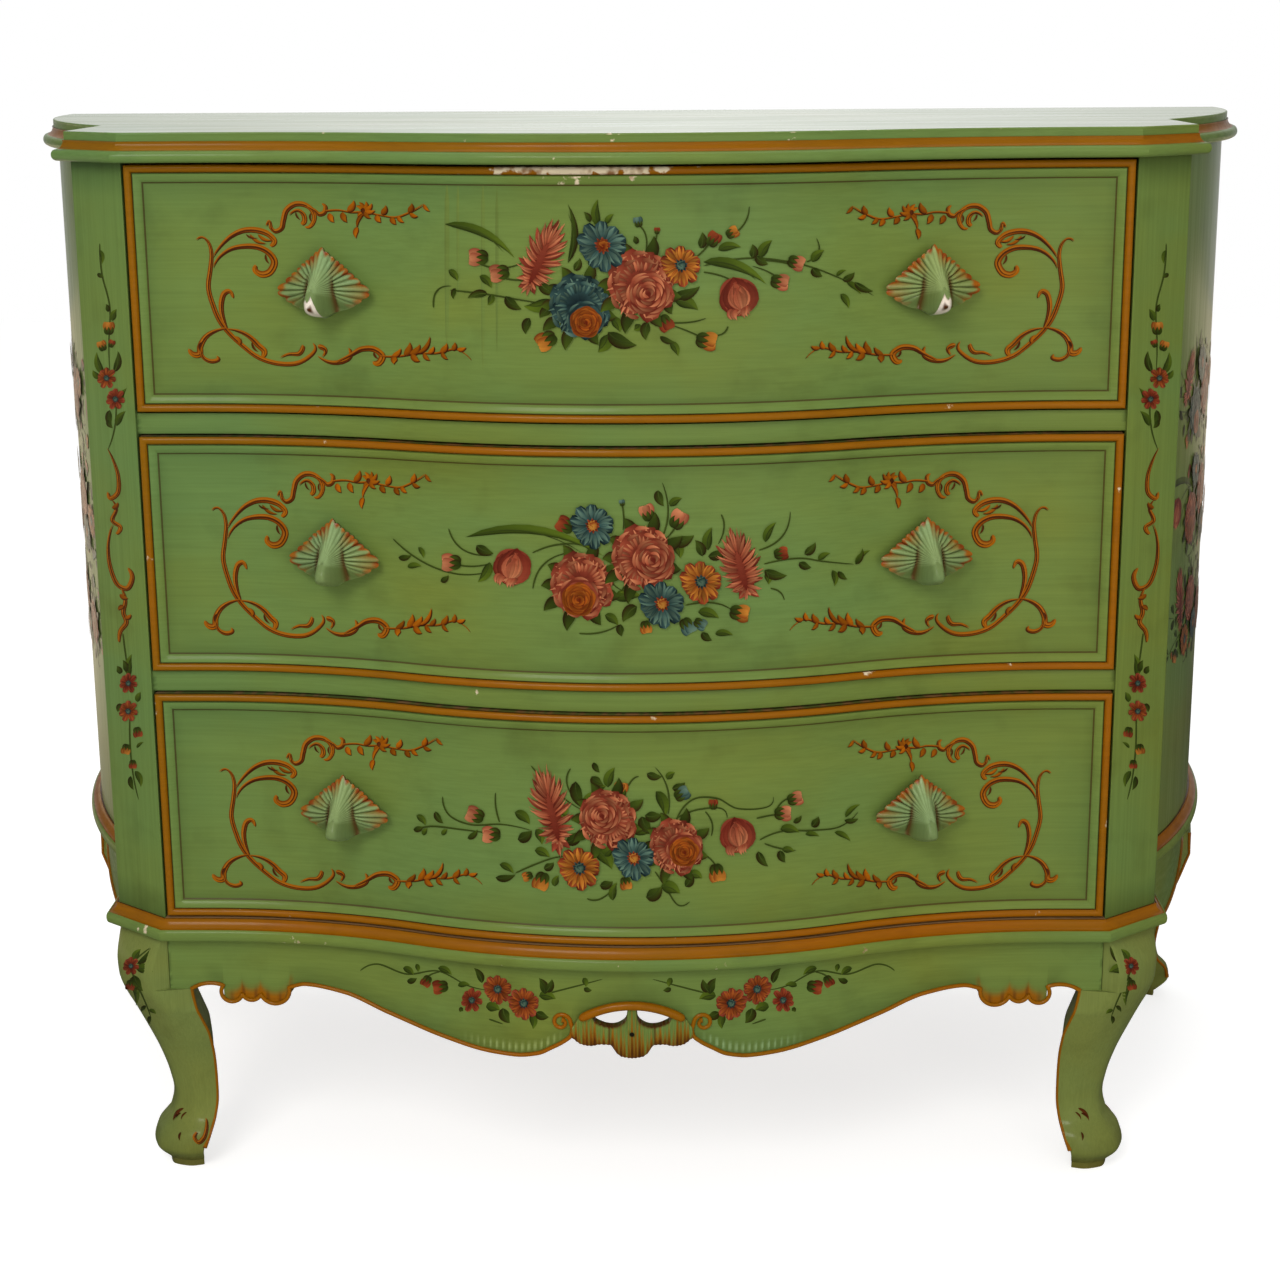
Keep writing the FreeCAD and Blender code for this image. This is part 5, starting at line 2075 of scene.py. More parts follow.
class Painter:
    """Strokes in the order of painting, in the photograph's frame; each lies a hair over the last one."""

    first_lift = 0.00010
    lift_step = 0.0000028
    seed = 7
    # Points along a bowed stroke, along a ribbon for each knot, and across either
    stroke_steps = 10
    ribbon_steps = 12
    across = np.linspace(-1.0, 1.0, 5)
    # Rings and spokes of a whorl
    whorl_rings = 22
    whorl_spokes = 49

    def __init__(self, fit: Callable[[Array], Array] | None = None) -> None:
        """Starts clean.

        Args:
            fit: carries every stroke from the frame it is drawn in to the photograph's.
        """
        self.fit = fit
        self.level = 0
        self.laid: list[tuple[Array, Array, Array]] = []
        self.draw = np.random.default_rng(self.seed)

    def lay(self, pixels: Array, colours: Array, vary: float) -> None:
        """Adds strokes as grids, each a little lighter or darker than the next.

        Args:
            pixels: strokes by length by width by two.
            colours: colours that fit them.
            vary: how much strokes differ.
        """
        count = len(pixels)
        if not count:
            return
        lift = self.first_lift + self.lift_step * (self.level + np.arange(count))[:, None, None]
        self.level += count
        tint = 1.0 + vary * self.draw.uniform(-1.0, 1.0, (count, 1, 1, 1))
        shown = np.broadcast_to(colours, pixels.shape[:-1] + (3,)) * tint
        placed = self.fit(pixels) if self.fit else pixels
        self.laid.append((placed, np.broadcast_to(lift, pixels.shape[:-1]), shown))

    def strokes(self, first: Array, last: Array, bow: float | Array, width: float | Array, brush: Brush,
                hue: Hue, vary: float = 0.12) -> None:
        """Bowed strokes: each middle line is a parabola over its chord, widened by the brush.

        Args:
            first: start of each stroke, as rows of two.
            last: end of each.
            bow: rise over the chord, as a share of it.
            width: half width of each.
            brush: how the width runs.
            hue: their paint.
            vary: how much strokes differ.
        """
        first, last = np.atleast_2d(first).astype(float), np.atleast_2d(last).astype(float)
        run = (last - first)[:, None]
        aside = quarter_turn(run) * np.broadcast_to(bow, len(first))[:, None, None]
        u = np.linspace(0.0, 1.0, self.stroke_steps)[:, None]
        middle = first[:, None] + run * u + aside * 4.0 * u * (1.0 - u)
        normal = quarter_turn(unit(run + aside * 4.0 * (1.0 - 2.0 * u)))
        half = np.broadcast_to(width, len(first))[:, None] * brush.width(u[:, 0])
        pixels = middle[:, :, None] + normal[:, :, None] * (half[..., None] * self.across)[..., None]
        self.lay(pixels, hue.colours(u, self.across[None]), vary)

    def ribbon(self, knots: Sequence[Sequence[float]], width: float, hue: Hue, brush: Brush = Brush.LINE,
               shift: Spot = (0.0, 0.0)) -> None:
        """One stroke along a smooth path.

        Args:
            knots: points that it passes.
            width: half width.
            hue: its paint.
            brush: how the width runs.
            shift: moves the whole stroke.
        """
        path = smooth_path(knots, self.ribbon_steps * len(knots)) + np.array(shift)
        normal = quarter_turn(unit(np.gradient(path, axis=0)))
        u = np.linspace(0.0, 1.0, len(path))[:, None]
        pixels = path[:, None] + normal[:, None] * (width * brush.width(u) * self.across)[..., None]
        self.lay(pixels[None], hue.colours(u, self.across[None]), 0.0)

    def petals(self, spot: Spot, radii: Spot, count: int, inner: float, outer: float, phase: float,
               **stroke: object) -> None:
        """Strokes set round a middle like petals, at slightly uneven turns and lengths.

        Args:
            spot: the middle.
            radii: half width and half height.
            count: how many.
            inner: share of the radii where they start.
            outer: share where they end.
            phase: turn of the first one, in steps.
            stroke: bow, width, brush, hue and variation of the strokes.
        """
        number = np.arange(count)
        turn = 2.0 * math.pi * (number + phase + waves(number, (0.3, 7.0, 0.0))) / count
        reach = circle(turn) * np.array(radii)
        uneven = outer * (0.91 - waves(number, (0.09, 5.0, 3.0 * phase)))[:, None]
        self.strokes(np.array(spot) + reach * inner, np.array(spot) + reach * uneven, **stroke)

    def coils(self, spot: Spot, radii: Spot, count: int, sweep: float, phase: float,
              **stroke: object) -> None:
        """Strokes that lie round a middle like the edges of petals, each an arc.

        Args:
            spot: the middle.
            radii: half width and half height.
            count: how many.
            sweep: angle that each one covers.
            phase: turn of the first one, in steps.
            stroke: width, hue and variation of the strokes.
        """
        turn = 2.0 * math.pi * (np.arange(count) + phase) / count
        first, last = (np.array(spot) + circle(turn + half) * np.array(radii)
                       for half in (-sweep / 2.0, sweep / 2.0))
        self.strokes(first, last, bow=-math.tan(sweep / 4.0) / 2.0, brush=Brush.LEAF, **stroke)

    def whorl(self, spot: Spot, radii: Spot, hue: Hue, turns: float, lobes: float = 5.0) -> None:
        """Disc whose paint runs in a spiral from pale edges to a dark middle.

        The shade is the fraction of turns times the radius less the angle, so that each coil is a petal's
        edge, and it is lighter outwards and upwards.

        Args:
            spot: its middle.
            radii: half width and half height.
            hue: its paint.
            turns: coils from the middle to the edge.
            lobes: waves round its outline.
        """
        radius = np.linspace(0.0, 1.0, self.whorl_rings)[:, None]
        turn = np.linspace(0.0, 2.0 * math.pi, self.whorl_spokes)
        wavy = radius * (1.0 + 0.05 * radius * np.cos(lobes * turn + 1.0))
        pixels = np.array(spot) + wavy[..., None] * circle(turn) * np.array(radii)
        coil = (turns * radius ** 0.9 - turn / (2.0 * math.pi) + waves(turn, (0.1, 3.0, 0.0))) % 1.0
        light = 0.9 * coil ** 1.7 + 0.2 * radius - 0.14 * np.sin(turn)
        light = np.clip(light * np.clip(radius * 4.0, 0.2, 1.0), 0.0, 1.0)
        self.lay(pixels[None], hue.colours(light, -1.0), 0.0)

    def build(self, name: str, sight: Callable[[Array, Array], Array], material: bpy.types.Material,
              body: str) -> None:
        """Carries all strokes to what they are painted on, as one piece.

        Args:
            name: name of the piece.
            sight: finds points from places in the frame and lifts.
            material: their finish.
            body: CAD body that carries them.
        """
        skin = Skin()
        for pixels, lift, colours in self.laid:
            along, across = np.diff(pixels, axis=1)[:, :, 1:], np.diff(pixels, axis=2)[:, 1:]
            away = along[..., 0] * across[..., 1] - along[..., 1] * across[..., 0]
            skin.grid(sight(pixels, lift), colours, flip=bool(away.sum() > 0.0))
        skin.build(name, material, body, "ochre_trim", merge=False)


@dataclass(frozen=True)
class Spray:
    """Painted flowers in the photograph's frame: rows start with a place, and sizes are in its pixels."""

    # Points of each stem
    stems: tuple[tuple[Spot, ...], ...] = ()
    # Start, end and half width of each leaf
    leaves: tuple[tuple[float, ...], ...] = ()
    # Middle, radius and turn of the tip in degrees, by paint
    buds: tuple[tuple[float, float, float, float, Hue], ...] = ()
    # Middle, radius, paint, and paint of the eye
    daisies: tuple[tuple[float, float, float, Hue, Hue], ...] = ()
    # Middle, radius, paint, then the cup's place, radius and paint
    roses: tuple[tuple[float, float, float, Hue, float, float, float, Hue], ...] = ()
    # Middle, radius and turn of the tip in degrees
    tulips: tuple[tuple[float, float, float, float], ...] = ()
    # Base, tip and half width
    carnations: tuple[tuple[float, float, float, float, float], ...] = ()
    stem_half: float = 0.85
    vein_half: float = 0.5
    veined_from: float = 3.0
    leaf_bow: float = 0.12
    # Daisies larger than this have more petals
    large_daisy: float = 12.0

    def paint(self, painter: Painter) -> None:
        """Paints stems, leaves, buds and then the flowers, from back to front.

        Args:
            painter: where they go.
        """
        for stem in self.stems:
            painter.ribbon(stem, self.stem_half, Hue.STEM)
        self.foliage(painter)
        for rows, flower in ((self.buds, self.bud), (self.carnations, self.carnation),
                             (self.tulips, self.tulip), (self.roses, self.rose), (self.daisies, self.daisy)):
            for row in rows:
                flower(painter, *row)

    def foliage(self, painter: Painter) -> None:
        """Leaves, alternately pale and dark and bowed to either side, each wide one with a vein.

        Args:
            painter: where they go.
        """
        rows = np.array(self.leaves, float).reshape(-1, 5)
        side = np.where(np.arange(len(rows)) % 2, self.leaf_bow, -self.leaf_bow)
        for part, hue in ((0, Hue.LEAF), (1, Hue.DARK_LEAF)):
            some = rows[part::2]
            painter.strokes(some[:, :2], some[:, 2:4], side[part::2], some[:, 4], Brush.LEAF, hue)
        wide = rows[:, 4] > self.veined_from
        start, end = rows[wide, :2], rows[wide, 2:4]
        painter.strokes(start, start + 0.85 * (end - start), side[wide], self.vein_half, Brush.LINE, Hue.STEM,
                        vary=0.3)

    def bud(self, painter: Painter, x: float, y: float, radius: float, turn: float, hue: Hue) -> None:
        """Closed bud: three petals in a green cup.

        Args:
            painter: where it goes.
            x: middle across.
            y: middle down.
            radius: size.
            turn: turn of its tip, in degrees from the right, downwards.
            hue: paint of the petals.
        """
        tip = circle(math.radians(turn)) * radius
        middle = np.array([x, y])
        spread = quarter_turn(tip) * np.array([-0.55, 0.55, 0.0])[:, None]
        bow = np.array([-0.2, 0.2, 0.0])
        painter.strokes(middle - tip + 0.2 * spread, middle + tip + 0.5 * spread, bow=1.1 * bow,
                        width=0.62 * radius, brush=Brush.PETAL, hue=hue, vary=0.25)
        foot = np.broadcast_to(middle - 1.5 * tip, spread.shape)
        painter.strokes(foot, middle + 0.1 * tip + 1.2 * spread, bow=bow, width=0.36 * radius,
                        brush=Brush.LEAF, hue=Hue.DARK_LEAF)

    def daisy(self, painter: Painter, x: float, y: float, radius: float, hue: Hue, eye: Hue) -> None:
        """Open flower: a dark and a light ring of petals round a dotted eye.

        Args:
            painter: where it goes.
            x: middle across.
            y: middle down.
            radius: size.
            hue: paint of the petals.
            eye: paint of the eye.
        """
        spot, radii = (x, y), (radius, radius)
        count = 11 if radius > self.large_daisy else 8
        painter.petals(spot, radii, count, inner=0.1, outer=1.06, phase=0.2, bow=0.05, width=0.24 * radius,
                       brush=Brush.PETAL, hue=hue.under(), vary=0.3)
        for shift, wide in ((0.0, 0.12), (0.32, 0.07), (-0.3, 0.06)):
            painter.petals(spot, radii, count, inner=0.22, outer=1.04 - 0.25 * abs(shift), phase=0.2 + shift,
                           bow=0.3 * shift, width=wide * radius, brush=Brush.LEAF, hue=hue, vary=0.4)
        painter.whorl(spot, (0.24 * radius, 0.24 * radius), eye, turns=1.0)
        dots = Hue.DEEP_BLUE if eye is Hue.TEAL else Hue.RED
        painter.petals(spot, radii, count=11, inner=0.18, outer=0.36, phase=0.3, bow=0.0, width=0.05 * radius,
                       brush=Brush.LEAF, hue=dots, vary=0.4)

    def rose(self, painter: Painter, x: float, y: float, radius: float, hue: Hue, cup_x: float, cup_y: float,
             cup: float, core: Hue) -> None:
        """Full rose: loose petals in two rings, and a cup of coiled petals before them.

        Args:
            painter: where it goes.
            x: middle across.
            y: middle down.
            radius: size.
            hue: paint of the loose petals.
            cup_x: middle of the cup across.
            cup_y: middle of the cup down.
            cup: radius of the cup.
            core: paint of the cup.
        """
        spot = (x, y)
        painter.petals(spot, (radius, radius), count=9, inner=0.75, outer=1.5, phase=0.4, bow=0.1,
                       width=0.19 * radius, brush=Brush.LEAF, hue=Hue.DARK_LEAF, vary=0.3)
        for reach, count, wide in ((1.06, 9, 0.36), (0.84, 8, 0.34)):
            radii = (0.96 * reach * radius, reach * radius)
            painter.petals(spot, radii, count, inner=0.1, outer=1.04, phase=0.3 * count, bow=0.1,
                           width=wide * radius, brush=Brush.PETAL, hue=hue.under(), vary=0.3)
            painter.petals(spot, radii, 4 * count, inner=0.5, outer=1.02, phase=0.3, bow=0.08,
                           width=0.045 * radius, brush=Brush.LEAF, hue=hue, vary=0.5)
            painter.coils(spot, (0.9 * radii[0], 0.9 * radii[1]), count, sweep=4.6 / count, phase=0.3 * count,
                          width=0.07 * radius, hue=hue, vary=0.4)
        if core is not hue:
            collar = (cup_x, cup_y - 0.2 * cup)
            painter.whorl(collar, (1.28 * cup, 1.2 * cup), hue.under(), turns=2.2, lobes=7.0)
            painter.coils(collar, (1.2 * cup, 1.12 * cup), count=7, sweep=0.8, phase=0.4, width=0.1 * cup,
                          hue=hue, vary=0.4)
        deep = Hue.DEEP_PINK if core is hue else core
        painter.whorl((cup_x, cup_y), (1.04 * cup, 1.04 * cup), deep, turns=3.0)
        rim = Hue.EMBER if core is Hue.CORE else core
        rings = ((0.95, 6), (0.8, 5), (0.64, 5), (0.48, 4), (0.33, 3), (0.2, 2))
        for ring, (reach, count) in enumerate(rings):
            painter.coils((cup_x, cup_y), (reach * cup, reach * cup), count, sweep=5.6 / count,
                          phase=0.37 * ring, width=0.085 * cup, hue=rim, vary=0.45)

    def tulip(self, painter: Painter, x: float, y: float, radius: float, turn: float) -> None:
        """Drooping bloom: bowed petals from its stem to its mouth, with a torn edge.

        Args:
            painter: where it goes.
            x: middle across.
            y: middle down.
            radius: size.
            turn: turn of its mouth, in degrees from the right, downwards.
        """
        tip = circle(math.radians(turn)) * radius
        aside = quarter_turn(tip)
        middle = np.array([x, y])
        spread = np.array([-0.9, 0.9, -0.65, 0.65, -0.4, 0.4, -0.2, 0.2, 0.0])
        wide = aside * spread[:, None]
        start = np.broadcast_to(middle - 0.95 * tip, wide.shape)
        ends = middle + tip * (0.95 - 0.15 * np.abs(spread))[:, None] + 0.5 * wide
        painter.whorl((x, y), (0.9 * radius, 0.92 * radius), Hue.DEEP_PINK, turns=1.4, lobes=3.0)
        painter.strokes(start, ends, bow=-0.6 * spread, width=0.26 * radius, brush=Brush.PETAL,
                        hue=Hue.DEEP_PINK, vary=0.3)
        for lift, half in ((0.25, 0.13), (0.5, 0.09)):
            painter.strokes(start + lift * tip + 0.5 * lift * wide, ends, bow=-0.5 * spread,
                            width=half * radius, brush=Brush.LEAF, hue=Hue.PINK, vary=0.4)
        torn = ends[:6]
        painter.strokes(torn - 0.3 * tip, torn + 0.2 * tip + 0.15 * aside, bow=0.25, width=0.12 * radius,
                        brush=Brush.LEAF, hue=Hue.PINK, vary=0.3)

    def carnation(self, painter: Painter, x: float, y: float, tip_x: float, tip_y: float,
                  half: float) -> None:
        """Spiky bloom: narrow petals that leave its axis on either side, at random lengths.

        Args:
            painter: where it goes.
            x: base across.
            y: base down.
            tip_x: tip across.
            tip_y: tip down.
            half: half width.
        """
        base, tip = np.array([x, y]), np.array([tip_x, tip_y])
        middle, axis = (base + tip) / 2.0, (tip - base) / 2.0
        aside = quarter_turn(unit(axis)) * half
        painter.strokes(base + 0.1 * axis, tip - 0.15 * axis, bow=0.0, width=0.62 * half, brush=Brush.PETAL,
                        hue=Hue.DEEP_PINK)
        rings = ((Hue.DEEP_PINK, 21, 0.2, 0.0), (Hue.PINK, 21, 0.1, 0.1), (Hue.PINK, 34, 0.055, 0.5))
        for hue, count, wide, phase in rings:
            turn = 2.0 * math.pi * (np.arange(count) + phase) / count
            reach = painter.draw.uniform(0.8, 1.24, count)[:, None]
            along, across = np.cos(turn)[:, None] * axis, np.sin(turn)[:, None] * aside
            start = middle + 0.6 * along - 0.2 * axis + 0.15 * across
            painter.strokes(start, middle + reach * along + 1.1 * reach * across, bow=0.06 * np.sin(turn),
                            width=wide * half, brush=Brush.LEAF, hue=hue, vary=0.45)


@dataclass(frozen=True)
class Sight:
    """Lines of sight from the photograph's frame, mirrored for the left of the commode."""

    side: int = 1
    camera: PhotoCamera = PhotoCamera()

    def lines(self, pixels: Array) -> tuple[Array, Array]:
        """The eye, and its directions through places in the frame."""
        eye = np.array(self.camera.location)
        return mirrored(eye, self.side), mirrored(self.camera.rays(pixels), self.side)


@dataclass(frozen=True)
class FrontSight(Sight):
    """Carries paint from the photograph's frame to the serpentine front."""

    offset: float = 0.0
    rounds: int = 14

    def __call__(self, pixels: Array, lift: Array) -> Array:
        """Slides each point along its line of sight until it lies at the offset, then lifts it.

        Args:
            pixels: places in the frame.
            lift: distance from the face.

        Returns:
            Points with a last axis of three.
        """
        eye, ray = self.lines(pixels)
        ray = ray / ray[..., 1:2]
        spot = eye + ray * (plan.line_y - eye[1])
        x = spot[..., 0]
        for _ in range(self.rounds):
            base, outward = plan.front(x)
            target = base[..., 1] + outward[..., 1] * self.offset
            spot = spot + ray * (target - spot[..., 1])[..., None]
            x = spot[..., 0] - outward[..., 0] * self.offset
        return plan.front_points(x, self.offset + lift, spot[..., 2])


@dataclass(frozen=True)
class PostSight(Sight):
    """Carries paint from the photograph's frame to the canted face of a post."""

    def __call__(self, pixels: Array, lift: Array) -> Array:
        """Meets each line of sight with the face's plane.

        Args:
            pixels: places in the frame.
            lift: distance from the face.

        Returns:
            Points with a last axis of three.
        """
        eye, ray = self.lines(pixels)
        outward = unit(np.array([plan.post_depth, -plan.post_width, 0.0]))
        corner = np.array([plan.front_half, plan.line_y, 0.0])
        reach = (outward @ (corner - eye)) / (ray @ outward)
        return mirrored(eye + ray * reach[..., None] + outward * lift[..., None], self.side)


@dataclass(frozen=True)
class LegSight(Sight):
    """Carries paint from the photograph's frame to a front leg."""

    rounds: int = 5
    least: float = 1e-12

    def __call__(self, pixels: Array, lift: Array) -> Array:
        """Meets each line of sight with the sides of the leg's section, at a height found in a few rounds.

        Where a line misses the leg, the usual distance is taken.

        Args:
            pixels: places in the frame.
            lift: distance towards the eye.

        Returns:
            Points with a last axis of three.
        """
        leg = CabrioleLeg()
        eye, ray = self.lines(pixels)
        ray = unit(ray)
        flat = ray[..., None, :2]
        z = np.full(pixels.shape[:-1], heights.leg * leg.shoulder_share)
        for _ in range(self.rounds):
            level = np.clip(z / heights.leg, 0.0, 1.0)
            ring = leg.placed(leg.rounded(leg.corners(level)), level[..., None], True)[..., :2]
            edge = np.roll(ring, -1, -2) - ring
            away = ring - eye[:2]
            turn = flat[..., 0] * edge[..., 1] - flat[..., 1] * edge[..., 0]
            turn = np.where(np.abs(turn) < self.least, self.least, turn)
            reach = (away[..., 0] * edge[..., 1] - away[..., 1] * edge[..., 0]) / turn
            share = (away[..., 0] * flat[..., 1] - away[..., 1] * flat[..., 0]) / turn
            met = (share >= 0.0) & (share <= 1.0) & (reach > 0.0)
            near = np.where(met, reach, np.inf).min(-1)
            near = np.where(np.isfinite(near), near, np.median(near[np.isfinite(near)]))
            z = eye[2] + ray[..., 2] * near
        return mirrored(eye + ray * (near - lift)[..., None], self.side)


@dataclass(frozen=True)
class SideWrap:
    """Wraps paint round a bowed side, without perspective."""

    side: int
    middle: Spot
    height: float
    metres_per_pixel: float
    centre_share: float = 0.46

    def __call__(self, pixels: Array, lift: Array) -> Array:
        """Lays places along the side's arc and up its height, from the middle of the side.

        Args:
            pixels: places in the frame that the spray is drawn in.
            lift: distance from the face.

        Returns:
            Points with a last axis of three.
        """
        moved = (pixels - np.array(self.middle)) * self.metres_per_pixel
        length = plan.side_radius * math.asin((plan.back_y - plan.return_y) / plan.side_radius)
        place, outward = plan.side(self.centre_share + self.side * moved[..., 0] / length)
        return mirrored(extended(place + outward * lift[..., None], self.height - moved[..., 1]), self.side)


TOP_SPRAY = Spray(
    stems=(((450, 290), (487, 294), (522, 300), (560, 306)), ((477, 262), (500, 268), (524, 262)),
           ((498, 276), (520, 280), (545, 276)), ((638, 224), (646, 236), (644, 258)),
           ((657, 232), (654, 246), (646, 262)), ((703, 272), (722, 276), (734, 282)),
           ((703, 266), (750, 258), (800, 264), (835, 276), (874, 296)),
           ((796, 266), (780, 262), (752, 260)), ((781, 282), (772, 274), (752, 266)),
           ((710, 242), (702, 252), (688, 262)), ((733, 234), (745, 222), (749, 206)),
           ((806, 262), (818, 252), (816, 238)), ((666, 322), (690, 322), (706, 318)),
           ((706, 340), (690, 332), (668, 324)), ((728, 326), (722, 334), (708, 334)),
           ((434, 308), (438, 290), (452, 286))),
    leaves=((445, 224, 515, 258, 4.5), (568, 263, 568, 204, 3.6), (599, 226, 598, 199, 4.5),
            (590, 222, 584, 212, 3), (606, 224, 614, 214, 3), (574, 270, 580, 258, 4),
            (546, 262, 540, 276, 4), (540, 282, 556, 294, 5), (553, 300, 524, 306, 6.5),
            (552, 308, 540, 318, 5), (612, 318, 620, 332, 5), (608, 332, 637, 345, 7),
            (608, 334, 598, 352, 6.5), (648, 322, 646, 340, 5), (640, 324, 634, 330, 4),
            (672, 296, 700, 286, 5.5), (674, 300, 698, 310, 6.5), (668, 300, 672, 314, 5),
            (703, 262, 766, 284, 5.5), (700, 248, 702, 232, 4.5), (718, 250, 741, 247, 4.5),
            (752, 258, 752, 244, 4.5), (760, 258, 772, 240, 5), (756, 256, 768, 264, 4.5),
            (812, 262, 824, 250, 4.5), (812, 268, 822, 276, 4.5), (836, 276, 846, 270, 2),
            (842, 280, 854, 272, 3.5), (846, 282, 860, 294, 3), (854, 282, 873, 291, 3.6),
            (840, 294, 848, 308, 3.6), (660, 336, 676, 342, 3), (670, 342, 678, 356, 4),
            (530, 318, 526, 334, 4.5), (480, 276, 492, 288, 4), (488, 294, 468, 298, 4),
            (492, 294, 488, 305, 3.5), (506, 296, 522, 309, 5), (449, 270, 458, 281, 3.5),
            (456, 288, 454, 299, 2.5), (650, 250, 658, 247, 3), (636, 244, 634, 236, 3)),
    buds=((477, 257, 7.5, 180, Hue.PINK), (498, 273, 7.5, 170, Hue.PINK), (549, 260, 6, 60, Hue.LEAF),
          (638, 221, 4, 260, Hue.BLUE), (657, 230, 2.6, 270, Hue.RED), (714, 238, 6, 300, Hue.RED),
          (733, 232, 5, 330, Hue.ORANGE), (797, 263, 6.5, 20, Hue.PINK), (781, 282, 7, 10, Hue.PINK),
          (545, 341, 8, 150, Hue.ORANGE), (708, 341, 8, 10, Hue.ORANGE), (666, 324, 6.5, 60, Hue.RED)),
    daisies=((681, 265, 21, Hue.ORANGE, Hue.TEAL), (603, 245, 26, Hue.BLUE, Hue.CORE)),
    roses=((580, 306, 31, Hue.BLUE, 586, 322, 15, Hue.CORE),
           (641, 285, 34, Hue.PINK, 648, 293, 21, Hue.PINK)),
    tulips=((738, 296, 21, 75),),
    carnations=((527, 290, 557, 224, 17),))
MIDDLE_SPRAY = Spray(
    stems=(((393, 538), (426, 563), (460, 574), (490, 571)), ((449, 528), (463, 549), (493, 555)),
           ((532, 553), (560, 544), (585, 546), (604, 567), (618, 574)),
           ((533, 589), (544, 564), (572, 552)), ((663, 535), (668, 510), (662, 482)),
           ((679, 520), (672, 532), (664, 540)), ((721, 514), (724, 527), (718, 544)),
           ((758, 550), (782, 536), (790, 511)), ((763, 564), (800, 558), (822, 561), (854, 564)),
           ((579, 633), (601, 632), (618, 625)), ((685, 605), (716, 603), (733, 611)),
           ((450, 562), (470, 566), (492, 563)), ((620, 566), (612, 580), (622, 590)),
           ((770, 588), (780, 592), (784, 600)), ((622, 502), (624, 520), (623, 530))),
    leaves=((466, 537, 604, 556, 4.5), (399, 557, 412, 555, 3), (408, 567, 422, 566, 3),
            (441, 581, 449, 575, 3), (419, 547, 424, 558, 2.5), (477, 545, 494, 553, 5),
            (490, 562, 478, 582, 5), (658, 490, 664, 506, 4.5), (670, 506, 682, 498, 4),
            (671, 542, 694, 535, 6), (675, 543, 680, 558, 5), (702, 556, 695, 540, 5),
            (708, 550, 712, 527, 5), (708, 556, 727, 549, 5), (765, 542, 776, 522, 4),
            (764, 570, 787, 575, 5), (766, 572, 768, 584, 4), (804, 554, 815, 542, 4),
            (818, 560, 830, 553, 3), (799, 562, 811, 567, 4), (832, 570, 834, 586, 3.2),
            (838, 571, 847, 579, 3), (855, 564, 870, 550, 2.6), (855, 564, 862, 548, 2.6),
            (615, 599, 641, 596, 6.5), (637, 606, 623, 622, 6), (605, 615, 618, 625, 4.5),
            (621, 624, 622, 636, 4), (698, 612, 719, 618, 5), (702, 632, 712, 640, 4),
            (715, 634, 733, 635, 3.5), (742, 560, 730, 570, 5), (630, 584, 620, 592, 4),
            (590, 558, 604, 572, 4)),
    buds=((450, 562, 7.5, 180, Hue.PINK), (564, 524, 7, 210, Hue.RED), (647, 511, 6.5, 250, Hue.PINK),
          (679, 518, 7.5, 300, Hue.PINK), (782, 553, 5.5, 350, Hue.RED), (646, 628, 5, 80, Hue.ORANGE),
          (688, 627, 6.5, 60, Hue.BLUE), (701, 624, 5, 30, Hue.BLUE), (741, 613, 7.5, 10, Hue.ORANGE),
          (622, 502, 2.5, 260, Hue.BLUE)),
    daisies=((593, 525, 23, Hue.BLUE, Hue.EYE), (701, 581, 22, Hue.ORANGE, Hue.TEAL),
             (662, 603, 24, Hue.BLUE, Hue.EYE)),
    roses=((582, 585, 32, Hue.PINK, 579, 599, 16, Hue.CORE),
           (643, 558, 32, Hue.PINK, 653, 559, 20, Hue.PINK)),
    tulips=((513, 566, 20, 105),),
    carnations=((748, 596, 731, 532, 18),))
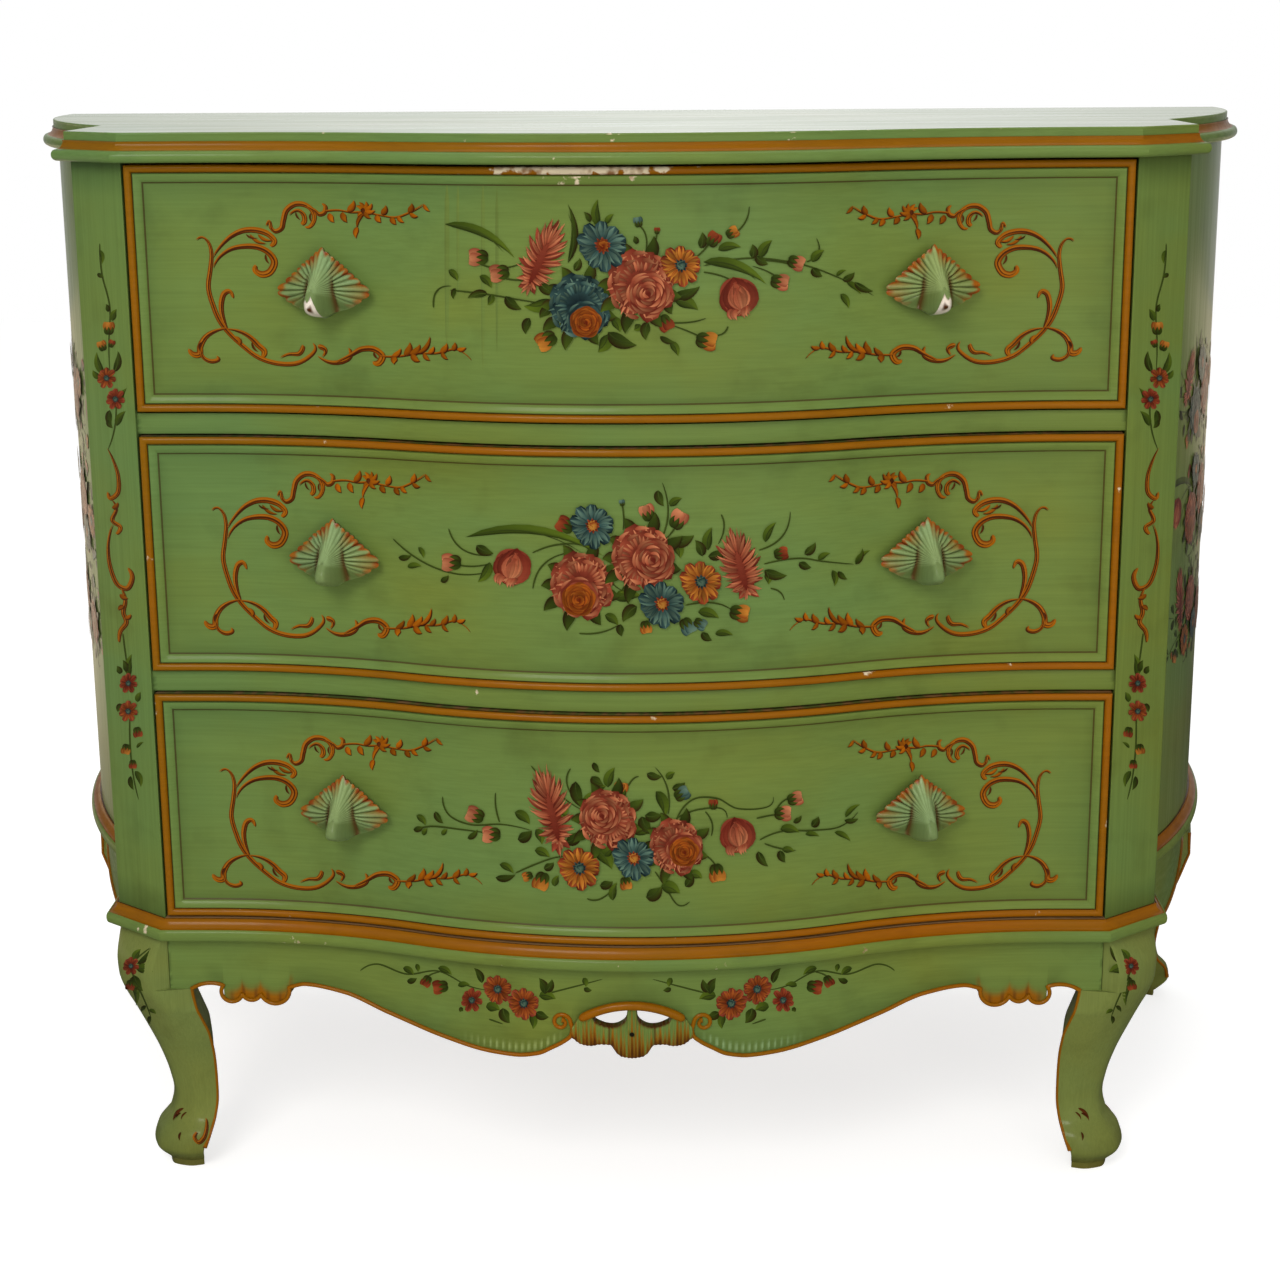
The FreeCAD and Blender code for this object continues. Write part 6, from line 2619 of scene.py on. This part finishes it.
BOTTOM_SPRAY = Spray(
    stems=(((443, 796), (449, 814), (470, 824), (502, 824), (531, 830)),
           ((417, 829), (431, 826), (461, 829), (490, 833)), ((531, 765), (558, 793), (581, 809)),
           ((571, 768), (567, 782), (578, 802)),
           ((676, 820), (693, 799), (717, 798), (737, 808), (770, 805), (773, 796)),
           ((676, 818), (699, 809), (723, 809), (727, 818)), ((705, 811), (712, 823), (711, 836)),
           ((668, 814), (667, 787), (655, 767)), ((756, 818), (770, 815), (784, 813)),
           ((776, 810), (784, 800), (794, 798)),
           ((759, 840), (781, 831), (811, 830), (840, 826), (858, 811)),
           ((764, 843), (780, 848), (796, 850)), ((515, 873), (552, 858), (564, 856)),
           ((587, 898), (599, 899), (617, 884)), ((655, 871), (664, 884), (679, 905), (690, 901)),
           ((702, 852), (716, 866), (717, 875)), ((628, 786), (634, 778), (639, 776)),
           ((500, 822), (496, 806), (496, 792))),
    leaves=((417, 815, 426, 825, 3.2), (414, 829, 424, 826, 3), (424, 835, 428, 828, 2.6),
            (436, 811, 444, 823, 3.2), (443, 835, 448, 829, 2.6), (468, 838, 478, 829, 3),
            (515, 812, 530, 824, 5), (518, 839, 532, 830, 5.5), (536, 829, 542, 844, 4.5),
            (576, 781, 584, 808, 6), (587, 808, 594, 791, 5), (592, 776, 604, 785, 5),
            (608, 787, 615, 767, 5), (594, 762, 600, 772, 3), (597, 790, 606, 786, 3.6),
            (566, 842, 582, 830, 6), (594, 848, 612, 869, 7), (642, 816, 652, 833, 6),
            (632, 832, 653, 833, 5), (645, 815, 662, 814, 5.5), (656, 791, 665, 816, 5.5),
            (647, 773, 662, 776, 4), (667, 779, 675, 772, 3.6), (672, 788, 685, 782, 4),
            (780, 829, 799, 832, 4.5), (793, 822, 801, 815, 2.6), (805, 834, 819, 836, 2.6),
            (811, 826, 818, 816, 4), (834, 832, 850, 841, 2.8), (844, 820, 858, 818, 2.6),
            (845, 817, 860, 804, 2.6), (780, 850, 785, 862, 4), (782, 850, 794, 851, 3.4),
            (758, 851, 768, 866, 4), (500, 864, 514, 873, 3.6), (496, 877, 516, 874, 3.6),
            (535, 850, 550, 857, 4.5), (544, 868, 554, 862, 4), (555, 886, 559, 875, 3.6),
            (600, 885, 613, 881, 4.5), (613, 900, 617, 882, 4), (646, 897, 662, 886, 6.5),
            (661, 886, 680, 893, 6.5), (685, 886, 692, 873, 4.5), (690, 873, 702, 878, 4.5),
            (553, 816, 562, 822, 5), (604, 856, 614, 848, 5)),
    buds=((474, 814, 7, 200, Hue.PINK), (490, 834, 7, 180, Hue.PINK), (683, 793, 6, 330, Hue.BLUE),
          (713, 803, 4, 270, Hue.RED), (796, 798, 6, 345, Hue.PINK), (784, 813, 6.5, 0, Hue.PINK),
          (541, 882, 7, 110, Hue.ORANGE), (527, 876, 4, 160, Hue.ORANGE), (626, 884, 5, 80, Hue.ORANGE),
          (717, 874, 7, 80, Hue.ORANGE), (621, 788, 6, 280, Hue.ORANGE), (563, 812, 4.5, 20, Hue.LEAF)),
    daisies=((580, 867, 22, Hue.ORANGE, Hue.TEAL), (634, 857, 22, Hue.BLUE, Hue.EYE)),
    roses=((608, 819, 29, Hue.PINK, 602, 815, 19, Hue.PINK),
           (676, 846, 27, Hue.PINK, 684, 851, 14, Hue.CORE)),
    tulips=((737, 834, 19, 80),),
    carnations=((561, 848, 542, 770, 17),))
APRON_SPRAY = Spray(
    stems=(((360, 971), (376, 964), (407, 974), (438, 971), (469, 986), (489, 990)),
           ((541, 995), (569, 988), (603, 979)), ((426, 978), (432, 974), (440, 972)),
           ((489, 1019), (503, 1024))),
    leaves=((403, 968, 414, 975, 3.4), (407, 981, 417, 978, 3), (438, 968, 452, 975, 3.4),
            (482, 983, 474, 968, 3.6), (458, 986, 470, 985, 3), (545, 994, 539, 978, 4.5),
            (539, 996, 556, 999, 5), (546, 992, 552, 979, 4), (583, 978, 586, 987, 3),
            (584, 988, 592, 990, 2.6), (486, 1007, 500, 1010, 5), (503, 1008, 510, 1023, 5.5),
            (531, 1014, 533, 1029, 4), (536, 1012, 549, 1017, 4.5), (416, 964, 418, 972, 2.4),
            (463, 1008, 460, 1012, 2.4)),
    buds=((426, 982, 4.5, 120, Hue.RED), (439, 987, 6, 170, Hue.RED)),
    daisies=((472, 1000, 12, Hue.RED, Hue.TEAL), (498, 989, 15, Hue.CORAL, Hue.TEAL),
             (524, 1003, 16.5, Hue.CORAL, Hue.TEAL)))
POST_SPRAY = Spray(
    stems=(((100, 243), (102, 273), (110, 307), (109, 345), (110, 372)),
           ((116, 400), (115, 427), (108, 450)), ((123, 633), (126, 656), (129, 676)),
           ((130, 715), (132, 765), (139, 800))),
    leaves=((100, 250, 102, 264, 2.2), (98, 273, 104, 277, 2.2), (113, 321, 117, 309, 3.4),
            (108, 312, 106, 304, 2.4), (104, 374, 97, 352, 3.6), (114, 372, 118, 351, 3.6),
            (100, 378, 93, 370, 3), (110, 410, 112, 428, 3.4), (117, 426, 126, 411, 3.6),
            (108, 420, 113, 428, 2.6), (120, 404, 127, 388, 2.8), (120, 674, 117, 666, 3),
            (130, 676, 132, 654, 3.8), (126, 672, 123, 660, 3), (138, 702, 141, 692, 3),
            (122, 704, 118, 712, 3), (135, 771, 141, 787, 3.2), (131, 776, 134, 790, 2.6),
            (137, 748, 144, 742, 1.6)),
    buds=((109, 327, 5, 270, Hue.ORANGE), (102, 345, 4, 250, Hue.ORANGE), (112, 343, 3, 290, Hue.RED),
          (138, 733, 4, 80, Hue.RED), (126, 750, 4, 100, Hue.ORANGE), (133, 765, 3.4, 90, Hue.RED)),
    daisies=((107, 378, 10.5, Hue.CORAL, Hue.TEAL), (116, 399, 10.5, Hue.RED, Hue.TEAL),
             (129, 683, 10, Hue.RED, Hue.TEAL), (129, 711, 10.5, Hue.CORAL, Hue.TEAL)))
KNEE_SPRAY = Spray(
    stems=(((130, 968), (137, 984), (146, 1004), (151, 1018)), ((133, 962), (142, 954), (150, 948))),
    leaves=((134, 961, 141, 949, 3.6), (137, 964, 152, 946, 3), (136, 969, 153, 972, 5),
            (134, 975, 143, 991, 5), (130, 978, 136, 1006, 3.4), (146, 1006, 141, 1012, 2),
            (149, 1010, 156, 1014, 2), (150, 1016, 150, 1024, 2)),
    buds=((130, 986, 4, 100, Hue.RED),),
    daisies=((131, 966, 9, Hue.RED, Hue.TEAL),))


@dataclass(frozen=True)
class Scrolls:
    """Gilt scrollwork: ribbons with umber shadows and highlights, and small leaves."""

    # Half width, brush, and the points of each ribbon
    ribbons: tuple[tuple[float, Brush, tuple[Spot, ...]], ...]
    # Start, end and half width of each leaf, and of each dark mark
    leaves: tuple[tuple[float, ...], ...] = ()
    marks: tuple[tuple[float, ...], ...] = ()
    line_share: float = 0.3
    shadow_shift: Spot = (1.0, 0.8)
    glint_shift: Spot = (-0.5, -0.6)
    shade_shift: Spot = (0.7, 0.8)
    leaf_shift: float = 0.9

    def paint(self, painter: Painter) -> None:
        """Paints all shadows, the ribbon, highlight and shade of each scroll, then the leaves and marks.

        Args:
            painter: where they go.
        """
        for width, brush, knots in self.ribbons:
            painter.ribbon(knots, width, Hue.SHADOW, brush, self.shadow_shift)
        for width, brush, knots in self.ribbons:
            painter.ribbon(knots, width, Hue.GILT, brush)
            painter.ribbon(knots, self.line_share * width, Hue.GLINT, brush, self.glint_shift)
            painter.ribbon(knots, self.line_share * width, Hue.SHADOW, Brush.LEAF, self.shade_shift)
        layers = ((self.leaves, Hue.SHADOW, self.leaf_shift), (self.leaves, Hue.GILT, 0.0),
                  (self.marks, Hue.SHADOW, 0.0))
        for rows, hue, shift in layers:
            table = np.array(rows, float).reshape(-1, 5)
            painter.strokes(table[:, :2] + shift, table[:, 2:4] + shift, bow=0.15, width=table[:, 4],
                            brush=Brush.LEAF, hue=hue, vary=0.35)


CARTOUCHE = Scrolls(
    ribbons=((2.3, Brush.SCROLL, ((196, 240), (202, 237), (208, 242), (211, 253), (210, 268), (208, 287),
                                  (213, 306), (219, 320), (228, 332), (243, 346), (258, 357), (277, 363),
                                  (296, 363), (308, 357), (315, 349), (313, 343))),
             (2.8, Brush.CURL, ((213, 257), (221, 245), (232, 235), (244, 230), (257, 230), (268, 234),
                                (274, 241), (270, 246))),
             (3.2, Brush.CURL, ((213, 268), (219, 257), (230, 249), (244, 246), (258, 247), (269, 253),
                                (274, 262), (269, 272), (261, 274), (255, 270), (256, 265))),
             (2.4, Brush.SCROLL, ((266, 226), (269, 221), (271, 228), (275, 231), (281, 228), (283, 220),
                                  (286, 210), (294, 204), (303, 204), (311, 209), (314, 218), (310, 226),
                                  (305, 227))),
             (2.2, Brush.CURL, ((289, 215), (297, 210), (303, 214), (304, 221), (301, 224))),
             (2.0, Brush.SCROLL, ((307, 206), (314, 210), (319, 214), (324, 212), (325, 206), (322, 204))),
             (0.8, Brush.LINE, ((325, 211), (339, 210), (350, 212), (364, 212), (380, 215), (396, 217),
                                (408, 213), (416, 209), (424, 204))),
             (2.8, Brush.CURL, ((228, 328), (214, 331), (205, 337), (200, 346), (199, 354), (193, 354),
                                (189, 349))),
             (1.9, Brush.SCROLL, ((200, 346), (203, 357), (211, 361), (218, 359), (217, 356))),
             (2.8, Brush.CURL, ((227, 329), (239, 331), (250, 337), (258, 345), (264, 351), (262, 357))),
             (2.3, Brush.SCROLL, ((227, 328), (222, 315), (221, 303), (224, 293), (229, 291), (233, 298))),
             (2.0, Brush.COMMA, ((303, 345), (299, 353), (288, 354), (280, 358))),
             (2.4, Brush.COMMA, ((318, 346), (325, 350), (322, 357))),
             (2.0, Brush.SCROLL, ((318, 356), (330, 362), (343, 361), (350, 356), (349, 348))),
             (3.0, Brush.CURL, ((336, 362), (350, 355), (361, 349), (374, 349), (382, 356), (378, 363),
                                (373, 362))),
             (0.8, Brush.LINE, ((380, 356), (399, 356), (418, 353), (436, 353), (455, 349), (464, 353),
                                (471, 360)))),
    leaves=((250, 234, 266, 243, 1.6), (258, 234, 272, 240, 1.6), (330, 213, 334, 222, 3),
            (343, 212, 347, 222, 3), (347, 211, 354, 200, 3), (364, 211, 356, 206, 2.2),
            (364, 211, 359, 202, 2.2), (364, 211, 366, 201, 2.2), (364, 211, 372, 203, 2.2),
            (364, 211, 375, 210, 2.2), (364, 211, 371, 218, 2.2), (364, 212, 358, 218, 2.2),
            (364, 213, 357, 228, 1.6), (358, 227, 356, 238, 2.4), (377, 215, 381, 222, 3),
            (381, 214, 386, 205, 2.8), (392, 217, 396, 224, 2.8), (398, 216, 404, 222, 2.2),
            (408, 212, 412, 203, 2.8), (410, 213, 418, 216, 2.2), (424, 204, 430, 211, 1.8),
            (396, 356, 394, 364, 3.2), (392, 356, 401, 348, 2.4), (404, 355, 410, 342, 3.2),
            (410, 354, 420, 344, 3), (412, 354, 420, 361, 3), (418, 353, 430, 336, 2),
            (424, 353, 430, 360, 2.2), (428, 353, 434, 346, 2.2), (440, 352, 447, 343, 2.8),
            (442, 352, 448, 359, 2), (452, 350, 455, 342, 2.4), (457, 349, 466, 347, 2),
            (240, 344, 236, 336, 1.8)),
    marks=((246, 234, 258, 238, 1.0), (296, 212, 301, 220, 1.0), (311, 213, 312, 222, 1.0),
           (266, 254, 270, 264, 1.2), (364, 208, 364, 214, 2.2), (252, 342, 259, 352, 1.2),
           (202, 342, 200, 351, 1.2), (374, 352, 379, 359, 1.2)))
KNEE_SCROLL = Scrolls(
    ribbons=((1.8, Brush.SCROLL, ((206, 1118), (206, 1129), (203, 1138), (198, 1142), (194, 1137),
                                  (197, 1132))),),
    marks=((184, 1108, 173, 1121, 1.6), (181, 1113, 174, 1119, 1.2), (187, 1112, 181, 1120, 0.9),
           (181, 1132, 180, 1141, 1.1)))
POST_SCROLL = Scrolls(
    ribbons=((1.9, Brush.CURL, ((107, 448), (113, 460), (118, 477), (117, 493), (110, 498), (108, 492))),
             (1.9, Brush.CURL, ((110, 498), (116, 508), (112, 520), (120, 527), (116, 534))),
             (2.2, Brush.CURL, ((113, 524), (108, 543), (110, 567), (118, 585), (127, 588), (132, 577),
                                (128, 568))),
             (2.0, Brush.SCROLL, ((121, 588), (125, 600), (123, 612), (126, 622), (120, 631), (119, 642)))),
    leaves=((120, 594, 128, 598, 2.2), (124, 606, 118, 610, 2), (125, 618, 131, 614, 2),
            (112, 508, 118, 502, 2)))


@dataclass
class Decoration:
    """Painted sprays and scrollwork on the drawers, posts, apron, knees and sides."""

    # Left, top, right and bottom of a cartouche: as drawn, and on the left and right of each drawer
    drawn_box: tuple[float, ...] = (188.0, 202.0, 471.0, 368.0)
    boxes: tuple[tuple[Drawer, tuple[float, ...], tuple[float, ...]], ...] = (
        (Drawer.TOP, (188.0, 202.0, 471.0, 368.0), (806.0, 204.0, 1082.0, 366.0)),
        (Drawer.MIDDLE, (204.0, 472.0, 470.0, 640.0), (790.0, 472.0, 1056.0, 638.0)),
        (Drawer.BOTTOM, (212.0, 736.0, 482.0, 892.0), (812.0, 738.0, 1058.0, 892.0)))
    # Runs of old varnish on the top drawer: place across, start, end and half width
    drips: tuple[tuple[float, ...], ...] = ((447.0, 182.0, 352.0, 2.4), (458.0, 184.0, 300.0, 1.4),
                                            (483.0, 182.0, 374.0, 2.0), (497.0, 186.0, 356.0, 1.5))
    # Sums of two mirrored places across the frame
    apron_mirror: float = 1255.0
    post_mirror: float = 1266.0
    knee_mirror: float = 1262.0
    # Bouquet of the sides: a spray, its middle as drawn, its height, the length of a pixel, and its name
    side_sprays: tuple[tuple[Spray, Spot, float, float, str], ...] = (
        (TOP_SPRAY, (640.0, 285.0), 0.622, 0.00066, "upper"),
        (BOTTOM_SPRAY, (638.0, 832.0), 0.428, 0.00070, "lower"),
        (MIDDLE_SPRAY, (632.0, 560.0), 0.530, 0.00071, "middle"))

    def carried_box(self, box: Sequence[float], flip: bool) -> Callable[[Array], Array]:
        """Move from the drawn cartouche's box to another, mirrored or not.

        Args:
            box: left, top, right and bottom.
            flip: mirrors it across.

        Returns:
            Function of places in the frame.
        """
        low, high = np.array(self.drawn_box[:2]), np.array(self.drawn_box[2:])
        first, last = np.array(box[:2]), np.array(box[2:])
        if flip:
            first[0], last[0] = last[0], first[0]
        return lambda places: first + (places - low) / (high - low) * (last - first)

    def drawers(self, finishes: Finishes) -> None:
        """A bouquet between two cartouches on every drawer.

        Args:
            finishes: shared materials.
        """
        sprays = {Drawer.TOP: TOP_SPRAY, Drawer.MIDDLE: MIDDLE_SPRAY, Drawer.BOTTOM: BOTTOM_SPRAY}
        sight = FrontSight(offset=DrawerFront().panel_offset)
        for drawer, left, right in self.boxes:
            painter = Painter()
            if drawer is Drawer.TOP:
                rows = np.array(self.drips)
                painter.strokes(rows[:, :2], rows[:, [0, 2]], bow=0.0, width=rows[:, 3], brush=Brush.LINE,
                                hue=Hue.DRIP, vary=0.1)
            for box, flip in ((left, False), (right, True)):
                painter.fit = self.carried_box(box, flip)
                CARTOUCHE.paint(painter)
            painter.fit = None
            sprays[drawer].paint(painter)
            painter.build(drawer.body + "_flowers", sight, finishes.brushed, drawer.body)

    @staticmethod
    def flipped(mirror: float) -> Callable[[Array], Array]:
        """Move to the mirrored place across the frame, given the sum of two such places."""
        return lambda places: places * (-1.0, 1.0) + (mirror, 0.0)

    def mirrored_pair(self, name: str, motifs: Sequence[Spray | Scrolls], mirror: float,
                      sights: dict[str, Sight], finishes: Finishes) -> None:
        """Motifs on the left, and their mirror image on the right.

        Args:
            name: what they are called.
            motifs: sprays and scrolls, drawn on the left.
            mirror: sum of two mirrored places across the frame.
            sights: what carries them on each side.
            finishes: shared materials.
        """
        for side, sight in sights.items():
            painter = Painter(self.flipped(mirror) if SIDES[side] > 0 else None)
            for motif in motifs:
                motif.paint(painter)
            painter.build("%s_%s" % (side, name), sight, finishes.brushed, "carcass")

    def build(self, finishes: Finishes) -> None:
        """Paints every drawer, post, apron end, knee and side.

        Args:
            finishes: shared materials.
        """
        self.drawers(finishes)
        apron = {side: FrontSight(offset=-FrontApron().setback) for side in SIDES}
        posts = {side: PostSight(way) for side, way in SIDES.items()}
        knees = {side: LegSight(way) for side, way in SIDES.items()}
        self.mirrored_pair("apron_flowers", (APRON_SPRAY,), self.apron_mirror, apron, finishes)
        self.mirrored_pair("post_flowers", (POST_SCROLL, POST_SPRAY), self.post_mirror, posts, finishes)
        self.mirrored_pair("knee_flowers", (KNEE_SPRAY, KNEE_SCROLL), self.knee_mirror, knees, finishes)
        for side, way in SIDES.items():
            for spray, middle, height, size, place in self.side_sprays:
                painter = Painter()
                spray.paint(painter)
                wrap = SideWrap(way, middle, height, size)
                painter.build("%s_%s_side_flowers" % (side, place), wrap, finishes.sides, "carcass")


@dataclass(frozen=True)
class Lamp:
    """Soft square lamp."""

    name: str
    place: tuple[float, float, float]
    aim: tuple[float, float, float]
    size: float
    watts: float
    tone: tuple[float, float, float]
    # It shows in shiny paint
    mirrors: bool = True

    def hang(self) -> None:
        """Makes the lamp, turned from its place to its aim."""
        data = bpy.data.lights.new(self.name, "AREA")
        data.size = self.size
        data.energy = self.watts
        data.color = self.tone
        lamp = bpy.data.objects.new(self.name, data)
        lamp.visible_glossy = self.mirrors
        away = unit(np.array(self.place) - np.array(self.aim))
        right = unit(np.cross(np.array([0.0, 0.0, 1.0]), away))
        set_up(lamp, (right, np.cross(away, right), away), self.place)


@dataclass
class Studio:
    """Pale floor, surroundings and soft light."""

    floor_half: float = 6.0
    floor_tone: float = 0.62
    floor_roughness: float = 0.9
    floor_shine: float = 0.1
    floor_glow: float = 0.68
    mirrored_floor: float = 0.08
    sky: float = 0.5
    seen_sky: float = 1.0
    room: float = 0.12
    glare: float = 1.38
    glare_fall: float = 1.25
    # Floor behind the commode as shiny paint shows it: lean to the left, start, where it is full, light
    glare_left: float = 0.6
    glare_start: float = 1.2
    glare_full: float = 2.6
    floor_glare: float = 1.0
    glare_tone: tuple[float, float, float] = (1.0, 0.84, 0.6)
    white: tuple[float, float, float] = (1.0, 1.0, 1.0)
    lamps: tuple[Lamp, ...] = (
        Lamp("key", (-0.9, -3.0, 2.5), (0.0, -0.2, 0.45), 1.4, 58.0, (1.0, 0.97, 0.92)),
        Lamp("fill", (0.9, -3.0, 0.8), (0.0, -0.1, 0.35), 1.8, 30.0, (1.0, 0.98, 0.94), mirrors=False),
        Lamp("over", (0.0, 0.4, 2.9), (0.0, 0.0, 0.6), 2.0, 20.0, (1.0, 1.0, 1.0)))

    def floor(self) -> None:
        """Pale floor under the legs, dark where shiny paint mirrors it, but bright and tan far behind."""
        half = self.floor_half
        corners = [(-half, -half, 0.0), (half, -half, 0.0), (half, half, 0.0), (-half, half, 0.0)]
        mesh = bpy.data.meshes.new("floor")
        mesh.from_pydata(corners, [], [(0, 1, 2, 3)])
        tree = NodeTree(bpy.data.materials.new("floor"))
        path = tree.node("ShaderNodeLightPath")
        seen, mirrored_ray = path.outputs["Is Camera Ray"], path.outputs["Is Glossy Ray"]
        tone = tree.mix(mirrored_ray, (self.floor_tone,) * 3, (self.mirrored_floor,) * 3)
        tree.feed(Base_Color=tone, Roughness=self.floor_roughness, Specular_IOR_Level=self.floor_shine)
        behind = tree.ramp(tree.slope((-self.glare_left, 1.0, 0.0), 0.0), self.glare_start, self.glare_full,
                           to_high=self.floor_glare)
        shown = tree.math("ADD", tree.math("MULTIPLY", seen, self.floor_glow),
                          tree.math("MULTIPLY", mirrored_ray, behind))
        hue = tree.mix(mirrored_ray, self.white, self.glare_tone)
        lit = tree.node("ShaderNodeEmission", {"Color": hue, "Strength": shown})
        both = tree.node("ShaderNodeAddShader", {0: tree.shader.outputs[0], 1: lit.outputs[0]})
        tree.wire(tree.tree.nodes["Material Output"].inputs["Surface"], both.outputs[0])
        mesh.materials.append(tree.owner)
        floor = bpy.data.objects.new("floor", mesh)
        bpy.context.scene.collection.objects.link(floor)

    def surroundings(self) -> None:
        """Even pale surroundings, white where they are seen.

        Shiny paint mirrors them as a dim room with a bright wall behind, which falls off to either side.
        """
        world = bpy.data.worlds.new("surroundings")
        bpy.context.scene.world = world
        tree = NodeTree(world, "Background")
        path = tree.node("ShaderNodeLightPath")
        place = tree.node("ShaderNodeTexCoord")
        parts = tree.node("ShaderNodeSeparateXYZ", {0: place.outputs["Generated"]})
        aside = tree.math("ABSOLUTE", parts.outputs["X"])
        behind = tree.math("MULTIPLY_ADD", aside, -self.glare_fall, parts.outputs["Y"])
        mirror = tree.ramp(behind, 0.0, 1.0, self.room, self.glare)
        glossy = tree.node("ShaderNodeMix", {"Factor": path.outputs["Is Glossy Ray"], "A": self.sky,
                                             "B": mirror})
        level = tree.node("ShaderNodeMix", {"Factor": path.outputs["Is Camera Ray"], "A": glossy.outputs[0],
                                            "B": self.seen_sky})
        tree.feed(Color=(*self.white, 1.0), Strength=level.outputs[0])

    def build(self) -> None:
        """Floor, surroundings and lamps."""
        self.floor()
        self.surroundings()
        for lamp in self.lamps:
            lamp.hang()


def dress_hidden_nodes(finishes: Finishes) -> None:
    """Gives every CAD node that still shows its bare wood.

    Args:
        finishes: shared materials.
    """
    across = ["bottom_board", "back_panel", "top_rail", "rear_apron"]
    upright = [side + "_rear_post" for side in SIDES]
    deep = []
    for level in ("bottom", "middle", "top"):
        deep += [side + "_" + level + "_runner" for side in SIDES]
        deep += [level + "_drawer_" + side + "_side" for side in SIDES]
        across += [level + "_drawer_back", level + "_drawer_bottom"]
    for names, material in ((across, finishes.wood_across), (upright, finishes.wood_upright),
                            (deep, finishes.wood_deep)):
        for name in names:
            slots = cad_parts[name].data.materials
            slots.clear()
            slots.append(material)


def main() -> None:
    logging.basicConfig(level=logging.INFO, format="%(name)s: %(message)s")
    bpy.context.scene.view_settings.view_transform = "Standard"
    finishes = Finishes.mixed()
    for part in (TopBoard(), BaseMoulding(), Carcass(), DrawerFront(), LeafPull(), FrontApron(),
                 PiercedShell(), SideApron(), CabrioleLeg(), Decoration()):
        part.build(finishes)
    dress_hidden_nodes(finishes)
    PhotoCamera().place()
    Studio().build()


if __name__ == "__main__":
    main()
